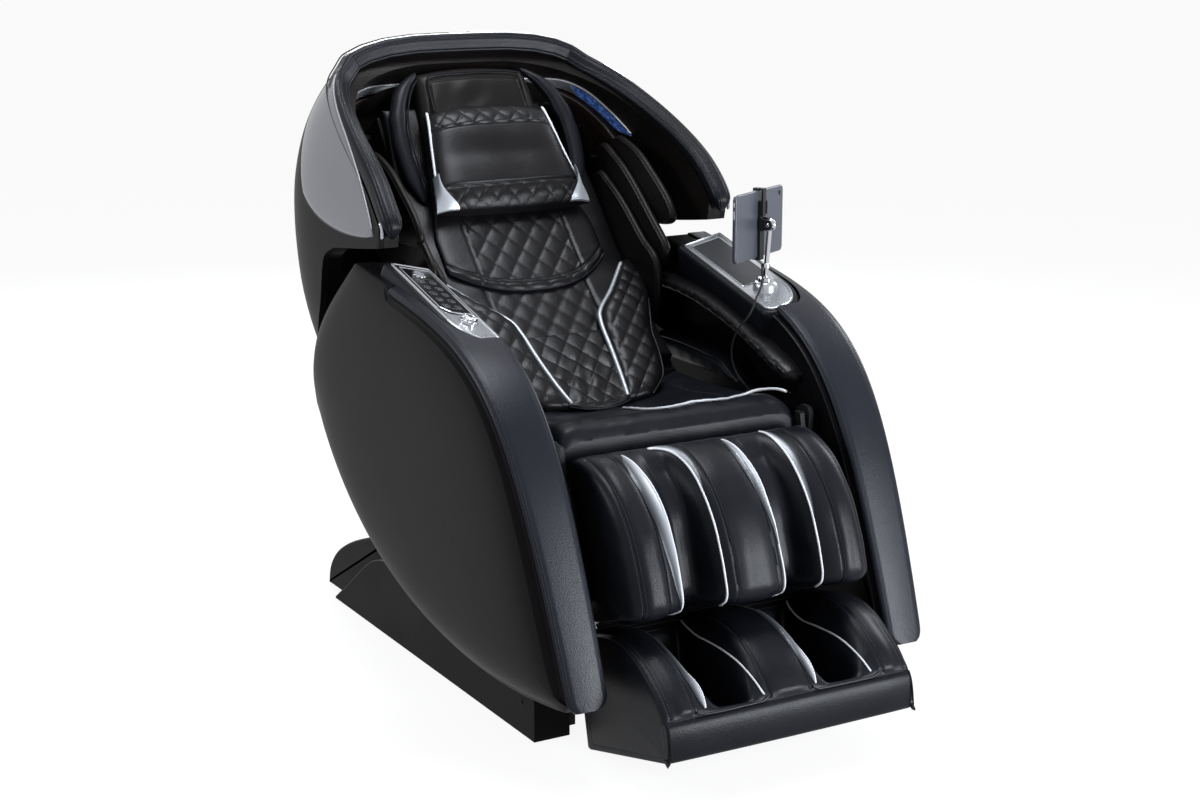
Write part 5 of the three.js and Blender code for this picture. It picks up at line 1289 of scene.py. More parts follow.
            # the flat faces swell a little over their stuffing
            ring = core + (inset(outline, 8.0) - core) * share
            rings.insert(0, lift(low - 5.0 * (1 - share ** 2), ring))
        near = lift(low + 1.0, inset(outline, 5.0))[:95]
        far = lift(high - 1.0, inset(outline, 5.0))[:95]
        return near, far, loft(rings)

    def _shoulders(self, side: float, name: str) -> None:
        """Three leaves of air bags beside each shoulder, the inner one reaching down to the seat."""
        leaves, cords = [], []
        for low, high, knots in (
                (238, 254, ((398, 930), (351, 914), (287, 874), (211, 813), (156, 775), (143, 713), (160, 646),
                            (222, 588), (310, 600), (390, 670), (430, 770), (436, 870))),
                (259, 276, ((420, 985), (357, 965), (297, 928), (212, 858), (150, 802), (158, 764), (225, 746),
                            (340, 756), (425, 810), (450, 900))),
                (281, 297, ((390, 1004), (310, 985), (245, 945), (185, 900), (158, 864), (172, 844), (250, 838),
                            (350, 850), (420, 900), (430, 960)))):
            near, far, leaf = self._leaf(low, high, knots)
            leaves.append(leaf)
            cords += [tube(near, 1.5), tube(far, 1.5)]
        self.shop.make(f"shoulder_leaves_{name}", mirrored(merged(leaves), side), BROWN_LEATHER, "back",
                       (f"shoulder_pad_{name}",), 60)
        self.shop.make(f"shoulder_piping_{name}", mirrored(merged(cords), side), LEATHER, "back")

    def build(self) -> None:
        """Builds the hood."""
        self._shell()
        self._liner()
        self._inlays()
        self._rim()
        for name, side in SIDES:
            self._speaker(side, name)
            self._light(side, name)
            self._shoulders(side, name)


# ---------------------------------------------------------------- back, pillow and head pad
@dataclass
class Back:
    """Everything padded that rides on the back, in the track's own sheet.

    A point of the sheet is (x, along, height): along runs from the foot of the
    back to the head and height stands out of it towards the sitter.
    """

    shop: Workshop
    radius: float = 1430.0
    centre: tuple[float, float] = (-738.0, 1776.0)
    start: float = math.radians(56.1)

    def on_back(self, sheet: np.ndarray) -> np.ndarray:
        """Points of the sheet in the chair's frame.

        Args:
            sheet: x, along and height in the last axis.

        Returns:
            The same points as x, y and z.
        """
        sheet = np.asarray(sheet, float)
        angle = self.start - sheet[..., 1] / self.radius
        reach = self.radius - sheet[..., 2]
        return np.stack([sheet[..., 0], self.centre[0] + reach * np.cos(angle),
                         self.centre[1] - reach * np.sin(angle)], axis=-1)

    def cushion(self, half: Callable[[np.ndarray], np.ndarray], foot: Callable[[np.ndarray], np.ndarray],
                head: Callable[[np.ndarray], np.ndarray], floor: float, rise: Callable[[Grid, Grid, Grid, Grid], Grid],
                rows: int = 90, columns: int = 70) -> tuple[np.ndarray, Faces]:
        """A padded piece on the sheet.

        Args:
            half: half its width over the share along it.
            foot: where it starts, over the share across it from -1 to 1.
            head: where it ends, over the same share.
            floor: the height of its underside.
            rise: its height above the floor from x, along and the two shares.
            rows: steps along it.
            columns: steps across it.

        Returns:
            Its points and faces.
        """
        v = np.sin(np.linspace(-math.pi / 2, math.pi / 2, columns)) * 0.5 + np.linspace(-1, 1, columns) * 0.5
        u = (1 - np.cos(np.linspace(0, math.pi, rows))) / 2 * 0.5 + np.linspace(0, 1, rows) * 0.5
        uu, vv = np.meshgrid(u, v, indexing="ij")
        low, high = foot(vv), head(vv)
        place = low + (high - low) * uu
        x = half(uu) * vv
        top = np.stack([x, place, floor + rise(x, place, uu, vv)], axis=-1)
        bottom = np.stack([x, place, np.full_like(x, floor)], axis=-1)
        return shell(self.on_back(top), self.on_back(bottom))

    def line(self, points: Sequence[Sequence[float]], count: int) -> np.ndarray:
        """A smooth line through points of the sheet."""
        return self.on_back(along(points, count))

    @staticmethod
    def _edge(u: Grid, v: Grid, ends: float = 14.0, sides: float = 10.0) -> Grid:
        """A rounding of the border: nought on it and one inside."""
        along_it = (1 - np.abs(2 * u - 1) ** ends) ** 0.5
        across_it = (1 - np.abs(v) ** sides) ** 0.5
        return np.nan_to_num(along_it) * np.nan_to_num(across_it)

    def _pad(self) -> None:
        """The long padding over the massage track."""
        def rise(x: Grid, place: Grid, u: Grid, v: Grid) -> Grid:
            edge = self._edge(u, v, 30, 8)
            column = smooth(116 - np.abs(x), 0, 10)
            quilt = -3.4 * (1 - quilting(x, place, 50, 62)) * column
            seam = -3.0 * bell(np.abs(x), 119, 3.5)
            wrinkle = 1.2 * noise_field(np.stack([x * 0.5, place], -1), 70, 3) * (1 - column)
            return 16.0 + (12.0 + quilt + seam + wrinkle) * edge

        self.shop.make("back_quilt", self.cushion(
            lambda u: 232 * (1 - 0.10 * smooth(u, 0.62, 1.0)), lambda v: np.full_like(v, 8.0),
            lambda v: np.full_like(v, 668.0), -22.0, rise, 190, 100), QUILT, "back", ("back_pad",))
        for name, side in SIDES:
            seam = self.line([(side * 119, 20, 5.2), (side * 119, 150, 5.6), (side * 119, 300, 5.6)], 90)
            self.shop.make(f"back_seam_{name}", stitches(seam), THREAD, "back")

    def _lumbar(self, name: str, side: float) -> None:
        """The quilted wing beside the waist, piped in silver, with its rounded tip on the seat."""
        inner = along([(222, 262, 10), (158, 182, 18), (108, 128, 22), (94, 90, 22), (86, 20, 20), (76, -50, 16),
                       (64, -112, 12)], 90)
        outer = along([(236, 268, 8), (246, 190, 14), (222, 120, 18), (200, 60, 18), (188, 0, 18), (168, -60, 14),
                       (120, -108, 10)], 90)
        v = np.linspace(0, 1, 46)
        sheet = inner[:, None, :] + (outer - inner)[:, None, :] * v[None, :, None]
        u = np.linspace(-1, 1, 90)[:, None]
        dome = (1 - np.abs(2 * v - 1) ** 5)[None, :] ** 0.5 * (1 - np.abs(u) ** 12) ** 0.5
        quilt = 3.4 * (1 - quilting(sheet[..., 0], sheet[..., 1], 44, 52))
        rise = (16.0 + 10.0 * bell(u, -0.35, 0.5)) * dome - quilt * dome
        top, bottom = sheet.copy(), sheet.copy()
        top[..., 2] = sheet[..., 2] - 8.0 + rise
        bottom[..., 2] = sheet[..., 2] - 12.0
        mirror = np.array([side, 1, 1])
        self.shop.make(f"lumbar_{name}", shell(self.on_back(top * mirror), self.on_back(bottom * mirror)), QUILT,
                       "back")
        piping = inner[2:-1] * mirror + np.array([side * -1.0, 0, -2.0])
        self.shop.make(f"lumbar_piping_{name}", tube(self.on_back(piping), 4.6, 12), SATIN_SILVER, "back")
        rim = outer[4:-1] * mirror + np.array([side * 1.0, 0, -3.0])
        self.shop.make(f"lumbar_welt_{name}", tube(self.on_back(rim), 2.0, 8), LEATHER, "back")

    def _lower_flap(self) -> None:
        """The quilted apron that runs on from the back, with its bowed, stitched hem on the seat."""
        rows, columns = 90, 100
        u = np.linspace(0, 1, rows)[:, None]
        v = np.linspace(-1, 1, columns)[None, :]
        hem_at = -128 + 18 * np.abs(v) ** 2.5
        place = 84 + (hem_at - 84) * u
        half = 112 - 40 * smooth(u, 0.0, 0.9) + 0 * v
        column = half * 0.93
        x = half * v
        quilt = -3.0 * (1 - quilting(x * (1 + 0.25 * u), place, 50, 60)) * smooth(column - np.abs(x), 0, 6)
        quilt = quilt * smooth(place - hem_at, 14, 20)
        hem = -2.2 * bell(place - hem_at, 14, 2.4) + 1.4 * bell(place - hem_at, 7, 5)
        edge = ((1 - np.abs(v) ** 22) * (1 - np.abs(2 * u - 1) ** 40)) ** 0.5
        base = 9.0 - 3.0 * smooth(u, 0.5, 1.0)
        crease = 1.6 * noise_field(np.stack([x, place], -1), 50, 44) * smooth(u, 0.1, 0.5)
        grid = np.stack([x, place, base + (6.0 + quilt + hem + crease) * edge], axis=-1)
        under = np.stack([x, place, np.broadcast_to(base - 2.0, x.shape)], axis=-1)
        self.shop.make("lower_apron", shell(self.on_back(grid), self.on_back(under)), QUILT, "back")
        threads = []
        for off in (12.0, 3.5):
            row = np.linspace(-0.94, 0.94, 90)
            line = np.column_stack([72 * row, -128 + 18 * np.abs(row) ** 2.5 + off, np.full(90, 12.6)])
            threads.append(stitches(self.on_back(line), 5.0, 3.4))
        row = np.linspace(-0.97, 0.97, 90)
        welt = np.column_stack([73 * row, -128 + 18 * np.abs(row) ** 2.5, np.full(90, 8.0)])
        self.shop.make("apron_welt", tube(self.on_back(welt), 2.2), LEATHER, "back")
        self.shop.make("apron_stitching", merged(threads), THREAD, "back")

    def _gusset(self) -> None:
        """A sheet of darker leather that closes the gap between the seat and the foot of the back; its darkness is
        painted shade.
        """
        share = np.linspace(0, 1, 36)
        y = 30 + 52 * share
        z = 520 + 52 * share ** 0.8 + 3.0 * np.cos(share * 6 * math.pi)
        across = np.linspace(-236, 236, 40)
        grid = np.stack([np.broadcast_to(across[None, :], (36, 40)), np.broadcast_to(y[:, None], (36, 40)),
                         np.broadcast_to(z[:, None], (36, 40))], axis=-1)
        piece = self.shop.make("waist_gusset", shell(grid, grid + np.array([0, 1.6, -2.0])), LEATHER_PAINTED_SHADE, None)
        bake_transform(piece)

    @staticmethod
    def _sheet_normal(grid: Grid) -> Grid:
        """Normals of a grid, towards the sitter."""
        normal = np.cross(np.gradient(grid, axis=0), np.gradient(grid, axis=1))
        normal /= np.maximum(np.linalg.norm(normal, axis=-1, keepdims=True), 1e-9)
        return normal * np.sign(-normal[..., 1:2] + normal[..., 2:3] * 0.3)

    def _flap(self) -> None:
        """The loose upper cover: quilted column, plain sides and a bowed, piped hem."""
        half = 186.0

        def foot(v: Grid) -> Grid:
            return 205 + 70 * np.abs(v) ** 2.6 * (1 + 0.12 * v)

        def rise(x: Grid, place: Grid, u: Grid, v: Grid) -> Grid:
            edge = self._edge(u, v, 26, 14)
            column = smooth(116 - np.abs(x), 0, 9)
            quilt = -3.4 * (1 - quilting(x, place, 50, 62)) * column
            seam = -2.6 * bell(np.abs(x), 118, 3.0)
            hem = -2.4 * bell(place - foot(v), 22, 3.2) + 1.4 * bell(place - foot(v), 11, 7)
            near = smooth(60 - (place - foot(v)), 0, 60)
            wrinkle = 1.8 * noise_field(np.stack([x, place * 1.6], -1), 62, 21) * near * (1 - 0.6 * column)
            return 1.5 + (9.0 + quilt + seam + hem + wrinkle) * edge

        self.shop.make("upper_cover", self.cushion(
            lambda u: half * (1 - 0.16 * smooth(u, 0.35, 1.0)), foot, lambda v: np.full_like(v, 470.0), 6.8, rise,
            150, 110), QUILT, "back", ("upper_flap",))
        v = np.linspace(-0.985, 0.985, 120)
        hem = np.stack([half * v, foot(v) + 1.5, np.full_like(v, 11.5)], axis=-1)
        self.shop.make("cover_piping", tube(self.on_back(hem), 2.6), LEATHER, "back")
        seam = np.stack([half * v[4:-4], foot(v[4:-4]) + 22, np.full_like(v[4:-4], 17.0)], axis=-1)
        parts = [stitches(self.on_back(seam))]
        for x in (-118.0, 118.0):
            parts.append(stitches(self.line([(x, 260, 16.0), (x, 340, 16.0), (x, 400, 16.0)], 60)))
        self.shop.make("cover_stitching", merged(parts), THREAD, "back")

    def _head_pad(self) -> bpy.types.Object:
        """The pad behind the head, with its stitched border and wings."""
        def rise(x: Grid, place: Grid, u: Grid, v: Grid) -> Grid:
            edge = self._edge(u, v, 7, 7)
            border = -3.2 * bell(np.maximum(np.abs(v), np.abs(2 * u - 1)), 0.80, 0.03)
            soft = 1.4 * noise_field(np.stack([x, place], -1), 80, 14)
            return 1.0 + (25.0 + border + soft) * edge

        pad = self.shop.make("head_cushion", self.cushion(
            lambda u: 158 * (1 - 0.18 * u), lambda v: np.full_like(v, 478.0), lambda v: 748.0 - 12.0 * v ** 2,
            5.8, rise, 110, 90), BROWN_LEATHER, "back", ("head_pad",))
        ring = [(-112, 640, 33), (-108, 712, 32), (-92, 728, 31), (0, 732, 31), (92, 728, 31), (108, 712, 32),
                (112, 640, 33)]
        self.shop.make("head_piping", tube(self.line(ring, 120), 2.2), LEATHER, "back")
        return pad

    def _wings(self) -> None:
        """The soft cheeks that stand beside the head pad."""
        for name, side in SIDES:
            spine = along([(178, 440, 8), (194, 500, 16), (200, 570, 22), (192, 640, 24), (166, 700, 20),
                           (126, 742, 12)], 60)
            rings = []
            turn = np.linspace(0, 2 * math.pi, 28, endpoint=False)
            for i, here in enumerate(spine):
                size = math.sqrt(max(1 - abs(2 * i / 59 - 1) ** 4, 0.03))
                wide = 19 * size + 2.0 * float(noise_field(np.array([[here[1], 0.0]]), 50, 8)[0]) * size
                deep = 15 * size
                rings.append(self.on_back(np.column_stack([
                    side * (here[0] + wide * np.cos(turn)), np.full(28, here[1]),
                    here[2] + deep * np.sin(turn)])))
            self.shop.make(f"head_wing_{name}", loft(rings), LEATHER, "back", angle=60)
            line = np.column_stack([side * (spine[:, 0] - 19), spine[:, 1], spine[:, 2] + 12])
            self.shop.make(f"wing_piping_{name}", tube(self.on_back(line[6:-6]), 1.9), LEATHER, "back")

    def _pillow(self) -> bpy.types.Object:
        """The pillow: quilted bands over and under a smooth middle."""
        def rise(x: Grid, place: Grid, u: Grid, v: Grid) -> Grid:
            edge = self._edge(u, v, 5, 6)
            band = smooth(np.abs(u - 0.5), 0.285, 0.30)
            inner = smooth(0.93 - np.abs(v), 0, 0.03)
            quilt = -3.4 * (1 - quilting(x, place, 42, 46)) * band * inner
            seams = -4.2 * bell(np.abs(u - 0.5), 0.285, 0.012) - 3.0 * bell(np.abs(v), 0.93, 0.012)
            roll = 5.0 * (1 - (2 * u - 1) ** 2) - 3.0 * bell(u, 0.5, 0.10)
            soft = 1.2 * noise_field(np.stack([x, place], -1), 90, 27)
            return 1.0 + (36.0 + quilt + seams + roll + soft) * edge

        pillow = self.shop.make("pillow_body", self.cushion(
            lambda u: 182 - 42 * u, lambda v: 388 + 10 * np.abs(v) ** 3, lambda v: 648 - 16 * np.abs(v) ** 3,
            32.3, rise, 170, 150), QUILT, "pillow", ("head_pillow",))
        cords, corners = [], []
        for _, side in SIDES:
            line = []
            for u in np.linspace(0.05, 0.95, 60):
                half = 182 - 42 * u
                edge = (1 - abs(2 * u - 1) ** 5) ** 0.5 * (1 - 0.955 ** 6) ** 0.5
                line.append((side * half * 0.955, 388 + 260 * u, 33 + 37 * edge))
            cords.append(tube(self.on_back(np.array(line)), 3.0))
            inner = [(side * (182 - 42 * u) * (0.95 - 0.24 * bell(u, 0.0, 0.16)), 388 + 260 * u,
                      34.5 + 41 * (1 - abs(2 * u - 1) ** 5) ** 0.5 * 0.82) for u in np.linspace(0.03, 0.34, 24)]
            outer = [(side * (182 - 42 * u) * 0.985, 388 + 260 * u,
                      34.5 + 41 * (1 - abs(2 * u - 1) ** 5) ** 0.5 * 0.42) for u in np.linspace(0.03, 0.34, 24)]
            low, high = np.array(inner), np.array(outer)
            v = np.linspace(0, 1, 10)
            grid = low[:, None, :] + (high - low)[:, None, :] * v[None, :, None]
            grid[..., 2] += 4.0 * np.sin(math.pi * v)[None, :] + 1.0
            under = grid.copy()
            under[..., 2] -= 6.0
            corners.append(shell(self.on_back(grid), self.on_back(under)))
        self.shop.make("pillow_piping", merged(cords), PIPING, "pillow")
        self.shop.make("pillow_corners", merged(corners), SATIN_SILVER, "pillow")
        rows = []
        for share in (0.2, 0.8):
            v = np.linspace(-0.88, 0.88, 70)
            half = 182 - 42 * share
            height = 33 + (36 + 3.5) * (1 - abs(2 * share - 1) ** 5) ** 0.5 * (1 - np.abs(v) ** 6) ** 0.5 - 1.2
            rows.append(stitches(self.on_back(np.stack([half * v, np.full_like(v, 388 + 260 * share), height], -1)),
                                 5.0, 3.4))
        self.shop.make("pillow_stitching", merged(rows), THREAD, "pillow")
        return pillow

    def build(self) -> list[bpy.types.Object]:
        """Builds the back's padding.

        Returns:
            The head pad and the pillow.
        """
        self._pad()
        for name, side in SIDES:
            self._lumbar(name, side)
        self._lower_flap()
        self._gusset()
        self._flap()
        pad = self._head_pad()
        self._wings()
        pillow = self._pillow()
        return [pad, pillow]


# ---------------------------------------------------------------- seat
@dataclass
class Seat:
    """The seat cushion with its front roll and piping."""

    shop: Workshop
    half: float = 264.0
    front: float = -332.0
    rear: float = 84.0
    floor: float = 462.0
    top: float = 566.0

    def _level(self, x: Grid, y: Grid) -> Grid:
        """The height of the seat's surface."""
        share = np.clip((y - self.front) / (self.rear - self.front), 0, 1)
        roll = 16.0 * bell(share, 0.10, 0.12)
        dish = -(6.0 + 30.0 * smooth(share, 0.30, 0.72)) * (1 - (x / self.half) ** 2) ** 0.8 * smooth(share, 0.1, 0.4)
        bolster = 7.0 * smooth(np.abs(x), 190, 240)
        seam = -3.0 * bell(np.abs(x), 196, 4.0) * smooth(share, 0.26, 0.32)
        soft = 2.0 * noise_field(np.stack([x, y], -1), 120, 31) + 0.9 * noise_field(np.stack([x, y * 2], -1), 44, 17)
        return self.top - 4.0 + roll + dish + bolster + seam + soft

    def _cushion(self) -> bpy.types.Object:
        """The cushion itself: a tall padded box with a rolled front."""
        rows, columns = 96, 110
        v = np.linspace(-1, 1, columns)
        v = 0.5 * v + 0.5 * np.sin(v * math.pi / 2)
        turn = np.linspace(0, 1, rows)
        top, bottom = [], []
        for t in turn:
            # one path over the cushion: up its front, over it and down its rear
            if t < 0.22:
                a = t / 0.22
                y = self.front + 3 - 10 * math.sin(math.pi * min(a * 0.72, 1))
                z = self.floor + (self.top - self.floor - 8) * a
                level = np.full(columns, z)
                y_line = np.full(columns, y)
            else:
                a = (t - 0.22) / 0.78
                y_line = np.full(columns, self.front + (self.rear - self.front) * a)
                level = self._level(self.half * v, y_line)
                ease = min(a / 0.05, 1.0)
                level = level - (1 - math.sqrt(1 - (1 - ease) ** 2)) * 16
                tail = min((1 - a) / 0.05, 1.0)
                level = level - (1 - math.sqrt(1 - (1 - tail) ** 2)) * 12
            side = (1 - np.abs(v) ** 16) ** 0.5
            drop = (1 - side) * (level - self.floor - 26) * 0.9
            top.append(np.column_stack([self.half * v, y_line, level - drop]))
            back_y = max(self.front + 6, float(y_line[0]) if t >= 0.22 else self.front + 6)
            bottom.append(np.column_stack([self.half * v, np.full(columns, back_y), np.full(columns, self.floor)]))
        body = shell(np.array(top), np.array(bottom))
        return self.shop.make("seat_padding", body, LEATHER, "seat", ("seat_cushion",), 50)

    def _trimmings(self) -> None:
        """Silver piping behind the front roll and seams along the sides."""
        route = along([(-2, -128), (-8, -180), (-6, -216), (12, -244), (46, -256), (96, -252), (150, -244),
                       (190, -239), (228, -246), (248, -272), (256, -308)], 140)
        x, y = route[:, 0], route[:, 1]
        line = np.column_stack([x, y, self._level(x, y) + 2.4])
        self.shop.make("seat_piping", tube(line, 2.8, 10), PIPING, "seat")
        x = np.linspace(-240, 240, 130)
        below = np.column_stack([x, np.full_like(x, self.front - 4.5), np.full_like(x, 520.0)])
        self.shop.make("front_piping", tube(below, 2.2, 10), PIPING, "seat")
        parts = [stitches(line + np.array([0, -12, 0.6])), stitches(line + np.array([0, 12, -0.2]))]
        for side in (-1, 1):
            ys = np.linspace(self.front + 120, self.rear - 14, 80)
            xs = np.full_like(ys, side * 196.0)
            parts.append(stitches(np.column_stack([xs, ys, self._level(xs, ys) + 1.4])))
        self.shop.make("seat_stitching", merged(parts), THREAD, "seat")

    def build(self) -> bpy.types.Object:
        """Builds the seat.

        Returns:
            The cushion.
        """
        cushion = self._cushion()
        self._trimmings()
        return cushion


# ---------------------------------------------------------------- leg rest and foot rest
PATCH_ROWS = 70
PATCH_COLUMNS = 13


def patch_painted_light(count: int) -> np.ndarray:
    """How silver the points of a number of patches are: painted shade and highlight, from nought, near-black, at their
    outer line to full silver at the piping.
    """
    share = np.linspace(0, 1, PATCH_COLUMNS) ** 2.0
    return np.tile(share, PATCH_ROWS * 2 * count)


class Skin:
    """A channelled padded surface: rows down it and columns across it."""

    def __init__(self, front: np.ndarray, floor: np.ndarray, back: np.ndarray, knots: Sequence[Sequence[float]],
                 rows: int, columns: int, fade: tuple[float, float]) -> None:
        """Lays the surface out.

        Args:
            front: knots of the pads' line in the side view.
            floor: knots of the channels' line, as many as front.
            back: knots of the line behind the sides, as many as front.
            knots: x, share from front to floor and share from front to back, from the middle outwards.
            rows: steps down it.
            columns: steps from the middle to one side.
            fade: shares of the length over which the channels open.
        """
        half = along([(x, 60 * w, 90 * b) for x, w, b in knots], columns)
        half[:, 1:] = np.clip(half[:, 1:] / (60, 90), 0, 1)
        profile = np.vstack([half[:0:-1] * (-1, 1, 1), half])
        lines = [resample_rows(spline(line, 24), rows) for line in (front, floor, back)]
        self.u = np.linspace(0, 1, rows)
        self.x = profile[:, 0]
        deep = profile[None, :, 1] * smooth(self.u, *fade)[:, None]
        side = profile[None, :, 2]
        self.deep = deep
        self.grid = np.empty((rows, len(profile), 3))
        self.grid[..., 0] = self.x[None, :]
        for k in (0, 1):
            near, far, rear = (line[:, k][:, None] for line in lines)
            self.grid[..., k + 1] = near + (far - near) * deep + (rear - near) * side
        self.back = np.stack([np.broadcast_to(self.x[None, :] * 0.985, side.shape[:0] + (rows, len(self.x))),
                              np.broadcast_to(lines[2][:, 0:1], (rows, len(self.x))),
                              np.broadcast_to(lines[2][:, 1:2], (rows, len(self.x)))], axis=-1)

    def normals(self) -> Grid:
        """Unit normals, out of the surface."""
        normal = np.cross(np.gradient(self.grid, axis=0), np.gradient(self.grid, axis=1))
        normal /= np.maximum(np.linalg.norm(normal, axis=-1, keepdims=True), 1e-9)
        middle = self.grid.shape[1] // 2
        probe = normal[len(self.u) // 2, middle]
        return normal * (1.0 if probe[1] < 0 else -1.0)

    def swell(self, height: Grid) -> None:
        """Moves the surface out along its normals."""
        self.grid = self.grid + self.normals() * height[..., None]

    def line(self, points: Sequence[Sequence[float]], count: int, above: float) -> np.ndarray:
        """A line over the surface.

        Args:
            points: shares down it and x, in pairs.
            count: how many points come back.
            above: how far it lies over the surface.

        Returns:
            Its points.
        """
        path = along([(u * 500, x) for u, x in points], count)
        rows = path[:, 0] / 500 * (len(self.u) - 1)
        columns = np.interp(path[:, 1], self.x, np.arange(len(self.x)))
        both = np.concatenate([self.grid, self.normals()], axis=-1)
        r0 = np.clip(rows.astype(int), 0, len(self.u) - 2)
        c0 = np.clip(columns.astype(int), 0, len(self.x) - 2)
        fr, fc = (rows - r0)[:, None], (columns - c0)[:, None]
        value = ((both[r0, c0] * (1 - fc) + both[r0, c0 + 1] * fc) * (1 - fr)
                 + (both[r0 + 1, c0] * (1 - fc) + both[r0 + 1, c0 + 1] * fc) * fr)
        return value[:, :3] + value[:, 3:] * above

    def patch(self, first: Sequence[Sequence[float]], second: Sequence[Sequence[float]],
              above: float) -> tuple[np.ndarray, Faces]:
        """A thin strip between two lines over the surface."""
        share = np.linspace(0, 1, PATCH_COLUMNS)
        a, b = np.array(first, float), np.array(second, float)
        lines = [self.line(a + (b - a) * s, PATCH_ROWS, above + 1.2 * math.sin(math.pi * s) ** 0.5) for s in share]
        low = [self.line(a + (b - a) * s, PATCH_ROWS, above - 2.6) for s in share]
        return shell(np.stack(lines, axis=1), np.stack(low, axis=1))

    def body(self) -> tuple[np.ndarray, Faces]:
        """The closed body between the surface and its back."""
        return shell(self.grid, self.back)


def resample_rows(line: np.ndarray, rows: int) -> np.ndarray:
    """Picks rows from a fine line at equal steps of its parameter."""
    at = np.linspace(0, len(line) - 1, rows)
    index = np.arange(len(line))
    return np.stack([np.interp(at, index, line[:, k]) for k in range(line.shape[1])], axis=1)


Pair = tuple[float, float]


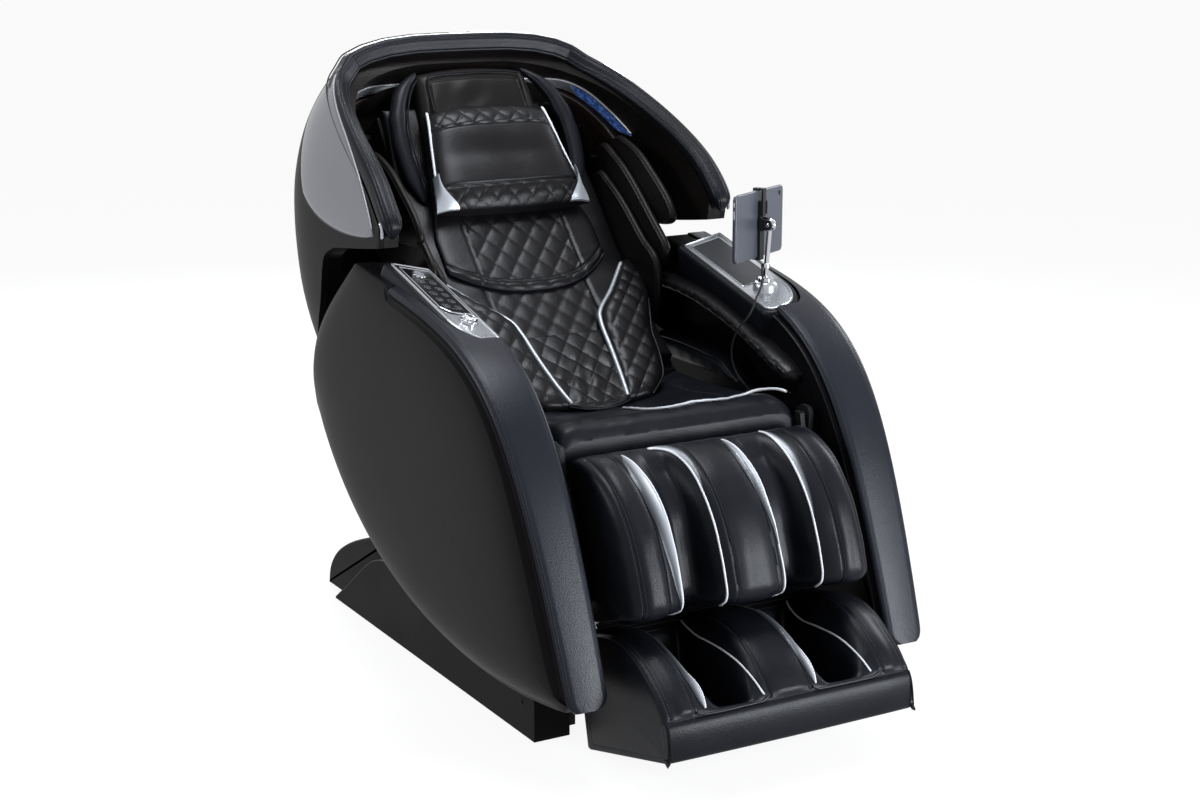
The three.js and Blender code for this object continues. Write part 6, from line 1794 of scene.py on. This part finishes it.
@dataclass
class Legs:
    """Calf pads and foot rest."""

    shop: Workshop
    lean: float = math.radians(14.7)
    foot_front: Pair = (-712.0, 78.0)

    def on_foot(self, points: Sequence[Pair]) -> np.ndarray:
        """Points along and up from the sole's front, in the side view."""
        p = np.asarray(points, float)
        cos, sin = math.cos(self.lean), math.sin(self.lean)
        return np.column_stack([self.foot_front[0] + p[:, 0] * cos + p[:, 1] * sin,
                                self.foot_front[1] - p[:, 0] * sin + p[:, 1] * cos])

    def _bands(self, skin: Skin, seams: Sequence[tuple[float, float]], seed: int, start: float) -> Grid:
        """Swelling of the front bands, seams sunk into it and creases.

        Args:
            skin: the surface.
            seams: x and depth of each seam.
            seed: which creases it gets.
            start: the share down it from which the pads swell.

        Returns:
            A height for each point of the surface.
        """
        x = np.abs(skin.x)[None, :]
        u = skin.u[:, None]
        flat = 1 - smooth(skin.deep, 0.02, 0.2)
        rise = 4.0 * np.exp(-((x / 36.0) ** 4)) + 4.0 * np.exp(-(((x - 209) / 20.0) ** 4))
        height = rise * flat * smooth(u, start, start + 0.1)
        for place, depth in seams:
            height = height - depth * bell(x, place, 2.4) * smooth(u, start, start + 0.04)
        spots = np.stack([skin.grid[..., 0], skin.grid[..., 1] * 0.7, skin.grid[..., 2]], axis=-1)
        return height + 0.8 * noise_field(spots, 60.0, seed) + 1.6 * noise_field(spots, 90.0, seed + 1) * skin.deep

    def _calf(self) -> None:
        """The calf pads: three walls with silver insets and a channel for each calf."""
        front = [(-363, 498), (-366, 524), (-384, 538), (-430, 534), (-478, 513), (-520, 480), (-556, 436),
                 (-582, 385), (-598, 342), (-604, 318), (-598, 301), (-576, 290), (-510, 266), (-452, 252)]
        floor = [(-363, 498), (-366, 518), (-384, 529), (-416, 512), (-450, 486), (-480, 452), (-502, 412),
                 (-516, 370), (-525, 334), (-529, 312), (-526, 296), (-514, 284), (-482, 268), (-450, 254)]
        back = [(-368, 490), (-370, 494), (-372, 488), (-376, 470), (-382, 450), (-392, 420), (-400, 390),
                (-410, 356), (-420, 324), (-426, 306), (-430, 294), (-436, 284), (-440, 268), (-444, 256)]
        knots = [(0, 0, 0), (20, 0, 0), (36, 0, 0), (43, 0.0, 0), (50, 0.03, 0), (58, 0.12, 0), (66, 0.28, 0),
                 (73, 0.45, 0), (79, 0.66, 0), (84, 0.86, 0), (90, 0.97, 0), (98, 1, 0), (108, 1, 0), (116, 0.985, 0),
                 (122, 0.93, 0), (127, 0.82, 0), (132, 0.64, 0), (140, 0.42, 0), (150, 0.24, 0), (162, 0.11, 0),
                 (174, 0.035, 0), (185, 0, 0), (198, 0, 0), (214, 0, 0), (226, 0, 0.004), (234, 0, 0.02),
                 (241, 0, 0.05), (247, 0, 0.10), (250.6, 0, 0.17), (252, 0, 0.26), (252.4, 0, 0.5), (252, 0, 0.8),
                 (250, 0, 0.97)]
        skin = Skin(np.array(front), np.array(floor), np.array(back), knots, 150, 170, (0.13, 0.27))
        skin.swell(self._bands(skin, ((43, 2.6), (185, 2.6), (234, 2.2)), 41, 0.16))
        self.shop.make("calf_skin", skin.body(), LEATHER, "leg_rest", ("calf_pads",), 60)
        strips, cords, threads = [], [], []
        # far edge of the silver leather and the piping next to it, for each wall of the two channels
        walls = (
            (((0.20, -173), (0.25, -183), (0.31, -186), (0.40, -183), (0.52, -175), (0.66, -162), (0.78, -153)),
             ((0.20, -171), (0.25, -160), (0.31, -154), (0.40, -151), (0.52, -150), (0.66, -150), (0.78, -151)), -158),
            (((0.165, -106), (0.145, -90), (0.158, -70), (0.19, -56), (0.25, -50), (0.32, -53), (0.38, -59)),
             ((0.165, -104), (0.175, -88), (0.20, -74), (0.235, -65), (0.28, -61), (0.33, -60), (0.38, -60)), -52),
            (((0.19, 44), (0.24, 37), (0.30, 34), (0.36, 36), (0.42, 42), (0.48, 51), (0.54, 60)),
             ((0.19, 46), (0.24, 54), (0.30, 59), (0.36, 61), (0.42, 61), (0.48, 61), (0.54, 61)), 52),
            (((0.165, 140), (0.19, 157), (0.24, 163), (0.30, 163), (0.36, 160), (0.43, 156), (0.50, 151)),
             ((0.165, 138), (0.19, 145), (0.24, 149), (0.30, 150), (0.36, 150), (0.43, 150), (0.50, 150)), 158),
        )
        for far_edge, line, end in walls:
            strips.append(skin.patch(far_edge, line, 1.0))
            last = line[-1]
            rest = [(u, last[1]) for u in (0.60, 0.68, 0.76, 0.82) if u > last[0] + 0.03]
            cords.append(tube(skin.line([*line, *rest, (0.85, (last[1] + end) / 2), (0.872, end)], 120, 1.5), 2.0))
        for side in (-1.0, 1.0):
            for x in (40.0, 46.0, 188.0):
                threads.append(stitches(skin.line([(0.18, side * x), (0.5, side * x), (0.83, side * x)], 90, 0.2)))
            for x in (230.5, 237.5):
                threads.append(stitches(skin.line([(0.14, side * x), (0.5, side * x), (0.85, side * x)], 90, 0.1)))
        self.shop.make("calf_insets", merged(strips), SILVER_LEATHER_PAINTED_LIGHT, "leg_rest", fade=patch_painted_light(4))
        self.shop.make("calf_piping", merged(cords), PIPING, "leg_rest")
        for x in (-186.0, -104.0, -34.0, 34.0, 104.0, 186.0):
            for step in (-3.2, 3.2):
                threads.append(stitches(skin.line([(0.07, x + step), (0.12, x + step), (0.16, x + step)], 30, 0.6),
                                        5.0, 3.2))
        threads.append(stitches(skin.line([(0.165, -180), (0.165, 0), (0.165, 180)], 160, 0.6)))
        self.shop.make("calf_stitching", merged(threads), THREAD, "leg_rest")
        welt = skin.line([(0.062, -244), (0.062, 0), (0.062, 244)], 160, 1.0)
        self.shop.make("knee_welt", tube(welt, 2.2), LEATHER, "leg_rest")

    def _foot(self) -> None:
        """The foot pads: walls, soles and heels in one skin."""
        front = self.on_foot([(-14, 70), (-15, 78), (-11, 90), (3, 115), (28, 146), (60, 176), (96, 198), (140, 211),
                              (184, 215), (224, 213), (243, 204), (250, 186), (252, 158), (252, 130)])
        floor = self.on_foot([(-14, 70), (-13, 76), (-8, 79), (0, 74), (8, 58), (26, 41), (58, 32), (104, 30),
                              (164, 36), (206, 92), (226, 186), (247, 193), (252, 158), (252, 130)])
        back = self.on_foot([(-6, 60), (-4, 50), (0, 40), (4, 30), (12, 22), (30, 17), (60, 15), (104, 15),
                             (158, 15), (204, 16), (236, 18), (250, 30), (252, 80), (252, 120)])
        knots = [(0, 0, 0), (20, 0, 0), (36, 0, 0), (43, 0.0, 0), (50, 0.02, 0), (58, 0.09, 0), (65, 0.22, 0),
                 (71, 0.40, 0), (77, 0.62, 0), (82, 0.84, 0), (88, 0.96, 0), (98, 1, 0), (112, 1, 0), (128, 1, 0),
                 (140, 0.96, 0), (147, 0.85, 0), (153, 0.66, 0), (159, 0.46, 0), (167, 0.28, 0), (177, 0.13, 0),
                 (188, 0.035, 0), (199, 0, 0), (212, 0, 0), (228, 0, 0), (238, 0, 0.004), (245, 0, 0.012),
                 (251, 0, 0.04), (255, 0, 0.09), (257, 0, 0.17), (257.6, 0, 0.4), (257, 0, 0.75), (254, 0, 0.97)]
        skin = Skin(front, floor, back, knots, 150, 170, (0.02, 0.13))
        skin.swell(self._bands(skin, ((43, 2.4), (199, 2.4), (246, 1.8)), 63, 0.05))
        self.shop.make("foot_skin", skin.body(), LEATHER, "foot_rest", ("foot_pads",), 60)
        strips, cords, threads = [], [], []
        walls = (
            (((0.13, -177), (0.20, -184), (0.29, -191), (0.40, -196), (0.52, -199), (0.64, -196), (0.73, -182)),
             ((0.13, -175), (0.20, -171), (0.29, -168), (0.40, -167), (0.52, -167), (0.64, -170), (0.73, -178)), True),
            (None, ((0.13, -54), (0.20, -59), (0.29, -63), (0.40, -65), (0.52, -65), (0.64, -62), (0.73, -56)), False),
            (((0.13, 52), (0.20, 47), (0.29, 41), (0.40, 35), (0.52, 31), (0.64, 34), (0.73, 48)),
             ((0.13, 54), (0.20, 59), (0.29, 63), (0.40, 65), (0.52, 65), (0.64, 62), (0.73, 53)), True),
            (None, ((0.13, 175), (0.20, 171), (0.29, 168), (0.40, 167), (0.52, 167), (0.64, 170), (0.73, 178)), False),
        )
        for far_edge, line, wide in walls:
            if wide:
                strips.append(skin.patch(far_edge, line, 1.0))
            cords.append(tube(skin.line(line, 110, 1.5), 1.8))
        for side in (-1.0, 1.0):
            for x in (46.0, 202.0):
                threads.append(stitches(skin.line([(0.12, side * x), (0.4, side * x), (0.68, side * x)], 90, 0.2)))
            for x in (243.0, 249.0):
                threads.append(stitches(skin.line([(0.06, side * x), (0.4, side * x), (0.72, side * x)], 90, 0.1)))
        self.shop.make("foot_insets", merged(strips), SILVER_LEATHER_PAINTED_LIGHT, "foot_rest", fade=patch_painted_light(2))
        self.shop.make("foot_piping", merged(cords), PIPING, "foot_rest")
        threads.append(stitches(skin.line([(0.035, -240), (0.035, 0), (0.035, 240)], 200, 0.8)))
        self.shop.make("foot_stitching", merged(threads), THREAD, "foot_rest")
        edges = []
        for side in (-1.0, 1.0):
            edges.append(tube(skin.line([(0.10, side * 47), (0.055, side * 58), (0.045, side * 72), (0.04, side * 112),
                                         (0.04, side * 148), (0.05, side * 176), (0.10, side * 195)], 90, 1.2), 2.2))
        self.shop.make("toe_piping", merged(edges), LEATHER, "foot_rest")

    def _tray(self) -> None:
        """The smooth front panel and tray below the foot pads, with the guide rods."""
        nose = along([(2, 2), (-7, 4), (-13, 16), (-18, 36), (-20, 54), (-18, 66), (-11, 72.5), (-3, 72)], 40)
        rest = np.array([(2, 60), (2, 14), (252, 14), (252, 132), (262, 150), (272, 146), (276, 6), (268, 1)], float)
        outline = self.on_foot(np.vstack([nose, rest]))
        rings = [lift(x, inset(outline, depth)) for x, depth in
                 ((-258.6, 5.0), (-258.4, 1.8), (-256.5, 0.5), (-252, 0.0), (-200, -0.6), (-90, -1.2), (0, -1.4),
                  (90, -1.2), (200, -0.6), (252, 0.0), (256.5, 0.5), (258.4, 1.8), (258.6, 5.0))]
        self.shop.make("foot_front", loft(rings), LEATHER, "foot_rest", ("foot_housing",), 50)
        for name, side in SIDES:
            cheek = resample(self.on_foot(np.vstack([
                along([(-6, 3), (-12, 16), (-17, 36), (-19, 54), (-17, 68)], 24),
                along([(-15, 78), (-11, 90), (3, 115), (28, 146), (60, 176), (96, 198), (140, 211), (184, 215),
                       (224, 213), (243, 204), (252, 186)], 70),
                [(262, 150), (272, 140), (275, 8), (268, 3)]])), 150, closed=True)
            layers = [lift(249.0, inset(cheek, 7.0)), lift(253.0, inset(cheek, 5.0)), lift(256.4, inset(cheek, 4.2)),
                      lift(257.6, inset(cheek, 6.0))]
            core = cheek.mean(axis=0)
            last = inset(cheek, 9.0)
            for share in np.linspace(0.96, 0.04, 16):
                layers.append(lift(258.0 + 2.6 * (1 - share ** 2), core + (last - core) * share))
            self.shop.make(f"foot_cheek_{name}", mirrored(loft(layers), side), LEATHER, "foot_rest")
            tip = self.on_foot([(-10, 0), (-14, 3), (-8, 14), (2, 12)])
            fin = loft([lift(256.5, tip), lift(261.5, tip * 1.0 + np.array([-2.0, -3.0]))])
            self.shop.make(f"foot_tab_{name}", mirrored(fin, side), LEATHER, "foot_rest")
            line = self.on_foot(along([(-17, 8), (-20, 36), (-20, 56), (-16, 72)], 40))
            self.shop.make(f"corner_piping_{name}", mirrored(tube(lift(255.6, line), 1.8), side), LEATHER,
                           "foot_rest")
        bar = self.on_foot([(261.5, 60), (261.5, 240), (261.5, 416)])
        rods = [tube(lift(x, resample(bar, 12)), 9.0, 24) for x in (-150.0, 150.0)]
        self.shop.make("guide_rods", merged(rods), CHROME, "foot_rest", angle=30)

    def _bellows(self) -> None:
        """The soft black folds between the calf pads and the foot rest, in the darker leather that paints shade."""
        share = np.linspace(0, 1, 60)
        y = -452 + 20 * share + 4.0 * np.cos(share * 10 * math.pi)
        z = 268 - 66 * share
        across = np.linspace(-238, 238, 40)
        grid = np.stack([np.broadcast_to(across[None, :], (60, 40)), np.broadcast_to(y[:, None], (60, 40)),
                         np.broadcast_to(z[:, None], (60, 40))], axis=-1)
        piece = self.shop.make("leg_bellows", shell(grid, grid + np.array([0, 2.4, 0])), LEATHER_PAINTED_SHADE, None)
        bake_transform(piece)

    def build(self) -> None:
        """Builds the leg rest's and the foot rest's padding."""
        self._calf()
        self._foot()
        self._tray()
        self._bellows()


# ---------------------------------------------------------------- tablet and mechanics
@dataclass
class Tablet:
    """The tablet on its stem, and its cable."""

    shop: Workshop
    hub: tuple[float, float, float] = (332.0, -131.0, 878.0)
    turn: float = math.radians(29.4)
    half: tuple[float, float] = (103.0, 67.0)
    near: float = 22.4
    thickness: float = 8.5
    stem_foot: tuple[float, float] = (332.0, -118.0)
    route: tuple[tuple[float, float, float], ...] = (
        (321.3, -122.5, 796), (318, -127, 784), (313, -134, 766), (301, -145, 752), (284, -158, 740),
        (268, -171, 724), (255, -172, 706), (247, -156, 684), (244, -142, 660), (243, -136, 636),
        (243, -139, 614), (245, -149, 594), (250, -164, 577), (258, -176, 562), (267, -182, 548),
        (276, -185, 532), (286, -186, 519), (298.3, -186, 514))
    gauge: float = 4.0

    def placed(self, points: np.ndarray) -> np.ndarray:
        """Points of the tablet's own frame, in the chair's."""
        c, s = math.cos(self.turn), math.sin(self.turn)
        return np.asarray(points, float) @ np.array([[c, s, 0], [-s, c, 0], [0, 0, 1]]) + np.array(self.hub)

    def _plate(self, layers: Sequence[tuple[float, float]], half: tuple[float, float], corner: float) -> tuple[
            np.ndarray, Faces]:
        """A rounded plate through pairs of inset and depth."""
        turn = np.linspace(0, 2 * math.pi, 80, endpoint=False)
        c, s = np.cos(turn), np.sin(turn)
        base = np.column_stack([np.sign(c) * (half[0] - corner) + corner * c, np.sign(s) * (half[1] - corner)
                                + corner * s])
        rings = []
        for edge, depth in layers:
            ring = base * (1 - edge / np.array(half))
            rings.append(self.placed(np.column_stack([ring[:, 0], np.full(80, self.near + depth), ring[:, 1]])))
        return loft(rings)

    def _round(self, radius_at: Sequence[tuple[float, float]], start: np.ndarray,
               end: np.ndarray) -> tuple[np.ndarray, Faces]:
        """A turned body between two points, through pairs of share and radius."""
        way = (end - start) / np.linalg.norm(end - start)
        side = np.cross(way, (0.0, 1.0, 0.3))
        side /= np.linalg.norm(side)
        other = np.cross(way, side)
        turn = np.linspace(0, 2 * math.pi, 40, endpoint=False)
        ring = np.cos(turn)[:, None] * side + np.sin(turn)[:, None] * other
        return loft([start + (end - start) * share + ring * radius for share, radius in radius_at])

    def _stem(self) -> None:
        """The chrome stem: collar, rod, ring and ball."""
        hub = np.array(self.hub)
        foot = np.array([*self.stem_foot, 763.4])
        parts = [
            self._round(((0, 14.2), (0.04, 15), (0.6, 15), (0.8, 14), (0.92, 11.6), (1.0, 7.5)), foot,
                        foot + (0, 0, 9)),
            self._round(((0, 5), (1, 5)), foot + (0, 0, 8), hub),
            self._round(((0, 7.6), (0.12, 9), (0.88, 9), (1, 7.6)), np.array([*self.stem_foot, 790.0]),
                        np.array([*self.stem_foot, 800.0])),
        ]
        arc = np.linspace(-0.5, 0.5, 19)
        ball = [((a + 0.5), max(13 * math.cos(a * math.pi), 1.2)) for a in arc]
        axis = self.placed(np.array([[-11.5, 0, 0], [11.5, 0, 0]])) 
        parts.append(self._round(ball, axis[0], axis[1]))
        pin = self.placed(np.array([[-14.0, 0, 0], [14.0, 0, 0]]))
        parts.append(self._round(((0, 3.2), (0.03, 4), (0.97, 4), (1, 3.2)), pin[0], pin[1]))
        self.shop.make("stem_chrome", merged(parts), CHROME, "stem", ("tablet_stem",), 30)

    def _case(self) -> None:
        """The tablet: grey case, dark glass towards the sitter and a few small marks."""
        t = self.thickness
        self.shop.make("tablet_back", self._plate(((12, 0.5), (5, 0.16), (2.6, 0.0), (1.4, 0.35), (0.5, 1.2), (0, 2.4),
                                                   (0, t - 2), (0.4, t - 0.9), (1.2, t - 0.2), (2, t)), self.half,
                                                  9.5), TABLET, "tablet_head", ("tablet",), 35)
        self.shop.make("tablet_glass", self._plate(((0.4, t - 0.1), (0, t + 0.15), (0.6, t + 0.4)),
                                                   (100.5, 64.5), 7.5), GLASS_BLACK, "tablet_head")
        lens = self._plate(((0, 0.2), (0, -0.7), (0.6, -1.0)), (5.0, 5.0), 5.0)
        move = self.placed(np.array([[88.0, 0.0, 52.0]]))[0] - np.array(self.hub)
        self.shop.make("tablet_lens", (lens[0] + move, lens[1]), GLASS_BLACK, "tablet_head")
        seam = []
        for height in (-67.2, 67.2):
            line = self.placed(np.array([(x, self.near + 4.4, height) for x in np.linspace(-90, 90, 12)]))
            seam.append(tube(line, 0.5, 6))
        for across in (-103.2, 103.2):
            line = self.placed(np.array([(across, self.near + 4.4, z) for z in np.linspace(-54, 54, 10)]))
            seam.append(tube(line, 0.5, 6))
        self.shop.make("tablet_seam", merged(seam), GLASS_BLACK, "tablet_head")
        keys = []
        for low, high in ((20.0, 38.0), (44.0, 53.0)):
            line = self.placed(np.array([(-103.4, self.near + 4.6, z) for z in np.linspace(low, high, 5)]))
            keys.append(tube(line, 1.2, 8))
        self.shop.make("tablet_keys", merged(keys), SILVER, "tablet_head")

    def _cable(self) -> None:
        """The thin black cable from the ring to the side of the seat."""
        line = along(self.route, 160) * MM
        curve = bpy.data.curves.new("cable", "CURVE")
        curve.dimensions = "3D"
        run = curve.splines.new("POLY")
        run.points.add(len(line) - 1)
        run.points.foreach_set("co", np.column_stack([line, np.ones(len(line))]).ravel())
        curve.bevel_depth = self.gauge / 2 * MM
        curve.bevel_resolution = 4
        cable = bpy.data.objects.new("cable", curve)
        bpy.context.scene.collection.objects.link(cable)
        self.shop.dress(cable, RUBBER, "seat", ("tablet_cable",))
        self.shop.make("cable_grommet", tube(np.array([(297.0, -186.2, 514.6), (299.5, -186, 513.6),
                                                       (302.0, -186, 512.8)]), 4.6, 14), RUBBER, "seat")

    def build(self) -> None:
        """Builds the tablet, its stem and its cable."""
        self._stem()
        self._case()
        self._cable()
        self.shop.repaint(PLASTIC, "tablet_clamp", "clamp_jaw")


@dataclass
class Base:
    """Base covers, mechanics and everything that keeps its frame shape."""

    shop: Workshop

    def _rear(self) -> None:
        """The rounded rear cover over the base: an arch with two cheeks and an opening for the inlet."""
        arch = np.vstack([bezier((688, 1), (690, 62), (640, 112), (453, 171), 40)[:-1],
                          bezier((453, 171), (420, 180), (360, 200), (330, 204), 14)])
        outline = resample(np.vstack([arch, [(330, 120), (560, 1)]]), 160, closed=True)
        layers = ((279, 0.0), (285, 0.4), (289, 2.0), (291.4, 5.0), (292, 9.0))
        cheek = loft([lift(x, inset(outline, d)) for x, d in layers])
        parts = [mirrored(cheek, side) for _, side in SIDES]
        for start, end, low, high in ((-279.0, -25.4, 1.0, 204.0), (25.4, 279.0, 1.0, 204.0),
                                      (-25.4, 25.4, 1.0, 22.6), (-25.4, 25.4, 55.4, 204.0)):
            inner = arch[(arch[:, 1] > low) & (arch[:, 1] < high), 1]
            heights = np.concatenate([[low], inner, [high]])
            line = np.column_stack([np.interp(heights, arch[:, 1], arch[:, 0]), heights])
            way = tangents(line)
            ring = np.vstack([line, (line + 5.0 * np.column_stack([-way[:, 1], way[:, 0]]))[::-1]])
            parts.append(loft([lift(start, ring), lift(end, ring)]))
        self.shop.make("rear_hump", merged(parts), COVER, "base", ("rear_cover",), angle=50)

    def _side_trim(self) -> None:
        """A thin bead along the top of each side cover and its screws."""
        edge = along([(-346, 92), (-200, 105), (0, 129), (150, 157), (255, 168), (345, 154), (408, 125), (512, 51),
                      (578, 6)], 110)
        for name, side in SIDES:
            self.shop.make(f"cover_bead_{name}", mirrored(tube(lift(317.6, edge), 1.5), side), PLASTIC, "base")
            screws = []
            for y, z in ((-300, 62), (-60, 86), (180, 120)):
                spin = np.linspace(0, 2 * math.pi, 22, endpoint=False)
                screws.append(loft([np.column_stack([np.full(22, 317.4 + out), y + r * np.cos(spin),
                                                     z + r * np.sin(spin)])
                                    for out, r in ((0, 5), (1.4, 4.8), (2.2, 3.6), (2.3, 2.2), (1.2, 1.8),
                                                   (1.0, 0.4))]))
            self.shop.make(f"cover_screws_{name}", mirrored(merged(screws), side), STEEL, "base", angle=30)

    def build(self) -> None:
        """Builds the trims and dresses the mechanics."""
        self._rear()
        self._side_trim()
        shop = self.shop
        shop.repaint(COVER, "base_cover_left", "base_cover_right")
        shop.repaint(PLASTIC, "power_inlet", "control_box", "air_pump")
        shop.repaint(RUBBER, "transport_wheels", "roller_upper_left", "roller_upper_right", "roller_lower_left",
                     "roller_lower_right")
        shop.repaint(STEEL, "base_frame", "slide_carriage", "seat_frame", "back_frame", "calf_frame",
                     "massage_carriage", "knead_shaft", "recline_actuator")
        shop.repaint(CHROME, "recline_rod")


# ---------------------------------------------------------------- padding by simulation
@dataclass
class Stuffing:
    """Fills cushions with a short cloth simulation."""

    frames: int = 20
    pressure: float = 4.0
    cap: float = 12.0

    def fill(self, piece: bpy.types.Object, voxel: float) -> None:
        """Inflates one cushion under its cover.

        Args:
            piece: the cushion.
            voxel: the size of the remeshed cells, in millimetres.
        """
        remesh = piece.modifiers.new("remesh", "REMESH")
        remesh.mode = "VOXEL"
        remesh.voxel_size = voxel * MM
        apply_modifiers(piece)
        start = np.empty(len(piece.data.vertices) * 3)
        piece.data.vertices.foreach_get("co", start)
        cloth = piece.modifiers.new("cloth", "CLOTH")
        cloth.settings.use_pressure = True
        cloth.settings.uniform_pressure_force = self.pressure
        cloth.settings.tension_stiffness = 40
        cloth.settings.compression_stiffness = 40
        cloth.settings.bending_stiffness = 8
        cloth.settings.effector_weights.gravity = 0.0
        cloth.point_cache.frame_start = 1
        cloth.point_cache.frame_end = self.frames
        scene = bpy.context.scene
        for step in range(1, self.frames + 1):
            scene.frame_set(step)
        apply_modifiers(piece)
        scene.frame_set(1)
        end = np.empty_like(start)
        piece.data.vertices.foreach_get("co", end)
        move = (end - start).reshape(-1, 3)
        size = np.linalg.norm(move, axis=1, keepdims=True)
        limit = self.cap * MM
        move *= np.minimum(1.0, limit / np.maximum(size, 1e-9)) * 0.35
        piece.data.vertices.foreach_set("co", (start.reshape(-1, 3) + move).ravel())
        smoother = piece.modifiers.new("smooth", "SUBSURF")
        smoother.levels = smoother.render_levels = 1
        apply_modifiers(piece, 80.0)
        LOG.info("%s filled over %d frames, moved at most %.1f mm", piece.name, self.frames,
                 float(size.max()) / MM)


def main() -> None:
    """Builds the scene: camera and cord first, then the chair from the pods inwards."""
    logging.basicConfig(level=logging.INFO, format="%(name)s: %(message)s")
    studio = Studio()
    studio.camera()
    shop = Workshop()
    Tablet(shop).build()
    studio.lamps()
    studio.surroundings()
    studio.floor()
    arms = Arms(shop)
    Pods(shop).build(arms)
    arms.build()
    Hood(shop).build()
    stuffed = Back(shop).build()
    stuffed.append(Seat(shop).build())
    Legs(shop).build()
    Base(shop).build()
    LOG.info("the chair is built")


if __name__ == "__main__":
    main()
